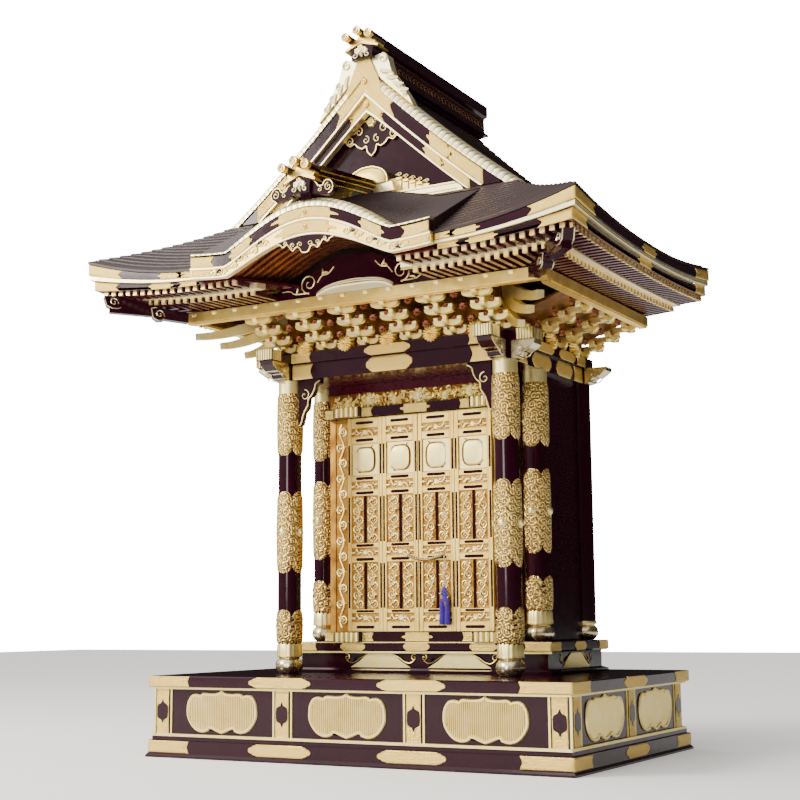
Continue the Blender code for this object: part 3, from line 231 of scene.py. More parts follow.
class Finish:
    """A material and the ways to build it."""

    def __init__(self, name, roughness=0.3, metallic=0.0, coat=0.0):
        self.material = bpy.data.materials.new(name)
        self.material.use_nodes = True
        self.tree = self.material.node_tree
        self.shader = self.tree.nodes["Principled BSDF"]
        self.shader.inputs["Roughness"].default_value = roughness
        self.shader.inputs["Metallic"].default_value = metallic
        self.shader.inputs["Coat Weight"].default_value = coat

    def node(self, kind, settings=None, sockets=None):
        return new_node(self.tree, kind, settings, sockets)

    def place(self):
        """Object coordinates in metres."""
        return self.node("ShaderNodeTexCoord").outputs["Object"]

    def flat(self):
        """The piece's own UV map, in metres along its surface."""
        return self.node("ShaderNodeUVMap", {"uv_map": "Flat"}).outputs["UV"]

    def noise(self, vector, scale, detail=3.0):
        made = self.node("ShaderNodeTexNoise", None, {"Vector": vector, "Scale": scale, "Detail": detail})
        return Number(self, made.outputs["Fac"])

    def blend(self, share, first, second):
        """A colour between two colours."""
        made = self.node("ShaderNodeMix", {"data_type": "RGBA"}, {0: share, 6: first, 7: second})
        return made.outputs[2]

    def set(self, name, value):
        feed(self.tree, self.shader.inputs[name], value)

    def relief(self, height, depth, strength=1.0):
        """Bump from a height of 0 to 1, depth metres high."""
        bump = self.node("ShaderNodeBump", None, {"Height": height, "Distance": depth,
                                                  "Strength": strength})
        self.set("Normal", bump.outputs["Normal"])


# %% [markdown]
# Lacquer is polished black with a breath of wine red where light enters the film. Very fine waviness from
# the rubbing, and a dusting of dull specks, keep its reflections from looking like glass.

# %% Lacquer


def lacquer(name, colour, sheen, roughness, mirror=0.22):
    made = Finish(name, roughness, coat=0.06)
    made.shader.inputs["Specular IOR Level"].default_value = mirror
    where = made.place()
    cloud = made.noise(where, 9.0)
    made.set("Base Color", made.blend(cloud, (*colour, 1), (*sheen, 1)))
    made.set("Roughness", roughness + made.noise(where, 60.0) * 0.08)
    made.relief(made.noise(where, 26.0, 1.0), 0.0006, 0.25)
    return made.material


BLACK = lacquer("black_lacquer", (0.012, 0.001, 0.004), (0.026, 0.002, 0.009), 0.10)
WINE = lacquer("wine_lacquer", (0.06, 0.003, 0.009), (0.035, 0.0015, 0.007), 0.24)
ROOF_BLACK = lacquer("roof_lacquer", (0.020, 0.008, 0.009), (0.038, 0.017, 0.017), 0.42, 0.24)

# %% [markdown]
# Gold leaf is laid in small squares, so its tone shifts slightly from place to place. Darker copies of the
# gold are painted shade on grounds and in hollows, and a paler copy is painted highlight on carving, wires
# and rims. Chased fittings carry curling tendrils: each cell of a Voronoi pattern gets one spiral, read from
# the piece's own map so that it follows boards and columns alike.

# %% Gold finishes
PALE = (1.0, 0.77, 0.24, 1)
WARM = (0.82, 0.52, 0.11, 1)
OCHRE = (0.28, 0.10, 0.015, 1)
# The palest tone is the colour of gold leaf in bright light, for the painted highlight.
HIGHLIGHT_CREAM = (1.0, 0.88, 0.44, 1)


def leaf_gold(name, light, dark, roughness=0.34, depth=0.0004):
    """Plain gold leaf with tonal clouds and slight waves."""
    made = Finish(name, roughness, metallic=1.0)
    where = made.place()
    cloud = made.noise(where, 38.0) * 1.6 - 0.3
    made.set("Base Color", made.blend(cloud.at_least(0.0).at_most(1.0), light, dark))
    made.set("Roughness", roughness + made.noise(where, 120.0) * 0.14)
    made.relief(made.noise(where, 150.0, 2.0), depth, 0.5)
    return made.material


WIND, LOBES, LOBE_TWIST, FADE = 17.0, 5.0, 4.0, 0.35


def tendrils(made, size):
    """Height of curling tendrils about size metres across, from 0 to 1."""
    spread = made.node("ShaderNodeVectorMath", {"operation": "SCALE"},
                       {0: made.flat(), "Scale": 1 / size}).outputs[0]
    cells = made.node("ShaderNodeTexVoronoi", {"voronoi_dimensions": "2D"},
                      {"Vector": spread, "Scale": 1.0, "Randomness": 0.55})
    local = made.node("ShaderNodeVectorMath", {"operation": "SUBTRACT"},
                      {0: spread, 1: cells.outputs["Position"]}).outputs[0]
    split = made.node("ShaderNodeSeparateXYZ", None, {0: local})
    angle = made.node("ShaderNodeMath", {"operation": "ARCTAN2"},
                      {0: split.outputs[1], 1: split.outputs[0]})
    angle = Number(made, angle.outputs[0])
    reach = Number(made, cells.outputs["Distance"])
    curl = (angle + reach * WIND).sine() * 0.5 + 0.5
    lobes = (angle * LOBES + reach * LOBE_TWIST).sine() * 0.5 + 0.5
    return ((curl * (1 - reach * FADE)) ** 0.8 * 0.8 + lobes * 0.2).at_least(0.0)


def chased_gold(name, size, depth, light=PALE, dark=OCHRE, roughness=0.3):
    """Gold with engraved or embossed tendrils."""
    made = Finish(name, roughness, metallic=1.0)
    height = tendrils(made, size)
    # Colour follows the relief: the low ground between the tendrils is painted dark ochre as shade, the
    # raised tendrils pale.
    made.set("Base Color", made.blend(height, dark, light))
    made.set("Roughness", roughness + (1 - height) * 0.15)
    made.relief(height, depth)
    return made.material


GOLD = leaf_gold("gold_leaf", PALE, WARM)
# A paler copy of the gold leaf for raised carving, wires, rims and bright fittings: painted highlight.
HIGHLIGHT_GOLD = leaf_gold("painted_highlight_gold", HIGHLIGHT_CREAM, PALE, 0.36)
# A darker gold leaf, used on the rail studs and under the curved roof.
DEEP_GOLD = leaf_gold("darker_gold", WARM, OCHRE, 0.38)
FITTING = chased_gold("engraved_fitting", 0.006, 0.0006, (1.0, 0.78, 0.25, 1), (0.60, 0.33, 0.05, 1),
                      0.34)
EMBOSSED = chased_gold("embossed_sheet", 0.017, 0.0022, (1.0, 0.79, 0.28, 1), (0.30, 0.11, 0.018, 1))
# A darker copy of the gold leaf for the grounds behind ribs and relief: painted shade.
SHADE_GOLD = leaf_gold("painted_shade_gold", (0.62, 0.34, 0.07, 1), (0.20, 0.07, 0.012, 1), 0.4)
# A still darker copy for the hollows behind the brackets and the transom's carving, and for the cartouche's
# outline: painted deep shade.
DEEP_SHADE_GOLD = leaf_gold("painted_deep_shade_gold", (0.34, 0.15, 0.03, 1), (0.07, 0.016, 0.006, 1), 0.42)
SILVERED = leaf_gold("silvered_gold", (0.85, 0.76, 0.50, 1), (0.55, 0.44, 0.24, 1), 0.2, 0.0002)

# %% [markdown]
# The verge tiles are thin white-gold shells side by side, the silk of the tassel is purple floss, and the
# lock's cord is a faded pink twist.

# %% White-gold tiles and silks
TILE = leaf_gold("white_gold_tile", (1.0, 0.94, 0.66, 1), (1.0, 0.82, 0.40, 1), 0.38)


def silk(name, colour, shade, threads):
    made = Finish(name, 0.75)
    split = made.node("ShaderNodeSeparateXYZ", None, {0: made.flat()})
    strand = (Number(made, split.outputs[0]) * (2 * pi * threads)).sine() * 0.5 + 0.5
    # The shade colour lies in the grooves between the threads: painted shade.
    made.set("Base Color", made.blend(strand, (*shade, 1), (*colour, 1)))
    made.relief(strand, 0.0006, 0.8)
    return made.material


PURPLE_SILK = silk("purple_silk", (0.12, 0.05, 0.55), (0.04, 0.01, 0.22), 900)
PINK_SILK = silk("pink_silk", (0.86, 0.62, 0.55), (0.6, 0.36, 0.33), 600)
print("finishes:", len(bpy.data.materials))

# %% [markdown]
# Every piece is a mesh in place, so its object stays at the origin. A piece without a map of its own gets
# a box map in metres: each face is laid flat along its main direction.


# %% Pieces
WELD = 1e-6


def box_map(mesh):
    """UVs in metres, each face laid flat along its main direction."""
    layer = mesh.uv_layers.new(name="Flat")
    for face in mesh.polygons:
        normal = face.normal
        main = max(range(3), key=lambda axis: abs(normal[axis]))
        first, second = ((1, 2), (0, 2), (0, 1))[main]
        for corner in face.loop_indices:
            point = mesh.vertices[mesh.loops[corner].vertex_index].co
            layer.data[corner].uv = (point[first], point[second])


def show(name, mesh, finish, slot, body="shrine", stands_for=(), smooth=35):
    """Put a mesh, or a bmesh once it is made solid, in the scene as a piece that rides on a body."""
    if isinstance(mesh, bmesh.types.BMesh):
        mesh = solid(mesh)
    mesh.name = name
    mesh.materials.clear()
    mesh.materials.append(finish)
    if "Flat" not in mesh.uv_layers:
        box_map(mesh)
    if smooth:
        mesh.shade_smooth()
        mesh.set_sharp_from_angle(angle=radians(smooth))
    piece = bpy.data.objects.new(name, mesh)
    bpy.context.scene.collection.objects.link(piece)
    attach(piece, body)
    if stands_for:
        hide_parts(*stands_for)
    print(name, len(mesh.polygons), "faces")
    return piece


def to_mesh(work):
    """The mesh of a bmesh, which is let go."""
    mesh = bpy.data.meshes.new("work")
    work.to_mesh(mesh)
    work.free()
    return mesh


def solid(work):
    """A mesh from bmesh, welded, with its faces pointing out."""
    bmesh.ops.remove_doubles(work, verts=work.verts, dist=WELD)
    bmesh.ops.recalc_face_normals(work, faces=work.faces)
    return to_mesh(work)


def joined(meshes):
    """One mesh from several."""
    work = bmesh.new()
    for mesh in meshes:
        work.from_mesh(mesh)
    return to_mesh(work)


def middle(node):
    low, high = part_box(node)
    return (low + high) / 2


def paint(finish, *names):
    """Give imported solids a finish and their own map."""
    for name in names:
        item = nodes[name]
        item.data.materials.clear()
        item.data.materials.append(finish)
        if "Flat" not in item.data.uv_layers:
            box_map(item.data)


# %% [markdown]
# Fittings lie on flat walls, curved eave boards and round columns alike. A placing function takes a point
# along, across and off the surface and gives its place in the room, so one plate works everywhere.


# %% Surfaces to work on
def front_face(y):
    return lambda s, t, d: (s, y - d, t)


def side_face(x, hand=1):
    return lambda s, t, d: (x + hand * d, s, t)


def skin(work, rows, around=False):
    """Faces between rows of points."""
    verts = [[work.verts.new(point) for point in row] for row in rows]
    for lower, upper in zip(verts, verts[1:]):
        for k in range(len(lower) - (0 if around else 1)):
            n = (k + 1) % len(lower)
            work.faces.new((lower[k], lower[n], upper[n], upper[k]))
    return verts


def capped(work, rings):
    """A closed skin round rings, with an end face on each end."""
    verts = skin(work, rings, around=True)
    work.faces.new(verts[0])
    work.faces.new(verts[-1])


def handed(rings, hand):
    """Rings of the right side as they are, or with a hand of -1 those of the left."""
    return [[(hand * x, y, z) for x, y, z in ring] for ring in rings]


def plate(work, place, s, t, outline_at, thick=0.0016, steps=14, across=5):
    """A metal plate; outline_at(u, v) gives its edge point for u along and v across from -1 to 1."""
    ends = getattr(outline_at, "stops", (0.96, 1))
    us = [-u for u in reversed(ends)] + [ends[0] * (2 * k / steps - 1)
                                         for k in range(1, steps)] + list(ends)
    vs = [-1, -0.9] + [-0.9 + 1.8 * k / across for k in range(1, across)] + [0.9, 1]
    top, base = [], []
    for v in vs:
        row, under = [], []
        for u in us:
            a, b = outline_at(u, v)
            edge = abs(u) == 1 or abs(v) == 1
            row.append(place(s + a, t + b, thick * 0.3 if edge else thick))
            under.append(place(s + a, t + b, -0.0004))
        top.append(row)
        base.append(under)
    rim_top = top[0] + [row[-1] for row in top[1:-1]] + top[-1][::-1] + [row[0] for row in top[-2:0:-1]]
    rim_base = base[0] + [row[-1] for row in base[1:-1]] + base[-1][::-1] + [row[0] for row in base[-2:0:-1]]
    skin(work, top)
    skin(work, [rim_top, rim_base], around=True)
    skin(work, base)


SHOULDER, NOSE, CUT_NOSE = 0.74, 0.88, 0.080
SHOULDER_HALF, NOSE_HALF = 0.32, 0.54
LOBED_STEPS, LONG_STEPS = 26, 40
MOKKO_STOPS = (SHOULDER, SHOULDER + 0.015, 0.80, 0.84, 0.865, NOSE, 0.92, 0.96, 0.985, 1.0)


def mokko(length, width, nose=NOSE):
    """Outline of the plate over a crossing: at each end a shoulder curls in to a round nose, or drops
    straight to a tapered one with CUT_NOSE. The stops are far enough apart not to be welded."""
    def at(u, v):
        far = abs(u)
        if far <= SHOULDER:
            half = 1.0
        elif far < nose:
            half = NOSE_HALF + SHOULDER_HALF * (1 - ((far - SHOULDER) / (nose - SHOULDER)) ** 2) ** 0.5
        else:
            half = NOSE_HALF * max(0.0, 1 - ((far - nose) / (1 - nose)) ** 2) ** 0.5
        return u * length / 2, v * width / 2 * max(half, 0.05)
    at.stops = MOKKO_STOPS
    return at


def tailed(length, width, left=True, right=True, notch=0.22):
    """Outline of a plate with swallow tails at its ends."""
    def at(u, v):
        cut = notch * width * (1 - abs(v)) if (u > 0 and right) or (u < 0 and left) else 0.0
        return u * (length / 2 - cut), v * width / 2
    return at


def tube(work, points, radius, sides=6, taper=None, up=(0, -1, 0)):
    """A round bead along points; taper(share) scales it, and up sets its sides."""
    points = [Vector(point) for point in points]
    up = Vector(up)
    rings = []
    for k, point in enumerate(points):
        ahead = points[min(k + 1, len(points) - 1)] - points[max(k - 1, 0)]
        side = ahead.cross(up)
        if side.length < 1e-9:
            side = Vector((1, 0, 0))
        side.normalize()
        lift = side.cross(ahead).normalized()
        size = radius * (taper(k / (len(points) - 1)) if taper else 1.0)
        rings.append([point + side * (size * cos(2 * pi * n / sides)) + lift
                      * (size * sin(2 * pi * n / sides)) for n in range(sides)])
    capped(work, rings)


def spiral(s, t, size, turns, start=0.0, hand=1, steps=18):
    """Points of a scroll that winds in towards (s, t), as (s, t) pairs."""
    points = []
    for k in range(steps + 1):
        share = k / steps
        reach = size * (1 - share) ** 0.8 + size * 0.08
        turn = start + hand * turns * 2 * pi * share
        points.append((s + reach * cos(turn), t + reach * sin(turn)))
    return points


def curl(work, place, s, t, size, start=0.0, hand=1, bead=0.0011, turns=1.25, off=0.0008):
    points = [place(a, b, off) for a, b in spiral(s, t, size, turns, start, hand)]
    tube(work, points, bead, 5, lambda share: 1 - 0.55 * share)


def petal_ring(work, place, s, t, size, petals, rise, base=0.0):
    """A dome with petals, the way carvers rough out a peony or a chrysanthemum."""
    around = petals * 4
    rows = []
    for k in range(5):
        share = 1 - k / 4
        row = []
        for n in range(around):
            turn = 2 * pi * n / around
            lobe = 0.80 + 0.20 * abs(cos(petals * turn / 2))
            reach = size * share * (lobe if share > 0.3 else 0.9)
            crease = 0.25 * (1 - abs(cos(petals * turn / 2))) * share
            height = base + rise * (0.15 + sin(pi * min(1.0, 0.25 + 0.62 * (1 - share)))) * (1 - crease)
            row.append(place(s + reach * cos(turn), t + reach * sin(turn), height if k else base))
        rows.append(row)
    verts = skin(work, rows, around=True)
    work.faces.new(verts[0])
    work.faces.new(verts[-1])


def peony(work, place, s, t, size, rise, petals=7):
    petal_ring(work, place, s, t, size, petals, rise * 0.55)
    petal_ring(work, place, s, t, size * 0.66, petals - 1, rise * 0.5, rise * 0.4)
    petal_ring(work, place, s, t, size * 0.34, 5, rise * 0.3, rise * 0.8)


def frond(work, place, s, t, length, width, turn, rise):
    """A leaf with a raised midrib and a bent tip."""
    rows = []
    count = 6
    for k in range(count + 1):
        share = k / count
        half = width / 2 * sin(pi * min(share * 0.9 + 0.08, 1.0)) ** 0.7
        bend = turn + 0.5 * share
        along = (s + length * share * cos(bend), t + length * share * sin(bend))
        side = (-sin(bend), cos(bend))
        lift = rise * sin(pi * (0.15 + 0.8 * share))
        ring = [(half, 0.1), (half * 0.5, 0.75), (0, 0.5), (-half * 0.5, 0.75), (-half, 0.1), (0, -0.2)]
        rows.append([place(along[0] + side[0] * a, along[1] + side[1] * a, lift * b) for a, b in ring])
    capped(work, rows)


# %% [markdown]
# What repeats along a line - rafters, ribs, tiles, rings, flutes - comes from one Geometry Nodes tree. It
# turns a line into a curve, samples it at the pitch, and puts the piece on each point, turned and
# stretched as the line's own attributes say, so that a row can follow an upswept eave.


# %% A tree that repeats a piece along a line
def row_tree():
    tree = bpy.data.node_groups.new("row_along_line", "GeometryNodeTree")
    face = tree.interface
    face.new_socket("Line", in_out="INPUT", socket_type="NodeSocketGeometry")
    sockets = {}
    for name, kind in (("Piece", "NodeSocketObject"), ("Pitch", "NodeSocketFloat"),
                       ("Finish", "NodeSocketMaterial")):
        sockets[name] = face.new_socket(name, in_out="INPUT", socket_type=kind).identifier
    face.new_socket("Row", in_out="OUTPUT", socket_type="NodeSocketGeometry")
    start = new_node(tree, "NodeGroupInput").outputs
    curve = new_node(tree, "GeometryNodeMeshToCurve", None, {"Mesh": start["Line"]})
    sample = new_node(tree, "GeometryNodeResampleCurve", {"mode": "LENGTH"},
                      {"Curve": curve.outputs["Curve"], "Length": start["Pitch"]})
    info = new_node(tree, "GeometryNodeObjectInfo", None, {"Object": start["Piece"]})
    turn, stretch = [new_node(tree, "GeometryNodeInputNamedAttribute", {"data_type": "FLOAT_VECTOR"},
                              {"Name": name}).outputs["Attribute"] for name in ("turn", "stretch")]
    copies = new_node(tree, "GeometryNodeInstanceOnPoints", None,
                      {"Points": sample.outputs["Curve"], "Instance": info.outputs["Geometry"],
                       "Rotation": turn, "Scale": stretch})
    real = new_node(tree, "GeometryNodeRealizeInstances", None, {"Geometry": copies.outputs["Instances"]})
    coat = new_node(tree, "GeometryNodeSetMaterial", None,
                    {"Geometry": real.outputs["Geometry"], "Material": start["Finish"]})
    new_node(tree, "NodeGroupOutput", None, {"Row": coat.outputs["Geometry"]})
    return tree, sockets


ROW, ROW_SOCKETS = row_tree()


def row(line, shape, pitch, finish, turns=None, stretches=None):
    """Copies of a shape along a line of points; turns and stretches are given for each point."""
    mesh = bpy.data.meshes.new("line")
    mesh.from_pydata([tuple(point) for point in line], [(k, k + 1) for k in range(len(line) - 1)], [])
    for name, values, plain_value in (("turn", turns, (0, 0, 0)), ("stretch", stretches, (1, 1, 1))):
        layer = mesh.attributes.new(name, "FLOAT_VECTOR", "POINT")
        for k in range(len(line)):
            layer.data[k].vector = values[k] if values else plain_value
    item = bpy.data.objects.new("line", mesh)
    unit = bpy.data.objects.new("unit", shape)
    for made in (item, unit):
        bpy.context.scene.collection.objects.link(made)
    change = item.modifiers.new("Row", "NODES")
    change.node_group = ROW
    change[ROW_SOCKETS["Piece"]] = unit
    change[ROW_SOCKETS["Pitch"]] = pitch
    change[ROW_SOCKETS["Finish"]] = finish
    bpy.context.view_layer.update()
    graph = bpy.context.evaluated_depsgraph_get()
    result = bpy.data.meshes.new_from_object(item.evaluated_get(graph))
    bpy.data.objects.remove(item)
    bpy.data.objects.remove(unit)
    return result


def bar_shape(width, depth, height):
    """A bar from the origin towards +y, its top at the origin's height."""
    work = bmesh.new()
    bmesh.ops.create_cube(work, size=1)
    bmesh.ops.scale(work, vec=(width, depth, height), verts=work.verts)
    bmesh.ops.translate(work, vec=(0, depth / 2, -height / 2), verts=work.verts)
    return solid(work)


def block(work, x, y, z):
    """A block between (low, high) pairs, added to work."""
    made = bmesh.ops.create_cube(work, size=1)["verts"]
    bmesh.ops.scale(work, vec=(x[1] - x[0], y[1] - y[0], z[1] - z[0]), verts=made)
    bmesh.ops.translate(work, vec=(sum(x) / 2, sum(y) / 2, sum(z) / 2), verts=made)

# %% [markdown]
# The dais is a black box with a rail above and below. Every corner and post carries a gilt fitting, and
# each panel opens in a cusped window with gold ribs behind. The solids keep the timbers; here come a
# finish and the metalwork on top.

# %% Timbers of the dais and the platform
paint(BLACK, "dais_base", "dais_top", "dais_wall_front", "dais_wall_back", "dais_wall_left",
      "dais_wall_right", "platform_apron", "platform_top", "cell_left", "cell_right", "head_rail",
      "threshold", "hip_left", "hip_right", "ridge", "tie_front", "tie_rear", "tie_left", "tie_right",
      "plate_front", "plate_left", "plate_right", "spandrel_left", "spandrel_right", "porch_beam",
      "brackets_rear")
paint(WINE, "cell_ceiling")
paint(GOLD, "cell_back")

# %% Outlines


def curve_through(points, steps=6):
    """A smooth line through points, for outlines that swell and turn."""
    line = []
    for k in range(len(points) - 1):
        before = Vector(points[max(k - 1, 0)])
        start, end = Vector(points[k]), Vector(points[k + 1])
        after = Vector(points[min(k + 2, len(points) - 1)])
        for n in range(steps):
            t = n / steps
            line.append(tuple(0.5 * (2 * start + (end - before) * t
                                     + (2 * before - 5 * start + 4 * end - after) * t ** 2
                                     + (3 * start - before - 3 * end + after) * t ** 3)))
    return line + [tuple(points[-1])]


def both_halves(points):
    """A right half that starts and ends on the middle line, closed on the left."""
    return points + [(-a, b) for a, b in points[-2:0:-1]]


def mirrored(points):
    """A right half that ends on the middle line, carried on over the left."""
    return points + [(-a, b) for a, b in reversed(points[:-1])]


def prism(work, points, place, low, high):
    """A flat outline with thickness; low and high are distances off the surface."""
    capped(work, [[place(a, b, d) for a, b in points] for d in (low, high)])


def height_at(line, s):
    """Height of a line of (s, t) points at s."""
    for (a, b), (c, d) in zip(line, line[1:]):
        if min(a, c) <= s <= max(a, c) and a != c:
            return b + (d - b) * (s - a) / (c - a)
    return line[-1][1]


# %% Rails of the dais
low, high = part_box("dais_top")
base_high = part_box("dais_base")[1]
DAIS_X = high.x
DAIS_FRONT, DAIS_BACK = low.y, high.y
TOP_Z = (low.z, high.z)
RAIL_Z = (0.010, 0.036)
wall_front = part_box("dais_wall_front")[0].y
wall_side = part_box("dais_wall_right")[1].x
CORNER_PLATE = 0.110
CENTRE_PLATE = 0.155
POST_WIDTH = 0.034
POST_X = [(DAIS_X - 0.014 - POST_WIDTH / 2) * k for k in (-1, -1 / 3, 1 / 3, 1)]
side_low, side_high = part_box("dais_wall_right")
POST_Y = [side_low.y + POST_WIDTH / 2, (side_low.y + side_high.y) / 2, side_high.y - POST_WIDTH / 2]


def rail_plates(work, place, z, ends, centres, corner=CORNER_PLATE, centre=CENTRE_PLATE):
    """Swallow-tailed plates at both ends of a rail and lobed ones over its posts."""
    width = z[1] - z[0] - 0.0012
    t = sum(z) / 2
    plate(work, place, ends[0] + corner / 2, t, tailed(corner, width, left=False))
    plate(work, place, ends[1] - corner / 2, t, tailed(corner, width, right=False))
    for s in centres:
        plate(work, place, s, t, mokko(centre, width), steps=LOBED_STEPS)


work = bmesh.new()
for z in (TOP_Z, RAIL_Z):
    rail_plates(work, front_face(DAIS_FRONT), z, (-DAIS_X, DAIS_X), POST_X[1:3])
    for hand in (-1, 1):
        rail_plates(work, side_face(hand * DAIS_X, hand), z, (DAIS_FRONT, DAIS_BACK), POST_Y[1:2], 0.09,
                    0.13)
show("dais_rail_fittings", work, FITTING, "gold")

work = bmesh.new()
for hand in (-1, 1):
    for z in (TOP_Z, RAIL_Z):
        petal_ring(work, front_face(DAIS_FRONT - 0.0016), hand * (DAIS_X - CORNER_PLATE + 0.014),
                   sum(z) / 2, 0.0016, 6, 0.001)
show("dais_rail_studs", work, DEEP_GOLD, "gold")

# %% Gold strips and posts of the dais
STRIP_Z = (0.0452, 0.149)
STRIP_GAP, STRIP_HALF = 0.005, 0.0022
work = bmesh.new()
for z, out in (((base_high.z + 0.0001, base_high.z + 0.0055), 0.004),
               ((TOP_Z[0] - 0.0045, TOP_Z[0] - 0.0004), 0.006)):
    block(work, (-DAIS_X + 0.006, DAIS_X - 0.006), (wall_front - out, wall_front + 0.003), z)
    for hand in (-1, 1):
        x = sorted((hand * (wall_side - 0.004), hand * (wall_side + out)))
        block(work, x, (DAIS_FRONT + 0.006, DAIS_BACK - 0.006), z)
for x in POST_X:
    for side in (-1, 1):
        edge = x + side * (POST_WIDTH / 2 + STRIP_GAP)
        block(work, (edge - STRIP_HALF, edge + STRIP_HALF), (wall_front + 0.0005, wall_front + 0.004),
              STRIP_Z)
for y in POST_Y:
    for hand in (-1, 1):
        for side in (-1, 1):
            edge = y + side * (POST_WIDTH / 2 + STRIP_GAP)
            x = sorted((hand * (wall_side - 0.004), hand * (wall_side - 0.0008)))
            block(work, x, (edge - STRIP_HALF, edge + STRIP_HALF), STRIP_Z)
show("dais_strips", work, HIGHLIGHT_GOLD, "gold")

POST_Z = (0.0455, 0.1485)
HEXAGON = [(0, 1), (0.25, 0.70), (0.9, 0.52), (1, 0.3), (1, -0.3), (0.9, -0.52), (0.25, -0.70), (0, -1)]
post_work, gem_work = bmesh.new(), bmesh.new()


def post(place, s):
    """A gilt post face with a black pointed lozenge half way up."""
    t, half = sum(POST_Z) / 2, (POST_Z[1] - POST_Z[0]) / 2
    plate(post_work, place, s, t, lambda u, v: (u * (POST_WIDTH / 2 - 0.0006), v * half), thick=0.0012)
    prism(gem_work, [(s + a * 0.0145, t + b * 0.026) for a, b in both_halves(HEXAGON)], place, 0.0008,
          0.0018)


for x in POST_X:
    post(front_face(wall_front), x)
for y in POST_Y:
    for hand in (-1, 1):
        post(side_face(hand * wall_side, hand), y)
show("dais_posts", post_work, FITTING, "gold")
show("dais_lozenges", gem_work, BLACK, "lacquer")

# %% [markdown]
# Each window is one outline used three times: as the gold ground, as the length of every rib, and as the
# path of the rim. The ribs come from the row tree, and their stretch follows the outline.

# %% Cusped windows
WINDOW_TOP = curve_through([(0, 0.52), (0.05, 0.46), (0.15, 0.44), (0.27, 0.45), (0.31, 0.39),
                            (0.34, 0.41), (0.40, 0.42), (0.45, 0.37), (0.49, 0.22), (0.5, 0.05)], 4)
WINDOW_LOW = curve_through([(0.5, 0.05), (0.495, -0.1), (0.46, -0.27), (0.39, -0.43), (0.30, -0.5),
                            (0.21, -0.47), (0.19, -0.41), (0.14, -0.41), (0.07, -0.47), (0, -0.52)], 4)
RIB_PITCH = 0.0046
WINDOW_SHARE = 0.9
ground_work, rim_work = bmesh.new(), bmesh.new()
rib_rows = []


def window(place, s, width, height):
    """A cusped window: its ground, rim and ribs."""
    t = (base_high.z + TOP_Z[0]) / 2 + 0.0012
    height *= WINDOW_SHARE
    half = WINDOW_TOP + WINDOW_LOW[1:]
    outline = [(s + a * width, t + b * height) for a, b in both_halves(half)]
    prism(ground_work, outline, place, -0.0045, 0.0006)
    loop = [place(a, b, 0.0014) for a, b in outline]
    tube(rim_work, loop + loop[:2], 0.0034, 6, up=Vector(place(s, t, 1)) - Vector(place(s, t, 0)))
    inner = width - 0.008
    count = 24
    line, stretches = [], []
    for k in range(count + 1):
        a = -inner / 2 + inner * k / count
        share = min(abs(a) / width, 0.499)
        top, low = height_at(WINDOW_TOP, share) * height, height_at(WINDOW_LOW, share) * height
        line.append(place(s + a, t + (top + low) / 2, 0.0006))
        stretches.append((1, 1, max(top - low - 0.003, 0.004)))
    rib = bmesh.new()
    bmesh.ops.create_cone(rib, cap_ends=True, segments=6, radius1=0.0016, radius2=0.0016, depth=1)
    rib_rows.append(row(line, solid(rib), RIB_PITCH, HIGHLIGHT_GOLD, None, stretches))


wall_face = wall_front + 0.003
pitch = POST_X[1] - POST_X[0]
for k in (-1, 0, 1):
    window(front_face(wall_face), pitch * k, 0.178, 0.090)
for hand in (-1, 1):
    for a, b in zip(POST_Y, POST_Y[1:]):
        window(side_face(hand * (wall_side - 0.003), hand), (a + b) / 2, 0.19, 0.090)
# The grounds behind the ribs are painted shade, and the rims and ribs painted highlight.
show("window_grounds", ground_work, SHADE_GOLD, "gold")
show("window_rims", rim_work, HIGHLIGHT_GOLD, "gold")
show("window_ribs", joined(rib_rows), HIGHLIGHT_GOLD, "gold")

# %% [markdown]
# The platform repeats the dais on a small scale. Its apron has two shallow gilt arches in front, each
# between cloud scrolls edged with gold wire.

# %% Platform
low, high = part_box("platform_top")
STEP_X, STEP_FRONT, STEP_BACK, STEP_Z = high.x, low.y, high.y, (low.z + 0.001, high.z)
apron_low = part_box("platform_apron")[0]
APRON_FACE = STEP_FRONT + 0.012
APRON_SIDE = STEP_X - 0.012
work = bmesh.new()
rail_plates(work, front_face(STEP_FRONT), STEP_Z, (-STEP_X, STEP_X), (-0.165, 0, 0.165), 0.062, 0.066)
for hand in (-1, 1):
    rail_plates(work, side_face(hand * STEP_X, hand), STEP_Z, (STEP_FRONT, STEP_BACK),
                ((STEP_FRONT + STEP_BACK) / 2,), 0.055, 0.06)
show("platform_fittings", work, FITTING, "gold")

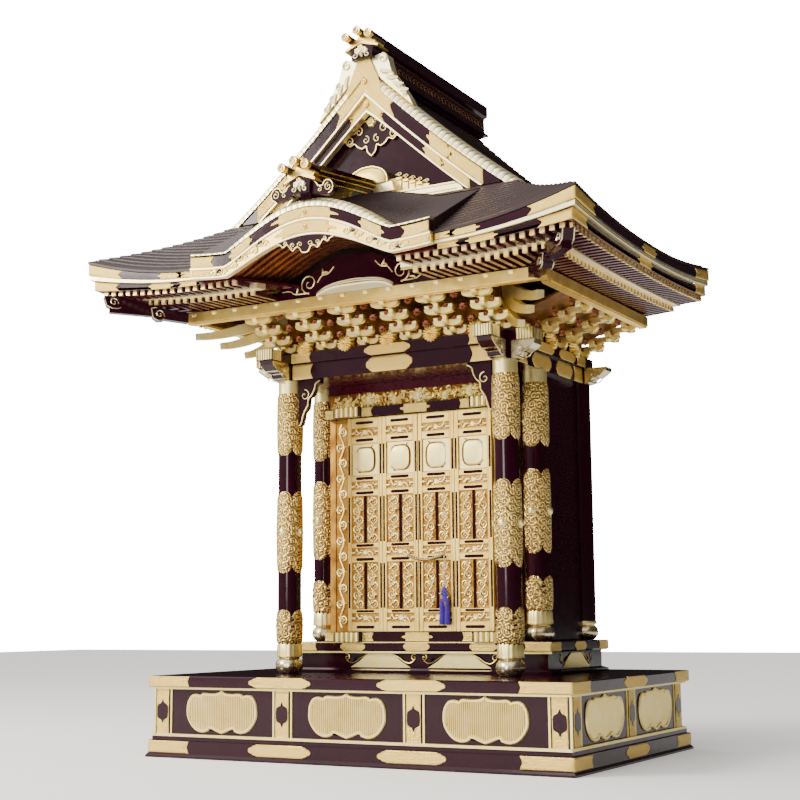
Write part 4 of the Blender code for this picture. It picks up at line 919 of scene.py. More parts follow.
work = bmesh.new()
block(work, (-STEP_X - 0.001, STEP_X + 0.001), (STEP_FRONT - 0.001, STEP_FRONT + 0.002),
      (high.z - 0.0022, high.z - 0.0002))
block(work, (-STEP_X, STEP_X), (STEP_FRONT + 0.002, STEP_FRONT + 0.006), (low.z - 0.003, low.z + 0.001))
ARCH_HALF = 0.078
ARCH_FOOT = apron_low.z + 0.011
ARCH_RISE = 0.031
ARCH = [(ARCH_HALF, 0), (ARCH_HALF * 0.7, 0.42), (ARCH_HALF * 0.48, 0.86), (ARCH_HALF * 0.4, 1), (0, 1)]
arches = [(front_face(APRON_FACE), s) for s in (-0.1, 0.1)]
arches += [(side_face(hand * APRON_SIDE, hand), (STEP_FRONT + STEP_BACK) / 2) for hand in (-1, 1)]
wire = bmesh.new()
for place, s in arches:
    outline = [(s + a, ARCH_FOOT + b * ARCH_RISE) for a, b in ARCH]
    outline += [(s - a, ARCH_FOOT + b * ARCH_RISE) for a, b in ARCH[-2::-1]]
    prism(work, outline, place, -0.0035, 0.0008)
    for side in (-1, 1):
        slope = [place(s + side * a, ARCH_FOOT + b * ARCH_RISE, 0.0015)
                 for a, b in curve_through([(ARCH_HALF * 0.35, 1.04), (ARCH_HALF * 0.62, 0.72),
                                            (ARCH_HALF * 0.8, 0.42), (ARCH_HALF * 0.98, 0.32),
                                            (ARCH_HALF * 1.12, 0.5)], 4)]
        tube(wire, slope, 0.0011, 5)
        curl(wire, place, s + side * ARCH_HALF * 1.12, ARCH_FOOT + ARCH_RISE * 0.72, 0.0075,
             pi / 2 - side * 0.6, side, 0.0011, 1.2)
show("platform_arches", work, HIGHLIGHT_GOLD, "gold")
show("platform_scrolls", wire, GOLD, "gold")

# %% [markdown]
# A column is turned: a melon-shaped ball, a fluted collar, then a lacquered shaft in three embossed gilt
# sleeves whose ends are cut in four lobes, and a plain gold neck. A sleeve is a skin of points given by
# an angle and a height, so its ends can follow the lobes.

# %% Columns
SHAFT = 0.0262
SLEEVE = 0.0287
BALL = 0.0312
BALL_HEIGHT = 0.036
COLLAR_HEIGHT = 0.030
SLEEVE_LENGTHS = (0.075, 0.186, 0.145)
NECK_LENGTH = 0.027
LOBE = 0.020
COLUMN_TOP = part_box("column_front_right")[1].z
AROUND = 64


def turned(work, centre, profile, radius_at=None):
    """A turned skin; profile is (radius, height) from foot to top, and radius_at(turn) can flute it."""
    rings = []
    for radius, height in profile:
        ring = []
        for n in range(AROUND):
            turn = 2 * pi * n / AROUND
            reach = radius * (radius_at(turn) if radius_at else 1.0)
            ring.append((centre[0] + reach * cos(turn), centre[1] + reach * sin(turn), height))
        rings.append(ring)
    capped(work, rings)


def lobe_height(turn):
    """0 at the tip of a lobe and 1 in the notch between two."""
    share = abs(((turn / (pi / 2) + 0.5) % 1.0) - 0.5) * 2
    return 1 - max(0.0, 1 - share ** 2.2) ** 0.5


def sleeve(mesh_parts, centre, low, high, lobed_low, lobed_high):
    """An embossed sleeve with its own map round the column."""
    work = bmesh.new()
    flat = work.loops.layers.uv.new("Flat")
    rows = 16
    steps = AROUND * 2
    outer = []
    for k in range(rows + 1):
        ring = []
        for n in range(steps + 1):
            turn = 2 * pi * n / steps
            start = low + (LOBE * lobe_height(turn) if lobed_low else 0)
            end = high - (LOBE * lobe_height(turn) if lobed_high else 0)
            share = k / rows
            radius = SLEEVE + 0.0016 * sin(pi * share) ** 0.8
            if k in (0, rows):
                radius = SHAFT + 0.0002
            z = start + (end - start) * (0.004 + 0.992 * share)
            ring.append((centre[0] + radius * cos(turn), centre[1] + radius * sin(turn), z,
                         turn * SLEEVE, z))
        outer.append(ring)
    verts = [[work.verts.new(point[:3]) for point in ring] for ring in outer]
    for k in range(rows):
        for n in range(steps):
            corners = ((k, n), (k, n + 1), (k + 1, n + 1), (k + 1, n))
            face = work.faces.new([verts[a][b] for a, b in corners])
            for loop, (a, b) in zip(face.loops, corners):
                loop[flat].uv = outer[a][b][3:]
    mesh_parts.append(solid(work))


def round_face(centre, radius, start=0.0):
    """Places points on a column: s runs round it from the side that faces turn start."""
    def place(s, t, d):
        turn = start + s / radius
        return (centre[0] + (radius + d) * cos(turn), centre[1] + (radius + d) * sin(turn), t)
    return place


sleeves, shafts, balls, golds, gems = [], bmesh.new(), bmesh.new(), bmesh.new(), bmesh.new()
eyes = bmesh.new()
for place_name in ("front", "mid", "rear"):
    for side in ("left", "right"):
        centre = middle(f"column_{place_name}_{side}")
        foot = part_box(f"column_{place_name}_{side}")[0].z
        collar = foot + BALL_HEIGHT
        shaft = collar + COLLAR_HEIGHT
        melon = [(0.021, foot), (0.0255, foot + 0.004), (0.0305, foot + 0.011), (BALL, foot + 0.018),
                 (0.0295, foot + 0.026), (0.0245, foot + 0.0315), (0.0225, foot + 0.0335),
                 (0.0245, collar)]
        turned(balls, centre, melon, lambda turn: 0.975 + 0.03 * abs(cos(turn * 4)) ** 0.5)
        flutes = [(0.0258, collar), (0.0292, collar + 0.002), (0.0285, collar + 0.010),
                  (0.0278, shaft - 0.004), (0.0262, shaft)]
        turned(shafts, centre, [(SHAFT, collar + 0.002), (SHAFT, COLUMN_TOP)])
        if place_name == "rear":
            turned(golds, centre, [(0.0268, collar - 0.002), (0.0275, collar + 0.004),
                                   (0.0265, collar + 0.006)])
            continue
        turned(golds, centre, flutes, lambda turn: 1 - 0.045 * (1 - abs(sin(turn * 8))))
        turned(golds, centre, [(0.0268, COLUMN_TOP - NECK_LENGTH - 0.003), (0.0268, COLUMN_TOP)])
        gap = (COLUMN_TOP - shaft - sum(SLEEVE_LENGTHS) - NECK_LENGTH) / 2
        low = shaft
        for k, length in enumerate(SLEEVE_LENGTHS):
            sleeve(sleeves, centre, low, low + length, k > 0, k < 2)
            if k == 1:
                for start in (-pi / 2, 0.0, pi, pi / 2):
                    place = round_face(centre, SLEEVE + 0.0012, start)
                    petal_ring(golds, place, 0, low + length / 2, 0.0115, 12, 0.0022)
                    rows = [[place(r * 0.0066 * cos(n * pi / 8),
                                   low + length / 2 + r * 0.0086 * sin(n * pi / 8),
                                   0.002 + 0.0035 * (1 - r ** 2) ** 0.5) for n in range(16)]
                            for r in (1.0, 0.85, 0.6, 0.3, 0.08)]
                    capped(gems, rows)
            if k == 0:
                for start in (-pi / 4, -3 * pi / 4, pi / 4, 3 * pi / 4):
                    place = round_face(centre, SLEEVE, start)
                    for z in (low + 0.038, low + 0.052):
                        for hand in (-1, 1):
                            curl(eyes, place, hand * 0.0036, z, 0.0024, pi / 2, hand, 0.0013, 0.9, 0.0014)
                        prism(eyes, [(0, z - 0.004), (0.0028, z + 0.001), (-0.0028, z + 0.001)], place, 0,
                              0.0016)
            low += length + gap
show("column_shafts", shafts, BLACK, "lacquer", stands_for=[
    f"column_{a}_{b}" for a in ("front", "mid", "rear") for b in ("left", "right")])
show("column_balls", balls, SILVERED, "pale_gold")
show("column_collars", golds, HIGHLIGHT_GOLD, "pale_gold", smooth=50)
show("column_sleeves", joined(sleeves), EMBOSSED, "pale_gold", smooth=60)
show("column_gems", gems, HIGHLIGHT_GOLD, "pale_gold")
show("column_eyes", eyes, BLACK, "lacquer")

# %% [markdown]
# Ties and plates cross over the columns and end in carved noses. Their crossings are covered by engraved
# plates, the plate ends by fluted caps, and a scroll is carved on each side of a nose.

# %% Fittings over the columns
tie_low, tie_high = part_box("tie_front")
cap_low, cap_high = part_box("plate_front")
COLUMN_X = middle("column_front_right").x
FRONT_LINE = middle("column_front_right").y
MID_LINE = middle("column_mid_right").y
REAR_LINE = middle("column_rear_right").y
TIE_Z = (tie_low.z, tie_high.z)
CAP_Z = (cap_low.z, cap_high.z)
TIE_HALF = 0.018
CAP_HALF = 0.0265
work = bmesh.new()
for z, half in ((TIE_Z, TIE_HALF), (CAP_Z, CAP_HALF)):
    face = front_face(FRONT_LINE - half)
    t, width = sum(z) / 2, z[1] - z[0] - 0.002
    plate(work, face, 0, t, mokko(0.118, width), steps=LOBED_STEPS)
    for hand in (-1, 1):
        plate(work, face, hand * (COLUMN_X - 0.046), t,
              tailed(0.056, width, left=hand > 0, right=hand < 0))
        side = side_face(hand * (COLUMN_X + half), hand)
        plate(work, side, FRONT_LINE + 0.05, t, tailed(0.05, width, left=False))
        plate(work, side, MID_LINE, t, mokko(0.1, width), steps=LOBED_STEPS)
        plate(work, side, (MID_LINE + REAR_LINE) / 2, t, mokko(0.09, width), steps=LOBED_STEPS)
        plate(work, side, REAR_LINE - 0.045, t, tailed(0.05, width, right=False))
show("beam_fittings", work, FITTING, "gold")

# %% Carved noses
NOSE_REACH = 0.080
FRONT_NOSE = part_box("tie_front")[0].y


def nose_outline(root, reach, low, high):
    """A nose from the side: a curled scroll under it, then rising to the tip."""
    depth = high - low
    shape = [(0.30, 0), (0.44, 0.06), (0.5, 0.26), (0.60, 0.40), (0.74, 0.42), (0.86, 0.62),
             (0.955, 0.76), (0.97, 1.0), (0.30, 1.0)]
    return [(root + reach * a, low + depth * b) for a, b in shape]


def carved_nose(work, place, root, reach, half):
    """A gilt nose over a timber end, with a volute carved on both cheeks."""
    outline = nose_outline(root, reach, TIE_Z[0] - 0.0002, TIE_Z[1])
    prism(work, outline, place, -half - 0.0005, half + 0.0005)
    for cheek in (-1, 1):
        at = cheek * (half + 0.0007)
        beside = lambda s, t, d, at=at: place(s, t, at)
        curl(work, beside, root + reach * 0.55, TIE_Z[0] + 0.0155, 0.0105, pi, 1 if reach > 0 else -1,
             0.0016, 1.4)
        edge = [beside(root + reach * a, TIE_Z[0] + b, 0)
                for a, b in curve_through([(0.42, 0.004), (0.56, 0.006), (0.70, 0.016), (0.84, 0.022),
                                           (0.93, 0.030)], 3)]
        tube(work, edge, 0.0012, 5)


noses = bmesh.new()
for hand in (-1, 1):
    for y in (FRONT_LINE, REAR_LINE):
        sideways = lambda s, t, d, y=y: (s, y + d, t)
        carved_nose(noses, sideways, hand * COLUMN_X, hand * NOSE_REACH, TIE_HALF)
    forwards = lambda s, t, d, x=hand * COLUMN_X: (x + d, s, t)
    carved_nose(noses, forwards, FRONT_LINE, FRONT_NOSE - FRONT_LINE, TIE_HALF * 0.9)
show("carved_noses", noses, SILVERED, "gold")

flute_rows = []
flute = bmesh.new()
bmesh.ops.create_cone(flute, cap_ends=True, segments=10, radius1=0.0036, radius2=0.0036,
                      depth=CAP_Z[1] - CAP_Z[0] - 0.001)
FLUTE = solid(flute)
z = sum(CAP_Z) / 2
cap_end = cap_high.x
front_cap = cap_low.y
for hand in (-1, 1):
    half = CAP_HALF - 0.002
    x0, x1 = hand * (cap_end - 0.036), hand * (cap_end - 0.0028)
    for y in (FRONT_LINE - half, FRONT_LINE + half):
        flute_rows.append(row([(x0, y, z), (x1, y, z)], FLUTE, 0.0062, HIGHLIGHT_GOLD))
    flute_rows.append(row([(x1, FRONT_LINE - half, z), (x1, FRONT_LINE + half, z)], FLUTE, 0.0062,
                          HIGHLIGHT_GOLD))
    half = CAP_HALF * 0.8 - 0.0022
    y0, y1 = front_cap + 0.036, front_cap + 0.0028
    for x in (hand * COLUMN_X - half, hand * COLUMN_X + half):
        flute_rows.append(row([(x, y0, z), (x, y1, z)], FLUTE, 0.0062, HIGHLIGHT_GOLD))
    flute_rows.append(row([(hand * COLUMN_X - half, y1, z), (hand * COLUMN_X + half, y1, z)], FLUTE,
                          0.0062, HIGHLIGHT_GOLD))
show("fluted_caps", joined(flute_rows), HIGHLIGHT_GOLD, "gold")

# %% Spandrel edges
work = bmesh.new()
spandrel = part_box("spandrel_right")
for hand in (-1, 1):
    face = front_face(spandrel[0].y)
    x0, top = spandrel[1].x, spandrel[1].z
    width, height = spandrel[1].x - spandrel[0].x, spandrel[1].z - spandrel[0].z
    wave = curve_through([(0.0, 1.0), (0.1, 0.97), (0.22, 0.76), (0.34, 0.64), (0.43, 0.56), (0.47, 0.42),
                          (0.62, 0.34), (0.75, 0.2), (0.80, 0.1), (1.0, 0.03)], 4)
    tube(work, [face(hand * (x0 - width * a), top - height * b, 0.0008) for a, b in wave], 0.0016, 5)
    curl(work, face, hand * (x0 - width * 0.28), top - height * 0.33, 0.012, pi / 2, hand, 0.0015, 1.1)
show("spandrel_edges", work, HIGHLIGHT_GOLD, "gold")

# %% [markdown]
# A cord with a purple tassel hangs from the lock. Its route is fixed first, because it is a free length
# of silk: it drops from the lock's end with a slight wave, 2.6 mm thick, runs through the tassel's head
# and ends in the knot under its waist.

# %% Cord and tassel
CORD_TOP, CORD_END = 0.4285, 0.333
CORD_X, CORD_WAVE = 0.069, 0.0012
CORD_DIAMETER = 0.0026
CORD_Y = middle("lock_cord").y
cord_path = []
for k in range(25):
    share = k / 24
    cord_path.append((CORD_X + CORD_WAVE * sin(2 * pi * share), CORD_Y,
                      CORD_TOP + (CORD_END - CORD_TOP) * share))
cord_length = sum((Vector(a) - Vector(b)).length for a, b in zip(cord_path, cord_path[1:]))
print("cord length", round(cord_length, 4))


def mapped_tube(points, radius, sides=10):
    """A capped tube whose map gives the turn and the length in metres."""
    work = bmesh.new()
    flat = work.loops.layers.uv.new("Flat")
    rows = []
    for point in points:
        rows.append([work.verts.new((point[0] + radius * cos(2 * pi * n / sides),
                                     point[1] + radius * sin(2 * pi * n / sides), point[2]))
                     for n in range(sides)])
    for k in range(len(rows) - 1):
        for n in range(sides):
            m = (n + 1) % sides
            face = work.faces.new((rows[k][n], rows[k + 1][n], rows[k + 1][m], rows[k][m]))
            along = (points[k][2], points[k + 1][2], points[k + 1][2], points[k][2])
            for loop, z, turn in zip(face.loops, along, (n, n, n + 1, n + 1)):
                loop[flat].uv = (turn / sides * 2 * pi * radius + z * 0.7, z)
    work.faces.new(rows[0])
    work.faces.new(rows[-1])
    bmesh.ops.recalc_face_normals(work, faces=work.faces)
    return to_mesh(work)


cord = show("lock_string", mapped_tube(cord_path, CORD_DIAMETER / 2), PINK_SILK, "pink_cord",
            "right_inner_leaf", ["lock_cord"])

tassel_low, tassel_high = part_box("lock_tassel")
tassel_x, tassel_y = middle("lock_tassel").x, middle("lock_tassel").y
TASSEL_HEIGHT = tassel_high.z - tassel_low.z
work = bmesh.new()


def strands(work, x, profile, radius, squeeze, threads, wave=0.05):
    """A bundle of floss: a turned skin whose radius ripples with the threads."""
    around = threads * 4
    rings = []
    for height, share in profile:
        rings.append([(x + radius * share * (1 - wave * abs(sin(threads * pi * n / around)))
                       * cos(2 * pi * n / around),
                       tassel_y + squeeze * radius * share
                       * (1 - wave * abs(sin(threads * pi * n / around))) * sin(2 * pi * n / around),
                       tassel_low.z + TASSEL_HEIGHT * height) for n in range(around)])
    capped(work, rings)


for side in (-1, 1):
    strands(work, tassel_x + side * 0.0067,
            [(0.0, 0.93), (0.03, 1.0), (0.3, 0.92), (0.5, 0.78), (0.62, 0.62), (0.68, 0.5)], 0.0066, 0.92,
            16, 0.16)
strands(work, tassel_x, [(0.60, 0.62), (0.64, 0.72), (0.68, 0.55), (0.72, 0.5), (0.76, 0.62)], 0.0115,
        0.5, 14, 0.1)
for start, size in ((-2.4, 0.0062), (-0.74, 0.0062), (pi / 2, 0.0056)):
    centre = (tassel_x + 0.0046 * cos(start), tassel_low.z + TASSEL_HEIGHT * 0.86 + 0.0046 * sin(start))
    loop = [(centre[0] + size * 0.62 * cos(2 * pi * k / 16), tassel_y - 0.0012,
             centre[1] + size * 0.62 * sin(2 * pi * k / 16)) for k in range(17)]
    tube(work, loop, 0.0021, 8)
strands(work, tassel_x, [(0.78, 0.3), (0.82, 0.75), (0.88, 0.8), (0.95, 0.55), (1.0, 0.3)], 0.0075, 0.62,
        10, 0.08)
tassel = show("lock_floss", work, PURPLE_SILK, "purple_silk", "right_inner_leaf", ["lock_tassel"], 60)
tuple(cord_path[0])

# %% [markdown]
# The lock is a sagging gilt bar across the middle stiles, made in two halves so that the doors can part.
# Each half swells to the middle and ends in an engraved collar.

# %% Lock
LOCK_X = (-0.026, 0.070)
LOCK_TOP_Z = 0.434
LOCK_SAG = 0.012
LOCK_RADIUS = 0.0034


def lock_height(x):
    centre, reach = sum(LOCK_X) / 2, (LOCK_X[1] - LOCK_X[0]) / 2
    return LOCK_TOP_Z - LOCK_SAG * (1 - ((x - centre) / reach) ** 2)


for name, span, body in (("left", (LOCK_X[0], -0.00075), "left_inner_leaf"),
                         ("right", (0.00075, LOCK_X[1]), "right_inner_leaf")):
    work = bmesh.new()
    places = [span[0] + (span[1] - span[0]) * k / 14 for k in range(15)]
    tube(work, [(x, CORD_Y, lock_height(x)) for x in places], LOCK_RADIUS, 10,
         lambda share: 1.0 - 0.25 * abs(2 * share - 1) ** 6)
    for x in (places[2], places[12]):
        tube(work, [(x - 0.0018, CORD_Y, lock_height(x)), (x - 0.0012, CORD_Y, lock_height(x)),
                    (x + 0.0012, CORD_Y, lock_height(x)), (x + 0.0018, CORD_Y, lock_height(x))],
             LOCK_RADIUS * 1.02, 10, lambda share: 1.0 if 0.2 < share < 0.8 else 0.85)
    foot = (span[0] + span[1]) / 2
    block(work, (foot - 0.005, foot + 0.005), (CORD_Y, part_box("leaf_inner_right")[0].y - 0.0003),
          (lock_height(foot) - 0.0026, lock_height(foot) + 0.0026))
    show(f"lock_bar_{name}", work, SILVERED, "gold", body, [f"lock_{name}"])

# %% [markdown]
# A leaf is a frame of gilt stiles and rails with black inlays, round panels of carved arabesque, and one
# bright cartouche near the top. Relief stays behind the leaf's face, so that the leaves can still fold.

# %% Leaves
leaf_low, leaf_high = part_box("leaf_inner_right")
LEAF_FRONT, LEAF_BACK = leaf_low.y, leaf_high.y
LEAF_Z = (leaf_low.z, leaf_high.z)
LEAF_ROWS = ((0.710, 0.730, 1), (0.619, 0.693, 0), (0.586, 0.606, 1), (0.464, 0.572, 2),
             (0.4335, 0.453, 1), (0.314, 0.420, 2), (0.284, 0.305, 1))
STILE, MUNTIN = 0.011, 0.006
GROUND = -0.0036
RAIL_HEIGHT = -0.0006


def raised(work, place, s, t, low, high, bevel=0.0006):
    """A rectangular bar on a surface with its upper edges taken off."""
    def ring(inset, d):
        return [place(a, b, d) for a, b in ((s[0] + inset, t[0] + inset), (s[1] - inset, t[0] + inset),
                                            (s[1] - inset, t[1] - inset), (s[0] + inset, t[1] - inset))]
    capped(work, [ring(0, low), ring(0, high - bevel), ring(bevel, high)])


def dash(work, place, s, t, length, width, low, high):
    """A black inlay with rounded ends."""
    a, b = length / 2, width / 2
    points = [(s + x * a - (b if x > 0 else -b) * c, t + y * b) for x, y, c in
              ((1, -1, 1), (1, 0, 0), (1, 1, 1), (-1, 1, 1), (-1, 0, 0), (-1, -1, 1))]
    prism(work, points, place, low, high)


def vine(work, place, s, t, width, height, bead, curls, level):
    """A climbing arabesque: a waving stem with a curl and leaves in every bend."""
    reach = width * 0.2
    stem = [place(s + reach * sin(pi * curls * k / 40), t + height * (k / 40 - 0.5) * 0.96, level)
            for k in range(41)]
    tube(work, stem, bead * 0.8, 5)
    step = height * 0.96 / curls
    for k in range(curls):
        hand = 1 if k % 2 else -1
        z = t - height * 0.48 + step * (k + 0.5)
        curl(work, place, s + hand * width * 0.13, z, min(width * 0.3, step * 0.42), -pi / 2, hand, bead,
             1.35, level)
        for turn, length in ((0.5, 0.34), (2.3, 0.3), (-0.9, 0.26)):
            frond(work, place, s - hand * width * 0.12, z, width * length, width * 0.15,
                  turn if hand < 0 else pi - turn, bead * 1.4)


def scroll_strip(work, place, s, t, width, height, bead, level):
    """A low strip of relief: a middle flower between running scrolls."""
    petal_ring(work, place, s, t, height * 0.36, 6, bead * 1.2, level)
    for hand in (-1, 1):
        for k, reach in enumerate((0.16, 0.30)):
            curl(work, place, s + hand * width * reach, t, height * 0.32, pi / 2 * (1 if k else -1),
                 -hand, bead, 1.2, level)
        for k in range(3):
            frond(work, place, s + hand * width * (0.10 + 0.13 * k), t, height * 0.62, height * 0.24,
                  (0.5 if k % 2 else -0.5) + (pi if hand < 0 else 0), bead * 1.3)


def rounded_square(s, t, half_s, half_t, count=32, bend=3.4):
    points = []
    for k in range(count):
        turn = 2 * pi * k / count
        a, b = cos(turn), sin(turn)
        reach = (abs(a) ** bend + abs(b) ** bend) ** (-1 / bend)
        points.append((s + half_s * reach * a, t + half_t * reach * b))
    return points


def cartouche(plain, wires, place, s, t, width, height):
    """A bright swelling field inside an engraved cloud line."""
    rings = []
    for size, level in ((1.0, GROUND), (0.96, GROUND + 0.0016), (0.75, GROUND + 0.0026),
                        (0.4, GROUND + 0.0031), (0.05, GROUND + 0.0032)):
        rings.append([place(a, b, level) for a, b in rounded_square(s, t, width * 0.34 * size,
                                                                    height * 0.36 * size)])
    capped(plain, rings)
    line = rounded_square(s, t, width * 0.365, height * 0.385)
    tube(wires, [place(a, b, GROUND + 0.0012) for a, b in line[3:30]], 0.0013, 5,
         lambda share: 0.5 + sin(pi * share))
    for k, turn in ((5, 2.6), (15, 0.4), (26, -0.5), (11, 1.8)):
        a, b = line[k]
        frond(wires, lambda x, z, d: place(x, z, d + GROUND + 0.0006), a, b, width * 0.13, width * 0.04,
              turn, 0.001)


def leaf(span):
    """Meshes of one leaf: its frame, inlays, grounds, reliefs and bright fields."""
    low, high = span
    face = front_face(LEAF_FRONT)
    frame, inlay, ground, relief, plain, outline = [bmesh.new() for _ in range(6)]
    block(frame, span, (LEAF_FRONT - GROUND + 0.0004, LEAF_BACK), LEAF_Z)
    for edge in ((low, low + STILE), (high - STILE, high)):
        raised(frame, face, edge, LEAF_Z, GROUND - 0.001, RAIL_HEIGHT)
        raised(frame, face, (edge[0] + STILE * 0.62, edge[1] - 0.0004) if edge[0] == low else
               (edge[0] + 0.0004, edge[0] + STILE * 0.38), LEAF_Z, GROUND, RAIL_HEIGHT + 0.0006)
    inner = (low + STILE, high - STILE)
    width, centre = inner[1] - inner[0], (low + high) / 2
    edges = [LEAF_Z[1]] + [z for bottom, top, kind in LEAF_ROWS for z in (top, bottom)] + [LEAF_Z[0]]
    for top, bottom in zip(edges[::2], edges[1::2]):
        raised(frame, face, inner, (bottom, top), GROUND - 0.001, RAIL_HEIGHT)
        dash(inlay, face, centre, (top + bottom) / 2, width * 0.7, min(0.0066, (top - bottom) * 0.55),
             RAIL_HEIGHT - 0.0008, RAIL_HEIGHT + 0.0005)
    for bottom, top, kind in LEAF_ROWS:
        middle_z, tall = (bottom + top) / 2, top - bottom
        raised(ground, face, inner, (bottom, top), GROUND - 0.0008, GROUND, 0.0002)
        if kind == 0:
            raised(plain, face, (inner[0] + 0.001, inner[1] - 0.001), (bottom + 0.001, top - 0.001),
                   GROUND - 0.0004, GROUND + 0.0003, 0.0002)
            cartouche(plain, outline, face, centre, middle_z, width, tall)
        elif kind == 1:
            raised(frame, face, (inner[0], inner[1]), (bottom, bottom + 0.0014), GROUND,
                   RAIL_HEIGHT - 0.0008, 0.0003)
            scroll_strip(relief, face, centre, middle_z, width, tall, 0.0011, GROUND + 0.0008)
        else:
            raised(inlay, face, (centre - MUNTIN / 2, centre + MUNTIN / 2), (bottom, top), GROUND,
                   RAIL_HEIGHT + 0.0003)
            each = (width - MUNTIN) / 2
            for hand in (-1, 1):
                vine(relief, face, centre + hand * (MUNTIN + each) / 2, middle_z, each, tall, 0.0015, 5,
                     GROUND + 0.0009)
        if kind != 1:
            for edge in (low + STILE * 0.36, high - STILE * 0.36):
                raised(inlay, face, (edge - STILE * 0.24, edge + STILE * 0.24),
                       (bottom + 0.002, top - 0.002), RAIL_HEIGHT - 0.0008, RAIL_HEIGHT + 0.0004)
    return [solid(work) for work in (frame, inlay, ground, relief, plain, outline)]


def mirror(mesh):
    """The same piece on the other side of the middle, facing out."""
    work = bmesh.new()
    work.from_mesh(mesh)
    bmesh.ops.scale(work, vec=(-1, 1, 1), verts=work.verts)
    bmesh.ops.recalc_face_normals(work, faces=work.faces)
    return to_mesh(work)


# The leaf's grounds and its cartouche's outline are painted shade; its relief and field are painted
# highlight.
LEAF_PARTS = (("frame", GOLD, "gold"), ("inlay", BLACK, "lacquer"), ("ground", SHADE_GOLD, "gold"),
              ("relief", HIGHLIGHT_GOLD, "gold"), ("field", HIGHLIGHT_GOLD, "gold"),
              ("outline", DEEP_SHADE_GOLD, "gold"))
for part in ("outer", "inner"):
    low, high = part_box(f"leaf_{part}_right")
    meshes = leaf((low.x, high.x))
    for (name, finish, slot), mesh in zip(LEAF_PARTS, meshes):
        for side, shape in (("right", mesh), ("left", mirror(mesh))):
            show(f"leaf_{part}_{side}_{name}", shape, finish, slot, f"{side}_{part}_leaf",
                 [f"leaf_{part}_{side}"] if name == "frame" else ())

# %% [markdown]
# Round the door stand jamb strips with a climbing vine, and above it a dense transom of peonies and
# leaves. The leaves are scattered from a fixed seed, biggest near the flowers, as a carver fills a
# ground.

# %% Jambs, transom and pivot blocks
jamb_low, jamb_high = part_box("jamb_right")
JAMB_FACE = jamb_low.y
frame_work, relief_work = bmesh.new(), bmesh.new()
face = front_face(JAMB_FACE)
block(frame_work, (jamb_low.x, jamb_high.x), (JAMB_FACE, jamb_high.y), (jamb_low.z, jamb_high.z))
strip = (jamb_low.x + 0.004, jamb_high.x - 0.015)
for edge in strip:
    raised(frame_work, face, (edge - 0.0016, edge + 0.0016), (jamb_low.z, jamb_high.z), -0.0005, 0.0022)
vine(relief_work, face, sum(strip) / 2, middle("jamb_right").z, strip[1] - strip[0] - 0.004,
     jamb_high.z - jamb_low.z, 0.0026, 13, 0.0012)
# The jamb's ground is painted shade and its vine painted highlight.
for name, work, finish in (("frame", frame_work, SHADE_GOLD), ("vine", relief_work, HIGHLIGHT_GOLD)):
    mesh = solid(work)
    show(f"jamb_{name}_right", mesh, finish, "gold", stands_for=["jamb_right"] if name == "frame" else ())
    show(f"jamb_{name}_left", mirror(mesh), finish, "gold",
         stands_for=["jamb_left"] if name == "frame" else ())

transom_low, transom_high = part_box("transom")
TRANSOM_FACE = JAMB_FACE
TRANSOM_Z = (transom_low.z, transom_high.z)
work = bmesh.new()
block(work, (transom_low.x, transom_high.x), (TRANSOM_FACE, transom_high.y), TRANSOM_Z)
# The transom's ground behind the carving is painted deep shade.
show("transom_board", work, DEEP_SHADE_GOLD, "gold", stands_for=["transom"])
chance = random.Random(7)
blooms, leaves, scrolls = bmesh.new(), bmesh.new(), bmesh.new()
face = front_face(TRANSOM_FACE)
back_low, back_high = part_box("cell_back")
work = bmesh.new()
block(work, (back_low.x, back_high.x), (back_high.y + 0.0001, back_high.y + 0.0020),
      (back_low.z, back_high.z))
show("cell_back_board", work, BLACK, "lacquer")
LINTEL_FOOT = TRANSOM_Z[1] - 0.0195
TRANSOM_MID = (TRANSOM_Z[0] + LINTEL_FOOT) / 2
work = bmesh.new()
block(work, (transom_low.x, transom_high.x), (TRANSOM_FACE - 0.006, TRANSOM_FACE - 0.0001),
      (LINTEL_FOOT, TRANSOM_Z[1]))
show("lintel", work, WINE, "vermilion")
FLOWERS = ((0.0, 0.001, 0.019), (-0.13, 0.002, 0.015), (0.13, 0.001, 0.015), (-0.065, -0.004, 0.011),
           (0.067, -0.005, 0.011), (-0.19, -0.003, 0.011), (0.19, -0.003, 0.011))
for s, t, size in FLOWERS:
    peony(blooms, face, s, TRANSOM_MID + t, size, 0.0095 if size > 0.02 else 0.0075)
    for k in range(9):
        turn = 2 * pi * k / 9 + chance.uniform(-0.25, 0.25)
        frond(leaves, lambda a, b, d: face(a, b, d + 0.0014), s + size * 0.75 * cos(turn),
              TRANSOM_MID + t + size * 0.6 * sin(turn), size * chance.uniform(0.75, 1.15), size * 0.5,
              turn, 0.0042)
for k in range(96):
    s = -0.230 + 0.460 * (k + 0.5) / 96
    t = TRANSOM_MID + chance.uniform(-0.013, 0.013)
    curl(scrolls, face, s, t, chance.uniform(0.0045, 0.008), chance.uniform(0, 2 * pi),
         chance.choice((-1, 1)), 0.0017, 1.1, 0.0016)
    frond(leaves, face, s, TRANSOM_MID + chance.uniform(-0.011, 0.009), chance.uniform(0.010, 0.016),
          0.0070, chance.uniform(0, 2 * pi), 0.0048)
show("transom_flowers", blooms, HIGHLIGHT_GOLD, "gold")
show("transom_leaves", leaves, HIGHLIGHT_GOLD, "gold")
show("transom_scrolls", scrolls, GOLD, "gold")

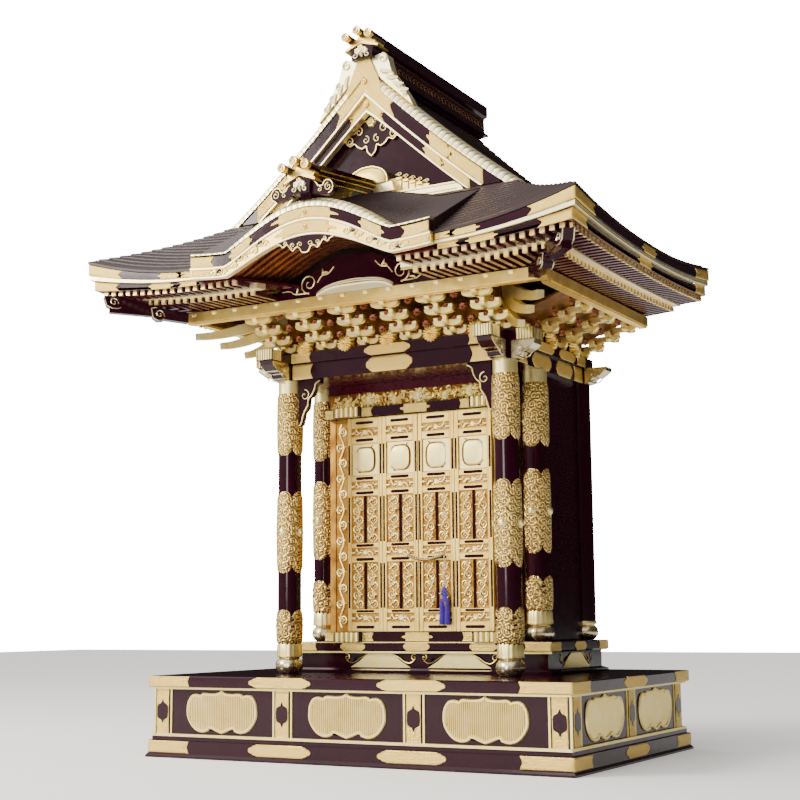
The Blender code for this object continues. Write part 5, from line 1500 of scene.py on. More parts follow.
plates_work, flute_parts = bmesh.new(), []
for node in ("threshold", "head_rail"):
    low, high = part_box(node)
    rail_face = low.y + 0.012
    t, width = (low.z + high.z) / 2, high.z - low.z - 0.001
    plate(plates_work, front_face(rail_face), 0, t, mokko(0.078, width, CUT_NOSE), steps=LOBED_STEPS)
    for hand in (-1, 1):
        plate(plates_work, front_face(rail_face), hand * 0.127, t,
              tailed(0.03, width, left=hand > 0, right=hand < 0))
        plate(plates_work, front_face(rail_face), hand * 0.227, t,
              tailed(0.028, width, left=False, right=False))
        bead = bmesh.new()
        bmesh.ops.create_cone(bead, cap_ends=True, segments=12, radius1=0.0064, radius2=0.0064,
                              depth=width)
        flute_parts.append(row([(hand * 0.1510, low.y + 0.0028, t), (hand * 0.2030, low.y + 0.0028, t)],
                               solid(bead), 0.0130, HIGHLIGHT_GOLD))
show("door_rail_fittings", plates_work, FITTING, "gold")
show("pivot_caps", joined(flute_parts), HIGHLIGHT_GOLD, "gold")

# %% [markdown]
# Between the plates and the eaves, tiers of brackets step out to a purlin. One set is modelled once, in
# its own space, with boat-shaped arms and small bearing blocks; the row tree then repeats it along three
# walls.

# %% One bracket set
CAP_TOP = CAP_Z[1]
TIERS = ((0.012, 0.8985), (0.048, 0.911), (0.088, 0.930), (0.128, 0.949))
ARM_HEIGHT = 0.0125
BLOCK_SIZE = 0.0105
RUSSET = leaf_gold("russet_flowers", (0.40, 0.15, 0.07, 1), (0.16, 0.04, 0.03, 1), 0.35)


def boat(work, along, centre, half, low, high, width):
    """An arm with a flat foot and rounded, rising ends; along picks its axis."""
    points = curve_through([(half * 0.50, 0), (half * 0.78, 0.12), (half * 0.96, 0.5), (half, 1.0)], 4)
    height = high - low
    outline = both_halves([(0, 0)] + [(a, b * height) for a, b in points] + [(0, height)])
    if along == "x":
        place = lambda s, t, d: (centre[0] + s, centre[1] + d, low + t)
    else:
        place = lambda s, t, d: (centre[0] + d, centre[1] + s, low + t)
    prism(work, outline, place, -width / 2, width / 2)


def bearing(work, x, y, low):
    """A small block with a narrowed foot."""
    half = BLOCK_SIZE / 2
    rings = []
    for z, reach in ((0, 0.7), (0.0028, 1.0), (0.0068, 1.0)):
        rings.append([(x + a * half * reach, y + b * half * reach, low + z)
                      for a, b in ((-1, -1), (1, -1), (1, 1), (-1, 1))])
    capped(work, rings)


def bracket_unit():
    """Arms, blocks and flowers of one set, seen from the front; the wall is at y 0."""
    arms, flowers, between = bmesh.new(), bmesh.new(), bmesh.new()
    for k, (reach, low) in enumerate(TIERS):
        top = low + ARM_HEIGHT
        half = 0.034 if k else 0.028
        boat(arms, "x", (0, -reach), half, low, top, 0.012)
        tip = reach + 0.019
        outline = [(0.0, 0.0), (-(tip - 0.012), 0.0), (-(tip - 0.005), 0.0025), (-tip, 0.008),
                   (-tip, ARM_HEIGHT), (0.0, ARM_HEIGHT)]
        prism(arms, outline, lambda s, t, d, low=low: (d, s, low + t), -0.0055, 0.0055)
        for x in (-half + 0.006, 0, half - 0.006):
            bearing(arms, x, -reach, top)
        bearing(arms, 0, -tip + 0.006, top)
        face = front_face(-reach - 0.004)
        for x in (-half * 0.52, half * 0.52):
            petal_ring(flowers, face, x, top + 0.0035, 0.0068, 6, 0.003)
        petal_ring(between, front_face(-reach + 0.002), 0, top - 0.001, 0.0100, 7, 0.004)
    return solid(arms), solid(flowers), solid(between)


SET, SET_FLOWERS, GAP_FLOWERS = bracket_unit()
print("one bracket set:", len(SET.polygons), "faces")

# %% Rows of brackets
WALL_FRONT = FRONT_LINE
SET_PITCH = 2 * COLUMN_X / 5
ROW_SLACK = 0.0005
side_step = (REAR_LINE - FRONT_LINE) / 3
rows_front = [(x, WALL_FRONT, 0) for x in (-COLUMN_X, COLUMN_X)]
for shape, name, finish, slot in ((SET, "sets", HIGHLIGHT_GOLD, "gold"),
                                  (SET_FLOWERS, "flowers", RUSSET, "gold")):
    front = row(rows_front, shape, SET_PITCH - ROW_SLACK, finish)
    show(f"bracket_{name}_front", front, finish, slot, smooth=30,
         stands_for=["brackets_front"] if name == "sets" else ())
    for side, hand in (("left", -1), ("right", 1)):
        line = [(hand * COLUMN_X, FRONT_LINE + side_step, 0), (hand * COLUMN_X, REAR_LINE, 0)]
        turns = [(0, 0, hand * pi / 2)] * 2
        show(f"bracket_{name}_{side}", row(line, shape, side_step - ROW_SLACK, finish, turns), finish,
             slot, smooth=30, stands_for=[f"brackets_{side}"] if name == "sets" else ())
gaps = [row([(x, FRONT_LINE, 0) for x in (SET_PITCH / 2 - COLUMN_X, COLUMN_X - SET_PITCH / 2)],
            GAP_FLOWERS, SET_PITCH - ROW_SLACK, RUSSET)]
for hand in (-1, 1):
    line = [(hand * COLUMN_X, FRONT_LINE + side_step / 2, 0),
            (hand * COLUMN_X, REAR_LINE - side_step / 2, 0)]
    gaps.append(row(line, GAP_FLOWERS, side_step - ROW_SLACK, RUSSET, [(0, 0, hand * pi / 2)] * 2))
show("bracket_flowers_between", joined(gaps), RUSSET, "gold", smooth=30)

# %% Bracket walls, mounds and purlins
WALL_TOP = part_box("brackets_front")[1].z
PURLIN_Z = (0.9625, 0.9845)
PURLIN_OUT = 0.153
PURLIN_HALF = 0.012
purlin_y = FRONT_LINE - PURLIN_OUT
purlin_x = COLUMN_X + PURLIN_OUT
work = bmesh.new()
block(work, (-COLUMN_X, COLUMN_X), (FRONT_LINE - 0.012, FRONT_LINE), (CAP_TOP, WALL_TOP))
for hand in (-1, 1):
    x = sorted((hand * COLUMN_X, hand * (COLUMN_X + 0.012)))
    block(work, x, (FRONT_LINE + 0.001, REAR_LINE), (CAP_TOP, WALL_TOP))
# The walls behind the brackets are painted deep shade.
show("bracket_walls", work, DEEP_SHADE_GOLD, "gold")
COVE_FOOT, COVE_THICK = CAP_TOP + 0.034, 0.005
work = bmesh.new()
for hand in (-1, 1):
    section = [(COLUMN_X + 0.006, COVE_FOOT), (COLUMN_X + 0.006, COVE_FOOT + COVE_THICK),
               (purlin_x - 0.0125, PURLIN_Z[1] - 0.001),
               (purlin_x - 0.0125, PURLIN_Z[1] - 0.001 - COVE_THICK)]
    capped(work, [[(hand * x, y, z) for x, z in section] for y in (FRONT_LINE + 0.020, REAR_LINE)])
# The coves behind the brackets are painted deep shade too.
show("bracket_coves", work, DEEP_SHADE_GOLD, "gold")

work = bmesh.new()
for z, out in ((PURLIN_Z, 0.0), ((PURLIN_Z[0] - 0.0035, PURLIN_Z[0] - 0.0002), -0.003)):
    half = PURLIN_HALF + out
    block(work, (-purlin_x - 0.02, purlin_x + 0.02), (purlin_y - half, purlin_y + half), z)
    for hand in (-1, 1):
        x = sorted((hand * (purlin_x - half), hand * (purlin_x + half)))
        block(work, x, (purlin_y + half + 0.0205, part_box("brackets_right")[1].y), z)
show("purlins", work, GOLD, "gold")

stud = bmesh.new()
bearing(stud, 0, 0, 0)
STUD = solid(stud)
stud_rows = [row([(-purlin_x, purlin_y - 0.010, PURLIN_Z[1] - 0.009),
                  (purlin_x, purlin_y - 0.010, PURLIN_Z[1] - 0.009)], STUD, 0.055, HIGHLIGHT_GOLD)]
show("purlin_blocks", joined(stud_rows), HIGHLIGHT_GOLD, "gold")

work = bmesh.new()
for k in range(-2, 3):
    face = front_face(FRONT_LINE - 0.014)
    x = k * SET_PITCH
    for size, rise, petals in ((0.024, 0.012, 16), (0.017, 0.010, 14), (0.010, 0.008, 10)):
        petal_ring(work, face, x, CAP_TOP + 0.011, size, petals, rise, 0.016 - size * 0.5)
for hand in (-1, 1):
    for k in range(3):
        face = side_face(hand * (COLUMN_X + 0.014), hand)
        y = FRONT_LINE + side_step * (k + 0.5)
        for size, rise, petals in ((0.024, 0.012, 16), (0.014, 0.009, 12)):
            petal_ring(work, face, y, CAP_TOP + 0.011, size, petals, rise, 0.014 - size * 0.5)
show("flower_mounds", work, GOLD, "gold")

# %% [markdown]
# At each front corner three tail noses run out on the diagonal. They droop from the wall and level out at
# the tip, like the prow of a sledge; one path with a squared section gives them all.

# %% Tail noses
TAIL_DEPTH, TAIL_TAPER, TAIL_SWEEP, TAIL_BEND = 0.032, 0.018, 0.070, 1.6
TAILS = ((0.048, 0.9245), (0.088, 0.9435), (0.128, 0.9625))


def swept_bar(work, path, across, widths, depths):
    """A square-edged bar along a path; across is its sideways direction."""
    across = Vector(across).normalized()
    rings = []
    for k, point in enumerate(path):
        ahead = Vector(path[min(k + 1, len(path) - 1)]) - Vector(path[max(k - 1, 0)])
        up = ahead.cross(across).normalized()
        if up.z < 0:
            up = -up
        a, b = across * widths[k] / 2, up * depths[k] / 2
        rings.append([Vector(point) - a - b, Vector(point) + a - b, Vector(point) + a + b,
                      Vector(point) - a + b])
    capped(work, rings)


work, tips = bmesh.new(), bmesh.new()
for hand in (-1, 1):
    across = (cos(pi / 4), hand * sin(pi / 4), 0)
    for reach, tip_z in TAILS:
        end = reach + 0.027
        path = []
        for k in range(9):
            share = k / 8
            out = end * share
            path.append((hand * (COLUMN_X + out), FRONT_LINE - out,
                         tip_z - TAIL_DEPTH + TAIL_SWEEP * (1 - share) ** TAIL_BEND))
        swept_bar(work, path, across, [0.0145] * 9, [TAIL_DEPTH - TAIL_TAPER * k / 8 for k in range(9)])
        swept_bar(tips, [Vector(path[-1]) + (Vector(path[-1]) - Vector(path[-2])).normalized() * d
                         for d in (-0.009, -0.0005)], across, [0.0152] * 2, [0.0148] * 2)
show("tail_noses", work, HIGHLIGHT_GOLD, "gold")
show("tail_tips", tips, TILE, "gold")

# %% [markdown]
# The eaves sweep up at the corners. One rule gives that rise from the distance to the corner, and the
# boards, the soffit, the rafters and the roof all read it, so they can never part.

# %% Rules of the roof
EAVE_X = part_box("eave_right")[1].x
EAVE_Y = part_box("eave_right")[0].y
ROOF_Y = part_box("eave_right")[1].y
EAVE_Z = 1.035
CORNER_RISE, SIDE_RISE, FLAT_SHARE = 0.052, 0.021, 0.506
ROOF_EDGE = 0.006
ROOF_SLOPE, ROOF_BEND, CORNER_BEND, SIDE_BEND = 0.5711, 0.3693, 1.8, 2.2
SOFFIT_Z, SOFFIT_IN_Z, SOFFIT_RISE, SOFFIT_DEPTH = 1.0, 1.009, 0.42, 0.2
GABLE_INSET = 0.2315
PORCH_HALF = 0.2895


def roof_height(inset):
    """Height of the roof a distance in from the eave, before the corners rise."""
    return EAVE_Z + ROOF_SLOPE * inset + ROOF_BEND * inset ** 2


def front_rise(share):
    return CORNER_RISE * max(0.0, 1 - share / FLAT_SHARE) ** CORNER_BEND


def side_rise(share):
    return SIDE_RISE + (CORNER_RISE - SIDE_RISE) * abs(2 * share - 1) ** SIDE_BEND


def eave_top(rise):
    return EAVE_Z + rise - ROOF_EDGE


def soffit_at(rise):
    return SOFFIT_Z + SOFFIT_RISE * rise


def front_run(inset, share, height):
    """A point of a front eave, right side."""
    return ((EAVE_X - inset) * (1 - share), EAVE_Y + inset, height)


def side_run(inset, share, height):
    """A point of the right eave."""
    return (EAVE_X - inset, EAVE_Y + inset + (ROOF_Y - EAVE_Y - inset) * share, height)


def stations(count, stop=1.0):
    return [stop * (k / count) ** 1.2 for k in range(count + 1)]


# %% Eave boards
INNER_SHARE = 1 - (PORCH_HALF + 0.001) / EAVE_X
UNDER_SHARE = 1 - 0.2 / EAVE_X
BOARDS = {"upper": (0.0, 0.42, 0.0018, 0.012), "strip": (0.42, 0.62, 0.0035, 0.012),
          "lower": (0.62, 1.0, 0.012, 0.030)}


def board_section(kind, rise):
    """Corners of a board's section as (inset, height)."""
    high, low, face, back = BOARDS[kind]
    top, depth = eave_top(rise), eave_top(rise) - soffit_at(rise)
    a, b = top - depth * high, top - depth * low
    soften = 0.0008
    return [(face + soften, a), (face, a - soften), (face, b + soften), (face + soften, b), (back, b),
            (back, a)]


works = {kind: bmesh.new() for kind in BOARDS}
soffit_work = bmesh.new()
for kind, work in works.items():
    for hand in (-1, 1):
        rings = []
        for share in stations(36, INNER_SHARE):
            rings.append([front_run(inset, share, z)
                          for inset, z in board_section(kind, front_rise(share))])
        capped(work, handed(rings, hand))
        rings = []
        for k in range(41):
            share = k / 40
            rings.append([side_run(inset, share, z)
                          for inset, z in board_section(kind, side_rise(share))])
        capped(work, handed(rings, hand))
for hand in (-1, 1):
    for run, rise_of, stop, count in ((front_run, front_rise, UNDER_SHARE, 30),
                                      (side_run, side_rise, 1.0, 30)):
        rings = []
        for share in (stop * k / count for k in range(count + 1)):
            rise = rise_of(share)
            under = [(0.012, soffit_at(rise)), (SOFFIT_DEPTH, SOFFIT_IN_Z)]
            rings.append([run(inset, share, z) for inset, z in under
                          + [(a, b + 0.006) for a, b in under[::-1]]])
        capped(soffit_work, handed(rings, hand))
show("eave_boards_upper", works["upper"], BLACK, "lacquer", smooth=40,
     stands_for=["eave_front_left", "eave_front_right", "eave_left", "eave_right"])
show("eave_strips", works["strip"], TILE, "gold", smooth=40)
show("eave_boards_lower", works["lower"], BLACK, "lacquer", smooth=40)
show("soffits", soffit_work, WINE, "vermilion", smooth=40)

# %% [markdown]
# Two rows of dark rafters with gilt end caps carry the eave. The row tree sets them along the sweep; each
# one's turn follows the slope of the soffit, and its stretch is the room left before the hip, so they
# shorten towards the corner.

# %% Rafters
RAFTER_PITCH = 0.020
RAFTER = bar_shape(0.0094, 1.0, 0.0091)
RAFTER_CAP = bar_shape(0.0102, 0.006, 0.0099)
CAP_SHIFT = Vector((0, -0.0004, 0.0004))
for vertex in RAFTER_CAP.vertices:
    vertex.co += CAP_SHIFT
FLYING = (0.0215, 0.074)
BASE = (0.0885, 0.190)
ROW_DROP = 0.0125
RAFTER_GOLD = leaf_gold("rafter_gold", (1.0, 0.86, 0.46, 1), (0.80, 0.50, 0.16, 1), 0.38)


def rafter_row(kind, hand, side, cap=False):
    """One row of rafters, or of their gilt caps, under the front or under a side eave."""
    start, end = FLYING if kind == "flying" else BASE
    line, turns, stretches = [], [], []
    count = 60
    reach_from, reach_to = start + 0.016, (EAVE_X - 0.2 if not side else ROOF_Y - EAVE_Y - 0.004)
    for k in range(count + 1):
        at = reach_from + (reach_to - reach_from) * k / count
        share = (at - start) / (EAVE_X - start) if not side else (at - start) / (ROOF_Y - EAVE_Y - start)
        rise = (front_rise if not side else side_rise)(max(share, 0.0))
        outer = soffit_at(rise) + (SOFFIT_IN_Z - soffit_at(rise)) * start / SOFFIT_DEPTH
        inner = soffit_at(rise) + (SOFFIT_IN_Z - soffit_at(rise)) * end / SOFFIT_DEPTH
        if kind == "base":
            outer -= ROW_DROP
            inner = PURLIN_Z[1] + 0.011
        length = min(end - start, max(at - start - 0.004, 0.006))
        slope = atan2(inner - outer, end - start)
        stretches.append((1, 1, 1) if cap else (1, length / cos(slope), 1))
        if side:
            line.append((hand * (EAVE_X - start), EAVE_Y + at, outer))
            turns.append((slope, 0, hand * pi / 2))
        else:
            line.append((hand * (EAVE_X - at), EAVE_Y + start, outer))
            turns.append((slope, 0, 0))
    return row(line, RAFTER_CAP if cap else RAFTER, RAFTER_PITCH, RAFTER_GOLD if cap else WINE, turns,
               stretches)


for piece, finish, slot, cap in (("rafters", WINE, "vermilion", False),
                                 ("rafter_caps", RAFTER_GOLD, "gold", True)):
    meshes = [rafter_row(kind, hand, False, cap) for kind in ("flying", "base") for hand in (-1, 1)]
    show(f"{piece}_front", joined(meshes), finish, slot, smooth=0)
    for name, hand in (("left", -1), ("right", 1)):
        meshes = [rafter_row(kind, hand, True, cap) for kind in ("flying", "base")]
        show(f"{piece}_{name}", joined(meshes), finish, slot, smooth=0)

work = bmesh.new()
for hand in (-1, 1):
    for run, rise_of, stop in ((front_run, front_rise, UNDER_SHARE), (side_run, side_rise, 1.0)):
        rings = []
        for k in range(31):
            share = stop * k / 30
            rise = rise_of(share)
            level = soffit_at(rise) + (SOFFIT_IN_Z - soffit_at(rise)) * FLYING[1] / SOFFIT_DEPTH
            rings.append([run(inset, share, z) for inset, z in ((FLYING[1] - 0.003, level),
                                                                (FLYING[1] - 0.003, level - ROW_DROP),
                                                                (BASE[0] + 0.004, level - ROW_DROP),
                                                                (BASE[0] + 0.004, level))])
        capped(work, handed(rings, hand))
show("rafter_strips", work, TILE, "gold", smooth=40)

# %% Eave fittings
def front_board(kind, hand):
    """Places points on a front board: s runs from the corner inwards, t is -1 to 1 across the board."""
    high, low, face = BOARDS[kind][:3]

    def place(s, t, d):
        share = s / EAVE_X
        rise = front_rise(share)
        top, depth = eave_top(rise), eave_top(rise) - soffit_at(rise)
        z = top - depth * (high + (low - high) * (1 - t) / 2)
        return (hand * (EAVE_X - s), EAVE_Y + face - d, z)
    return place


def side_board(kind, hand):
    high, low, face = BOARDS[kind][:3]

    def place(s, t, d):
        share = s / (ROOF_Y - EAVE_Y)
        rise = side_rise(share)
        top, depth = eave_top(rise), eave_top(rise) - soffit_at(rise)
        z = top - depth * (high + (low - high) * (1 - t) / 2)
        return (hand * (EAVE_X - face + d), EAVE_Y + s, z)
    return place


# On a board t runs from -1 to 1, so a plate of this width leaves a fine edge of lacquer.
FULL = 1.98
SLIGHT_NOTCH = 0.006
END = PORCH_HALF + 0.001
work = bmesh.new()
for hand in (-1, 1):
    for kind, corner, at, length in (("upper", 0.098, 0.235, 0.075), ("lower", 0.072, 0.20, 0.07)):
        inset = BOARDS[kind][2]
        place = front_board(kind, hand)
        shape = tailed(corner, FULL, left=False, notch=SLIGHT_NOTCH)
        plate(work, place, inset + corner / 2, 0, shape, steps=20)
        plate(work, place, at, 0, mokko(length, FULL, CUT_NOSE), steps=LOBED_STEPS)
        plate(work, place, EAVE_X - END - 0.026, 0, tailed(0.05, FULL, right=False, notch=SLIGHT_NOTCH))
        place = side_board(kind, hand)
        plate(work, place, inset + corner / 2, 0, shape, steps=20)
        length = ROOF_Y - EAVE_Y
        plate(work, place, length / 2, 0, mokko(0.085, FULL, CUT_NOSE), steps=LOBED_STEPS)
        plate(work, place, length - corner / 2, 0, tailed(corner, FULL, right=False, notch=SLIGHT_NOTCH))
show("eave_fittings", work, FITTING, "gold", smooth=50)

HIP_PROFILE = [(0.100, 0.0105), (0.004, 0.0125), (-0.011, 0.0085), (-0.005, -0.0115), (0.006, -0.0165),
               (0.020, -0.0150), (0.026, -0.0125), (0.100, -0.0125)]
HIP_HALF = 0.0118
work, wires = bmesh.new(), bmesh.new()
for hand in (-1, 1):
    for inset, low in ((0.034, 0.019), (0.106, 0.034)):
        x, y = hand * (EAVE_X - inset), EAVE_Y + inset
        share = inset / EAVE_X
        level = soffit_at(front_rise(share)) - low
        along = Vector((-hand, 1, 0)).normalized()
        across = Vector((1, hand, 0)).normalized()
        length = 1.0 if inset < 0.1 else 0.75

        def cheek_point(s, t, side, base=Vector((x, y, level)), along=along, across=across):
            """A point of the hip rafter's end: s inwards along it, t up, side across."""
            return tuple(base + along * s + across * side + Vector((0, 0, t - 0.10 * s)))

        capped(work, [[cheek_point(s * length, t, side) for s, t in HIP_PROFILE]
                      for side in (-HIP_HALF, HIP_HALF)])
        for side in (-HIP_HALF, HIP_HALF):
            place = lambda s, t, d, side=side: cheek_point(s, t, side)
            tube(wires, [cheek_point(s * length, t, side) for s, t in HIP_PROFILE[1:7]], 0.0014, 6)
            curl(wires, place, 0.0105, -0.0020, 0.0095, -0.4, 1, 0.0019, 1.3)
show("hip_ends", work, BLACK, "lacquer")
show("hip_scrolls", wires, SILVERED, "gold")

# %% [markdown]
# The roof imitates thin shingles laid in courses. Each course is a small step in the section, and the
# section is carried round the corner from the back to the curved gable, so that the steps run unbroken.

# %% Skirt roof
COURSE_PITCH = 0.0165
COURSE_STEP = 0.0028
GABLE_FOOT_Z = 1.187
ROOF_UNDER = SOFFIT_IN_Z + 0.0095
RIDGE_Z = 1.498
VERGE_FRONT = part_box("bargeboard_right")[0].y - 0.004
GABLE_BACK = VERGE_FRONT + 0.048


def skirt_section():
    """(inset, height, share of the rise) round the skirt's section."""
    points = [(SOFFIT_DEPTH, ROOF_UNDER, 0.0), (0.0383, 1.0172, 0.362), (0.0383, 1.0296, 1.0),
              (0.0, 1.0298, 1.0)]
    count = round(GABLE_INSET / COURSE_PITCH)
    for k in range(count):
        low, high = GABLE_INSET * k / count, GABLE_INSET * (k + 1) / count
        points.append((low, roof_height(low) + (COURSE_STEP if k else 0), (1 - low / GABLE_INSET) ** 1.3))
        points.append((high, roof_height(high), (1 - high / GABLE_INSET) ** 1.3))
    return points


SECTION = skirt_section()
rings = []
for k in range(37):
    share = 1 - k / 36
    rings.append([side_run(inset, share, z + side_rise(share) * fade) for inset, z, fade in SECTION])
for k in range(1, 33):
    ring = []
    for inset, z, fade in SECTION:
        share = (k / 32) ** 1.15 * (1 - (PORCH_HALF + 0.0005) / (EAVE_X - inset))
        ring.append(front_run(inset, share, z + front_rise(share) * fade))
    rings.append(ring)
work = bmesh.new()
for hand in (-1, 1):
    capped(work, handed(rings, hand))
gable_foot_y = EAVE_Y + GABLE_INSET
prism(work, [(gable_foot_y - 0.0148, ROOF_UNDER),
             (gable_foot_y - 0.0148, roof_height(GABLE_INSET - 0.0148)),
             (gable_foot_y, GABLE_FOOT_Z - 0.001), (GABLE_BACK, GABLE_FOOT_Z - 0.001),
             (GABLE_BACK, ROOF_UNDER)], lambda s, t, d: (d, s, t), -0.355, 0.355)
back = [(0.3875, ROOF_UNDER), (0.356, GABLE_FOOT_Z - 0.001)]
prism(work, back + [(-x, z) for x, z in back[::-1]], lambda s, t, d: (s, d, t), gable_foot_y,
      ROOF_Y - 0.0003)
show("skirt_roof", work, ROOF_BLACK, "lacquer", smooth=25, stands_for=["roof"])

# %% Upper slopes
GABLE_HALF = EAVE_X - GABLE_INSET


def slope_steps():
    """The right slope from foot to ridge as (x, z), with a step for every course."""
    count = round(GABLE_HALF / COURSE_PITCH)
    points = []
    for k in range(count):
        low, high = GABLE_INSET + GABLE_HALF * k / count, GABLE_INSET + GABLE_HALF * (k + 1) / count
        points.append((EAVE_X - low, roof_height(low) + COURSE_STEP))
        points.append((EAVE_X - high, roof_height(high)))
    return points[:-1] + [(0.012, RIDGE_Z - 0.008), (0, RIDGE_Z - 0.008)]


def verge(x, drop=0.0):
    """Height of the gable's curve."""
    return roof_height(EAVE_X - min(abs(x), GABLE_HALF)) - drop


TILE_DROP = (0.011, 0.020)
slope = slope_steps()
full = mirrored(slope)
under = [(x, verge(x, TILE_DROP[1])) for x in (GABLE_HALF * (1 - k / 15) for k in range(31))]
work = bmesh.new()
along = lambda s, t, d: (s, d, t)
prism(work, [(GABLE_HALF, GABLE_FOOT_Z - 0.01)] + full + [(-GABLE_HALF, GABLE_FOOT_Z - 0.01)], along,
      GABLE_BACK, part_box("roof")[1].y - 0.0003)
prism(work, full + under[::-1], along, VERGE_FRONT + 0.036, GABLE_BACK)
show("upper_roof", work, ROOF_BLACK, "lacquer", smooth=25)

# %% [markdown]
# The verge is edged with white-gold rolls, each a shell with a low front edge and a rounded back. One is
# repeated along the gable's curve; its turn follows the slope, and its stretch keeps the band even.

# %% Verge tiles
TILE_PITCH = 0.0145
ROLL = [(-0.020, -0.0045), (-0.020, 0.0035), (-0.017, 0.0085), (-0.010, 0.0130), (0.0, 0.0162),
        (0.012, 0.0178), (0.020, 0.0172), (0.020, -0.0045)]
tile = bmesh.new()
rings = []
for x, tight in ((-1.0, 0.93), (-0.84, 1.0), (0.84, 1.0), (1.0, 0.93)):
    rings.append([(x * (TILE_PITCH / 2 - 0.0004), y * (1 if tight == 1 else 0.985), z * tight)
                  for y, z in ROLL])
capped(tile, rings)
VERGE_TILE = solid(tile)


def tile_row(height_of, thickness_of, span, y):
    """Tiles along a curve from one x to another."""
    line, turns, stretches = [], [], []
    count = 80
    for k in range(count + 1):
        x = span[0] + (span[1] - span[0]) * k / count
        step = (span[1] - span[0]) / count
        dz = height_of(x + step / 2) - height_of(x - step / 2)
        turn = atan2(-dz, abs(step)) if step > 0 else atan2(dz, abs(step))
        line.append((x, y, height_of(x)))
        turns.append((0, turn, 0))
        stretches.append((1, 1, thickness_of(x)))
    return row(line, VERGE_TILE, TILE_PITCH, TILE, turns, stretches)


parts = [tile_row(lambda x: verge(x, TILE_DROP[0]), lambda x: 1.0,
                  (hand * (GABLE_HALF - 0.004), hand * 0.006), VERGE_FRONT + 0.0205) for hand in (-1, 1)]
show("verge_tiles", joined(parts), TILE, "gold", smooth=40)

# %% Bargeboards
GABLE_FLOOR = GABLE_FOOT_Z - 0.0007


def near_apex(x, reach=0.045):
    """1 at the apex, fading down both slopes: boards widen towards their meeting."""
    return 2.718 ** (-abs(x) / reach)


def verge_strip(work, upper, lower, y, thin=0.0):
    """A strip under the gable's curve between two drops, from foot to foot."""
    rings = []
    for k in range(-60, 61):
        x = GABLE_HALF * k / 60
        high, low = verge(x, upper(x)), max(verge(x, lower(x)), GABLE_FLOOR)
        if high <= GABLE_FLOOR + 0.0008:
            continue
        rings.append([(x, y[0] + thin, high), (x, y[0], high - thin), (x, y[0], low + thin),
                      (x, y[0] + thin, low), (x, y[1], low), (x, y[1], high)])
    capped(work, rings)


EDGES = [lambda x: 0.0190 - 0.022 * near_apex(x), lambda x: 0.0530 + 0.002 * near_apex(x),
         lambda x: 0.0600 + 0.003 * near_apex(x), lambda x: 0.0815 + 0.010 * near_apex(x),
         lambda x: 0.0875 + 0.012 * near_apex(x)]
BARGE = {"outer": (EDGES[0], EDGES[1], VERGE_FRONT + 0.004),
         "inner": (EDGES[2], EDGES[3], VERGE_FRONT + 0.012)}
work = bmesh.new()
for upper, lower, y in BARGE.values():
    verge_strip(work, upper, lower, (y, y + 0.014), 0.0006)
show("bargeboards", work, BLACK, "lacquer", smooth=30, stands_for=["bargeboard_left", "bargeboard_right"])
work = bmesh.new()
for upper, lower, y in ((EDGES[1], EDGES[2], VERGE_FRONT + 0.003),
                        (EDGES[3], EDGES[4], VERGE_FRONT + 0.010)):
    verge_strip(work, upper, lower, (y, y + 0.016), 0.0012)
show("barge_lines", work, TILE, "gold", smooth=30)


def barge_face(kind):
    upper, lower, y = BARGE[kind]

    def place(s, t, d):
        drop = upper(s) + (lower(s) - upper(s)) * (1 - t) / 2
        return (s, y - d, max(verge(s, drop), GABLE_FLOOR + 0.0002))
    return place


work, bosses = bmesh.new(), bmesh.new()
for kind, apex, middle_at, middle_long, foot in (("outer", 0.075, 0.185, 0.062, 0.088),
                                                 ("inner", 0.046, 0.165, 0.05, 0.07)):
    place = barge_face(kind)
    upper, lower, y = BARGE[kind]
    end = next(x for x in (GABLE_HALF - 0.001 * k for k in range(400))
               if verge(x, lower(x)) > GABLE_FLOOR)
    plate(work, place, 0, 0, tailed(2 * apex, FULL, notch=SLIGHT_NOTCH), steps=LONG_STEPS)
    for hand in (-1, 1):
        plate(work, place, hand * middle_at, 0, mokko(middle_long, FULL, CUT_NOSE), steps=LOBED_STEPS)
        plate(work, place, hand * (end - foot / 2), 0,
              tailed(foot, FULL, left=hand > 0, right=hand < 0, notch=SLIGHT_NOTCH))
        for at in (apex * 0.5, apex * 0.85):
            petal_ring(bosses, front_face(y - 0.0014), hand * at, verge(at, (upper(at) + lower(at)) / 2),
                       0.0022, 5, 0.0012)
    heart = verge(0, (upper(0) + lower(0)) / 2) - 0.004
    petal_ring(bosses, front_face(y - 0.0012), 0, heart, 0.0085, 8, 0.004)
    petal_ring(bosses, front_face(y - 0.0042), 0, heart, 0.0045, 6, 0.003)
show("barge_fittings", work, FITTING, "gold", smooth=50)
show("barge_bosses", bosses, GOLD, "gold")

# %% [markdown]
# The gable's wall is lacquered, with a cloud pendant edged in gold wire, a rosette, and under them a
# small dome between stepped carvings on a pale ground.

# %% Gable wall
STAIR_FOOT = 1.2145
WALL_FACE = GABLE_BACK - 0.0103
inner_line = [(x, verge(x, 0.03)) for x in (GABLE_HALF * (1 - k / 24)
                                            for k in range(25)) if verge(x, 0.03) > GABLE_FLOOR]
outline = [(inner_line[0][0], GABLE_FLOOR)] + inner_line
work = bmesh.new()
prism(work, mirrored(outline), front_face(WALL_FACE), -0.010, 0.0)
show("gable_back", work, BLACK, "lacquer", stands_for=["gable_wall"])
face = front_face(WALL_FACE)
cream, gold, wires, black = bmesh.new(), bmesh.new(), bmesh.new(), bmesh.new()
sill = [(0.232, GABLE_FLOOR + 0.0002), (0.222, GABLE_FLOOR + 0.016), (0.206, GABLE_FLOOR + 0.027),
        (0, GABLE_FLOOR + 0.027)]
prism(cream, sill + [(-x, z) for x, z in reversed(sill)], face, -0.001, 0.010)
field = curve_through([(0.150, 1.214), (0.11, 1.232), (0.07, 1.243), (0.03, 1.246), (0, 1.246)], 5)
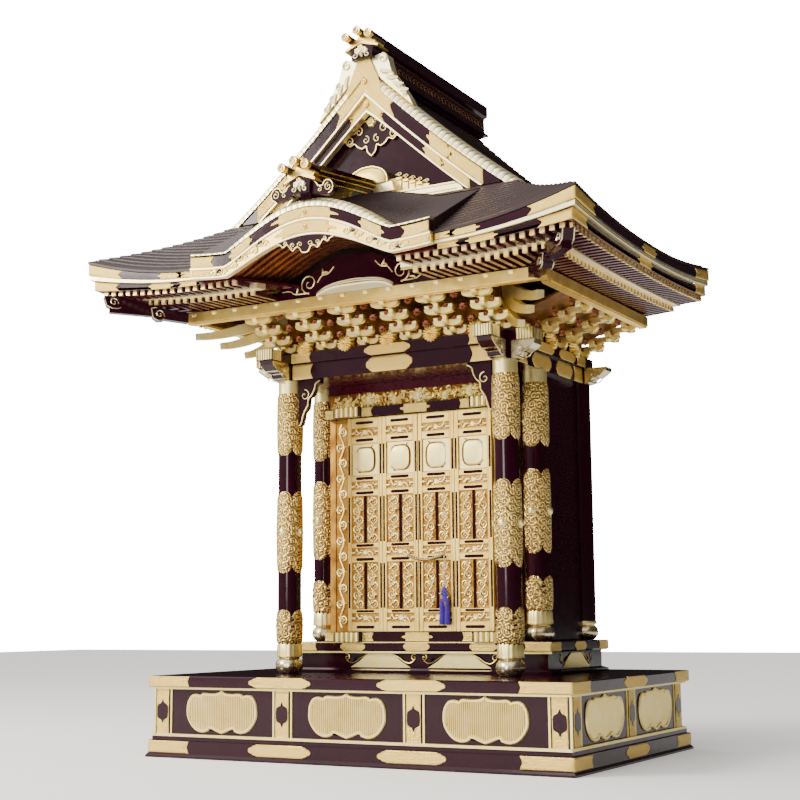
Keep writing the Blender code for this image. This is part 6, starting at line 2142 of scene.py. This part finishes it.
prism(cream, mirrored(field), face, -0.001, 0.003)
for k in range(2):
    raised(gold, face, (-0.212, 0.212),
           (GABLE_FLOOR + 0.010 + 0.012 * k, GABLE_FLOOR + 0.0125 + 0.012 * k), 0.009, 0.0115)
DOME_FOOT = 1.234
dome = curve_through([(0.046, 0.0), (0.045, 0.014), (0.034, 0.028), (0.014, 0.036), (0, 0.037)], 5)
dome = mirrored(dome)
rings = [[face(a * share, DOME_FOOT + b * share, level) for a, b in dome] for share, level in
         ((1.0, 0.002), (0.99, 0.024), (0.92, 0.0265), (0.55, 0.0275), (0.15, 0.028))]
capped(gold, rings)
tube(wires, [face(a * 1.06, DOME_FOOT + b * 1.08, 0.023) for a, b in dome], 0.0022, 6)
prism(cream, [(0.066, 1.2135), (0.060, DOME_FOOT), (-0.060, DOME_FOOT), (-0.066, 1.2135)], face, 0.0,
      0.022)
for hand in (-1, 1):
    for k in range(5):
        x = hand * (0.070 + 0.017 * k)
        z = STAIR_FOOT + 0.030 - 0.0062 * k
        raised(gold, face, (x - 0.0075, x + 0.0075), (z - 0.006, z), 0.002, 0.009)
        raised(gold, face, (x - 0.005, x + 0.005), (STAIR_FOOT, z - 0.006), 0.002, 0.006)
        curl(wires, face, x, z + 0.0062, 0.0052, 0, hand, 0.0012, 1.1, 0.006)
        frond(wires, face, x, z + 0.006, 0.014, 0.006, pi / 2 + hand * 0.9, 0.006)
PENDANT = [(0, -0.004), (0.010, -0.012), (0.022, -0.014), (0.034, -0.024), (0.044, -0.036),
           (0.058, -0.040), (0.066, -0.052), (0.056, -0.064), (0.044, -0.060), (0.036, -0.068),
           (0.024, -0.074), (0.014, -0.070), (0.010, -0.084), (0, -0.094)]
PENDANT_TOP = verge(0, 0.0925) - 0.006
half = curve_through(PENDANT, 4)
cloud = [(a, PENDANT_TOP + b) for a, b in both_halves(half)]
prism(black, cloud, face, 0.0, 0.005)
tube(wires, [face(a, b, 0.0055) for a, b in cloud + cloud[:2]], 0.0018, 6)
for hand in (-1, 1):
    for s, t, size in ((0.032, -0.034, 0.0100), (0.056, -0.053, 0.0085), (0.014, -0.056, 0.0085)):
        curl(wires, face, hand * s, PENDANT_TOP + t, size, pi / 2, hand, 0.0019, 1.2, 0.0062)
petal_ring(wires, face, 0, PENDANT_TOP - 0.0175, 0.0125, 6, 0.004, 0.006)
petal_ring(wires, face, 0, PENDANT_TOP - 0.0175, 0.0055, 6, 0.003, 0.010)
show("gable_ground", cream, TILE, "gold")
show("gable_dome", gold, GOLD, "gold", smooth=40)
show("gable_pendant", black, BLACK, "lacquer")
show("gable_wires", wires, HIGHLIGHT_GOLD, "gold")

# %% [markdown]
# A row of gilt rings runs along each side of the ridge between two gold lines. Its front end closes with
# a small roofed block, three scroll-ended tubes, and carved fins that ride down both slopes.

# %% Ridge lines and rings
ridge_low, ridge_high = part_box("ridge")
RIDGE_FOOT = ridge_low.z
ring = bmesh.new()
loop = [(0.0, 0.0062 * cos(2 * pi * k / 14), 0.0062 * sin(2 * pi * k / 14)) for k in range(15)]
tube(ring, loop, 0.0014, 5, up=(1, 0, 0))
RING = solid(ring)
# A dark brown gold for the ridge's rings and lines.
DARK_RING_GOLD = leaf_gold("dark_ring_gold", (0.42, 0.20, 0.10, 1), (0.16, 0.05, 0.03, 1), 0.4)
ring_parts, line_work = [], bmesh.new()
for hand in (-1, 1):
    x = hand * 0.0258
    z = RIDGE_FOOT + 0.031
    ring_parts.append(row([(x, ridge_low.y + 0.014, z), (x, ridge_high.y - 0.014, z)], RING, 0.0172,
                          DARK_RING_GOLD))
    for high, out in ((0.0135, 0.0275), (0.0485, 0.0262)):
        x = sorted((hand * (out - 0.003), hand * out))
        block(line_work, x, (ridge_low.y + 0.001, ridge_high.y - 0.001),
              (RIDGE_FOOT + high - 0.0012, RIDGE_FOOT + high + 0.0012))
show("ridge_rings", joined(ring_parts), DARK_RING_GOLD, "gold")
show("ridge_lines", line_work, DARK_RING_GOLD, "gold")

# %% Ridge ends


def scroll_tube(work, wires, dark, x, z, radius, front, back):
    """A black tube whose gilt front is closed by a disc with a rim and a scroll."""
    front = front + 0.0012
    sleeve_back = front + 0.013
    capped(dark, [[(x + radius * 0.96 * cos(2 * pi * n / 24), y, z + radius * 0.96 * sin(2 * pi * n / 24))
                   for n in range(24)] for y in (sleeve_back, back)])
    rings = []
    for y, share in ((sleeve_back, 1.0), (front + 0.004, 1.0), (front + 0.003, 1.10),
                     (front + 0.0005, 1.10), (front, 1.04), (front + 0.0008, 0.8), (front + 0.0008, 0.1)):
        rings.append([(x + radius * share * cos(2 * pi * n / 24), y,
                       z + radius * share * sin(2 * pi * n / 24)) for n in range(24)])
    capped(work, rings)
    curl(wires, front_face(front + 0.0006), x, z, radius * 0.66, pi / 2, 1, radius * 0.13, 1.5, 0.0006)


def ridge_end(name, node, base, height, half, front, back, tube_front, tube_half):
    gold, wires, black, cream = bmesh.new(), bmesh.new(), bmesh.new(), bmesh.new()
    radius = 0.0090
    thick = back - front
    face = front_face(front)
    panel = [(half * 0.60, base), (half * 0.64, base + height * 0.36),
             (half * 0.80, base + height * 0.37), (0, base + height * 0.60)]
    prism(black, mirrored(panel), face, -thick, -0.003)
    for lift, out, off in ((0.0, 1.0, 0.0), (0.05, 0.95, -0.002)):
        roof = [(half * out, base + height * (0.36 + lift)), (half * out, base + height * (0.42 + lift)),
                (0, base + height * (0.64 + lift)), (-half * out, base + height * (0.42 + lift)),
                (-half * out, base + height * (0.36 + lift)), (0, base + height * (0.58 + lift))]
        prism(gold, roof, face, -thick, off)
    saddle = curve_through([(tube_half * 0.98, base + height * 0.50),
                            (tube_half * 1.16, base + height * 0.62),
                            (tube_half * 1.05, base + height * 0.78),
                            (tube_half * 0.5, base + height * 0.80),
                            (tube_half * 0.30, base + height * 0.96), (0, base + height)], 4)
    prism(gold, mirrored(saddle) + [(0, base + height * 0.62)], face, -thick, -0.006)
    scroll_tube(gold, wires, black, 0, base + height - 0.0017, radius, tube_front, back)
    for hand in (-1, 1):
        scroll_tube(gold, wires, black, hand * tube_half, base + height * 0.8, radius, tube_front, back)
        petal_ring(cream, face, hand * half * 0.21, base + height * 0.30, half * 0.20, 5, 0.004, -0.002)
        curl(cream, face, hand * half * 0.36, base + height * 0.14, half * 0.16, pi / 2, hand, 0.0016,
             1.2, 0.0)
    petal_ring(cream, face, 0, base + height * 0.40, half * 0.2, 5, 0.005, -0.002)
    frond(cream, face, 0, base + height * 0.26, height * 0.22, half * 0.18, -pi / 2 - 0.25, 0.005)
    for part, work, finish, slot in (("roof", gold, GOLD, "gold"), ("scrolls", wires, SILVERED, "gold"),
                                     ("panel", black, BLACK, "lacquer"), ("flower", cream, TILE, "gold")):
        show(f"{name}_{part}", work, finish, slot, stands_for=[node] if part == "roof" else ())


END_BASE = RIDGE_Z + 0.0186
end_back = ridge_low.y - 0.0003
ridge_end("ridge_end", "ridge_end", END_BASE, 0.060, 0.043, VERGE_FRONT - 0.012, end_back,
          VERGE_FRONT - 0.034, 0.029)

work = bmesh.new()
face = front_face(VERGE_FRONT + 0.004)
fin_thick = end_back - VERGE_FRONT - 0.006
FIN_TIP = 0.122
FIN = [(0.018, END_BASE + 0.005), (0.042, END_BASE + 0.008), (0.056, END_BASE + 0.004),
       (0.060, END_BASE - 0.008)]
FIN += [(x, verge(x) + 0.0105 + 0.038 * ((FIN_TIP - x) / 0.054) ** 0.75)
        for x in (0.068, 0.077, 0.086, 0.095, 0.104, 0.112)]
for hand in (-1, 1):
    edge = curve_through(FIN, 4)
    foot = [(x, verge(x) + 0.0105) for x in ((FIN_TIP - 0.002) - 0.0094 * k for k in range(12))]
    outline = [(a, b) for a, b in edge if b > verge(a) + 0.011] + foot
    prism(work, [(hand * a, b) for a, b in outline], face, -fin_thick, 0.0)
    for s, lift, size in ((0.046, None, 0.0110), (0.066, 0.034, 0.0085), (0.084, 0.026, 0.0070),
                          (0.100, 0.019, 0.0055)):
        z = END_BASE - 0.004 if lift is None else verge(s) + lift
        curl(work, face, hand * s, z, size, pi / 2, -hand, 0.0022, 1.25, 0.0014)
    for s, length in ((0.040, 0.030), (0.056, 0.030), (0.072, 0.028), (0.088, 0.024)):
        turn = -0.80 if hand > 0 else pi + 0.80
        frond(work, face, hand * s, verge(s) + 0.030 - 0.12 * (s - 0.040), length, 0.012, turn, 0.0052)
show("ridge_fins", work, TILE, "gold", smooth=45)
neck = [(0.012, END_BASE + 0.018), (0.017, END_BASE - 0.002), (0.042, verge(0.042)),
        (0.042, verge(0.042) - 0.020), (0.0, verge(0) - 0.020)]
work = bmesh.new()
prism(work, mirrored(neck), front_face(VERGE_FRONT - 0.0004), -0.004, 0.0)
show("apex_plate", work, FITTING, "gold")

# %% [markdown]
# Over the entrance the roof swells into a curved gable. One bell-shaped line gives the tile band, both
# boards, the soffit and the ribs under it; only the distance below the line changes.

# %% Curved gable's line
porch_low, porch_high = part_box("porch_board")
PORCH_FRONT, PORCH_BACK = porch_low.y, porch_high.y
BELL_HALF, BELL_BEND = 0.2, 1.15
PORCH_FOOT, PORCH_RISE, PORCH_LIFT = 1.048, 0.0746, 0.006
BAND_THIN, BAND_SWELL = 0.007, 0.0158
REAR_Y = gable_foot_y - 0.0155


def bell(x):
    return max(0.0, cos(pi / 2 * min(abs(x) / BELL_HALF, 1.0))) ** BELL_BEND


def porch_line(x):
    tail = max(0.0, (abs(x) - BELL_HALF) / (PORCH_HALF - BELL_HALF))
    return PORCH_FOOT + PORCH_RISE * bell(x) + PORCH_LIFT * tail ** 1.5


def porch_band(x):
    return BAND_THIN + BAND_SWELL * bell(x) ** 0.5


def porch_xs(count=72, half=PORCH_HALF):
    return [half * (2 * k / count - 1) for k in range(count + 1)]


def porch_strip(work, upper, lower, y, soften=0.0006, half=PORCH_HALF):
    """A board under the curved line; upper and lower are drops, or rules that give a drop for x."""
    drop = lambda value, x: value(x) if callable(value) else value
    rings = []
    for x in porch_xs(half=half):
        high, low = porch_line(x) - drop(upper, x), porch_line(x) - drop(lower, x)
        rings.append([(x, y[0] + soften, high), (x, y[0], high - soften), (x, y[0], low + soften),
                      (x, y[0] + soften, low), (x, y[1], low), (x, y[1], high)])
    capped(work, rings)


# %% Curved roof and its ribs
PORCH_SHELL = 0.034
SHELL_TOP, SHELL_LOW, LINING_Z, SHELL_SWELL = 1.176, 1.082, 1.0815, 0.03
ROWS_BACK = 26
roof_rows = []
for k in range(ROWS_BACK * 2 + 1):
    share = (k // 2 + k % 2) / (ROWS_BACK + 1)
    y = PORCH_BACK + 0.0003 + (REAR_Y - PORCH_BACK) * share
    step = 0.0022 if k % 2 == 0 and k else 0.0
    ring = []
    for x in porch_xs(48):
        at_wall = SHELL_TOP + SHELL_SWELL * bell(x)
        ring.append((x, y, (1 - share) * (porch_line(x) + 0.004) + share * at_wall + step))
    low = [(x, y, (1 - share) * (porch_line(x) - PORCH_SHELL + 0.006) + share
            * (SHELL_LOW + SHELL_SWELL * bell(x))) for x in porch_xs(48)]
    roof_rows.append(ring + low[::-1])
work = bmesh.new()
capped(work, roof_rows)
show("curved_roof", work, ROOF_BLACK, "lacquer", smooth=30, stands_for=["porch_roof"])

work = bmesh.new()
rings = []
for k in range(9):
    share = k / 8
    y = PORCH_BACK + 0.0006 + (REAR_Y - PORCH_BACK - 0.006) * share
    top = [(x, y, (1 - share) * (porch_line(x) - PORCH_SHELL + 0.0055) + share
            * (LINING_Z + SHELL_SWELL * bell(x))) for x in porch_xs(48, 0.285)]
    rings.append(top + [(x, y, z - 0.004) for x, y, z in top[::-1]])
capped(work, rings)
show("curved_lining", work, DEEP_GOLD, "gold", smooth=40)

rib = bmesh.new()
rings = []
for x in porch_xs(48, 0.235):
    top = porch_line(x) - PORCH_SHELL + 0.002
    rings.append([(x, 0, top), (x, 0.010, top), (x, 0.010, top - 0.011), (x, 0, top - 0.011)])
capped(rib, rings)
rib_shape = solid(rib)
ribs = row([(0, PORCH_BACK + 0.012, 0), (0, FRONT_LINE - PURLIN_OUT - 0.026, 0)], rib_shape, 0.0205,
           RUSSET)
show("curved_ribs", ribs, RUSSET, "gold", smooth=30)

# %% Tile band and boards
parts = tile_row(lambda x: porch_line(x) + 0.0050, lambda x: porch_band(x) / 0.0225,
                 (-PORCH_HALF + 0.008, PORCH_HALF - 0.008), PORCH_FRONT + 0.0205)
show("curved_tiles", parts, TILE, "gold", smooth=40)
UPPER, LINE, MOULDING = 0.0225, 0.0285, 0.0045


def carved_foot(x):
    return 0.059 - 0.012 * (1 - bell(x))


work = bmesh.new()
porch_strip(work, 0.0003, UPPER, (PORCH_FRONT + 0.001, PORCH_BACK))
show("curved_board", work, BLACK, "lacquer", smooth=30, stands_for=["porch_board"])
work = bmesh.new()
porch_strip(work, UPPER, LINE, (PORCH_FRONT, PORCH_BACK), 0.0015)
porch_strip(work, lambda x: carved_foot(x) - MOULDING, carved_foot, (PORCH_FRONT + 0.001, PORCH_BACK),
            0.0012)
show("curved_lines", work, TILE, "gold", smooth=30)
work = bmesh.new()
porch_strip(work, LINE, lambda x: carved_foot(x) - MOULDING, (PORCH_FRONT + 0.003, PORCH_BACK))
show("carved_board", work, GOLD, "gold", smooth=30)

drops = {"upper": (0.0008, UPPER, PORCH_FRONT + 0.001), "lower": (LINE, None, PORCH_FRONT + 0.003)}


def curved_board(kind):
    upper, lower, y = drops[kind]

    def place(s, t, d):
        foot = lower if lower else carved_foot(s) - MOULDING
        return (s, y - d, porch_line(s) - upper - (foot - upper) * (1 - t) / 2)
    return place


work, bosses, black, wires = [bmesh.new() for _ in range(4)]
upper_place, lower_place = curved_board("upper"), curved_board("lower")
plate(work, upper_place, 0.0, 0, mokko(0.165, FULL, CUT_NOSE), steps=LONG_STEPS)
plate(work, lower_place, 0.0, 0, mokko(0.150, FULL, CUT_NOSE), steps=LONG_STEPS)
for hand in (-1, 1):
    plate(work, upper_place, hand * 0.158, 0, mokko(0.06, FULL, CUT_NOSE), steps=LOBED_STEPS)
    plate(work, upper_place, hand * (PORCH_HALF - 0.033), 0,
          tailed(0.062, FULL, left=hand > 0, right=hand < 0, notch=0.005))
    plate(work, lower_place, hand * (PORCH_HALF - 0.030), 0,
          tailed(0.056, FULL, left=hand > 0, right=hand < 0, notch=0.005))
    for k in range(6):
        s = hand * (0.098 + 0.026 * k)
        z = porch_line(s) - (LINE + carved_foot(s) - MOULDING) / 2
        flat_face = front_face(PORCH_FRONT + 0.003)
        curl(wires, flat_face, s, z, 0.0072, pi * 0.5 * (k % 2), hand * (1 if k % 2 else -1), 0.0015, 1.3,
             0.0014)
        frond(wires, flat_face, s + hand * 0.006, z - 0.004, 0.016, 0.006, 0.4 if hand > 0 else pi - 0.4,
              0.004)
        if k in (0, 2, 4):
            curl(black, flat_face, s + hand * 0.013, z + 0.001, 0.0050, 0, -hand, 0.0019, 1.1, 0.0012)
            petal_ring(black, flat_face, s + hand * 0.019, z - 0.003, 0.0034, 5, 0.0018)
for place, y in ((upper_place, PORCH_FRONT + 0.001), (lower_place, PORCH_FRONT + 0.003)):
    centre = place(0, 0, 0)[2]
    for size, off in ((0.0072, 0.001), (0.0038, 0.0032)):
        petal_ring(bosses, front_face(y), 0, centre, size, 8, 0.003, off)
show("curved_fittings", work, FITTING, "gold", smooth=50)
show("curved_bosses", bosses, GOLD, "gold")
show("carved_scrolls", wires, HIGHLIGHT_GOLD, "gold")

half = curve_through([(0.0, -0.036), (0.008, -0.034), (0.014, -0.024), (0.022, -0.022), (0.030, -0.027),
                      (0.038, -0.018), (0.044, -0.010), (0.054, -0.013), (0.060, -0.006),
                      (0.068, -0.001)], 3)
top_of = lambda x: porch_line(x) - carved_foot(x)
cloud = [(a, top_of(a) + b) for a, b in half] + [(a, top_of(a) + 0.002) for a in (0.05, 0.025, 0.0)]
outline = both_halves(cloud)
face = front_face(PORCH_FRONT + 0.004)
prism(black, outline, face, -0.006, 0.0)
wires = bmesh.new()
edge = [(a, top_of(a) + b) for a, b in half]
tube(wires, [face(a, b, 0.0006) for a, b in [(-a, b) for a, b in reversed(edge[1:])] + edge], 0.0012, 5)
for hand in (-1, 1):
    for s, t, size in ((0.012, -0.018, 0.0062), (0.030, -0.016, 0.0055), (0.047, -0.007, 0.0045)):
        curl(wires, face, hand * s, top_of(s) + t, size, -pi / 2, hand, 0.0011, 1.3, 0.0010)
show("pendant_fretwork", black, BLACK, "lacquer")
show("pendant_wires", wires, HIGHLIGHT_GOLD, "gold")

# %% Porch ridge
web_front, web_stop = PORCH_FRONT + 0.006, GABLE_BACK - 0.0225
web_foot = GABLE_FOOT_Z - 0.0007
slide = lambda s, t, d: (d, s, t)
work = bmesh.new()
prism(work, [(web_front, porch_line(0) + 0.006), (REAR_Y - 0.002, 1.180), (REAR_Y - 0.002, web_foot),
             (web_stop, web_foot), (web_stop, 1.242), (web_front, 1.212)], slide, -0.0125, 0.0125)
show("porch_ridge_web", work, BLACK, "lacquer")
work = bmesh.new()
prism(work, [(web_front, 1.200), (web_stop, 1.230), (web_stop, 1.2420), (web_front, 1.2120)], slide,
      -0.02, 0.02)
show("porch_ridge_cap", work, BLACK, "lacquer")
work = bmesh.new()
for z, half in ((1.2008, 0.0212), (1.192, 0.0155), (1.180, 0.0145)):
    prism(work, [(web_front + 0.001, z - 0.0011), (web_stop - 0.001, z + 0.029),
                 (web_stop - 0.001, z + 0.0312), (web_front + 0.001, z + 0.0011)], slide, -half, half)
show("porch_ridge_lines", work, GOLD, "gold")

PORCH_END_BASE = porch_line(0) + 0.0228 + 0.0009
end_back = PORCH_FRONT + 0.0057
end_front = end_back - 0.024
ridge_end("porch_end", "porch_ridge_end", PORCH_END_BASE, 0.064, 0.037, end_front, end_back,
          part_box("porch_ridge_end")[0].y, 0.028)
black, wires = bmesh.new(), bmesh.new()
face = front_face(end_back - 0.014)
for hand in (-1, 1):
    board = curve_through([(0.024, 0.026), (0.034, 0.020), (0.040, 0.012), (0.050, 0.012), (0.056, 0.020),
                           (0.066, 0.020), (0.074, 0.011), (0.073, -0.001), (0.064, -0.007)], 4)
    points = [(hand * a, PORCH_END_BASE + b) for a, b in board]
    foot = [(hand * x, porch_line(x) + porch_band(x) + 0.0009)
            for x in (0.056, 0.048, 0.040, 0.032, 0.024)]
    prism(black, points + foot, face, -0.0138, 0.0)
    tube(wires, [face(a, b, 0.0004) for a, b in points], 0.0013, 6)
    curl(wires, face, hand * 0.0635, PORCH_END_BASE + 0.0065, 0.0078, pi / 2, hand, 0.0014, 1.35, 0.0008)
    curl(wires, face, hand * 0.043, PORCH_END_BASE + 0.004, 0.005, pi / 2, -hand, 0.0012, 1.2, 0.0008)
show("porch_scroll_board", black, BLACK, "lacquer")
show("porch_scroll_edges", wires, HIGHLIGHT_GOLD, "gold")

# %% [markdown]
# The rainbow beam closes the porch under the curve. It is black, with a large gilt volute at each
# shoulder and a pale curved moulding along its foot.

# %% Rainbow beam
beam_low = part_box("porch_beam")[0]
face = front_face(beam_low.y)
work, cream = bmesh.new(), bmesh.new()
for hand in (-1, 1):
    s, t = hand * 0.115, beam_low.z + 0.030
    curl(work, face, s, t, 0.021, -pi / 2, hand, 0.0019, 1.5, 0.0012)
    tail = curve_through([(0.115, 0.009), (0.15, 0.010), (0.165, 0.018), (0.185, 0.018)], 5)
    tube(work, [face(hand * a, beam_low.z + b, 0.001) for a, b in tail], 0.0015, 5)
    spray = curve_through([(0.094, 0.030), (0.082, 0.044), (0.066, 0.047), (0.052, 0.060)], 5)
    tube(work, [face(hand * a, beam_low.z + b, 0.001) for a, b in spray], 0.0014, 5)
    for a, b, turn in ((0.082, 0.044, 1.1), (0.066, 0.048, 2.6), (0.15, 0.011, 0.8)):
        frond(work, face, hand * a, beam_low.z + b, 0.016, 0.005, turn if hand < 0 else pi - turn, 0.002)
arc = [(0.095 * (2 * k / 24 - 1), beam_low.z + 0.002 + 0.016 * (1 - (2 * k / 24 - 1) ** 4))
       for k in range(25)]
for lift, off, bead in ((0.0, 0.0016, 0.0030), (0.0058, 0.001, 0.0022), (0.0102, 0.0006, 0.0016)):
    tube(cream, [face(a, b - 0.001 + lift * (1 - abs(a) / 0.2), off) for a, b in arc], bead, 8)
prism(cream, arc + [(0.095, beam_low.z + 0.0005), (-0.095, beam_low.z + 0.0005)], face, 0.0, 0.0012)
show("beam_volutes", work, HIGHLIGHT_GOLD, "gold")
show("beam_moulding", cream, TILE, "gold", smooth=50)
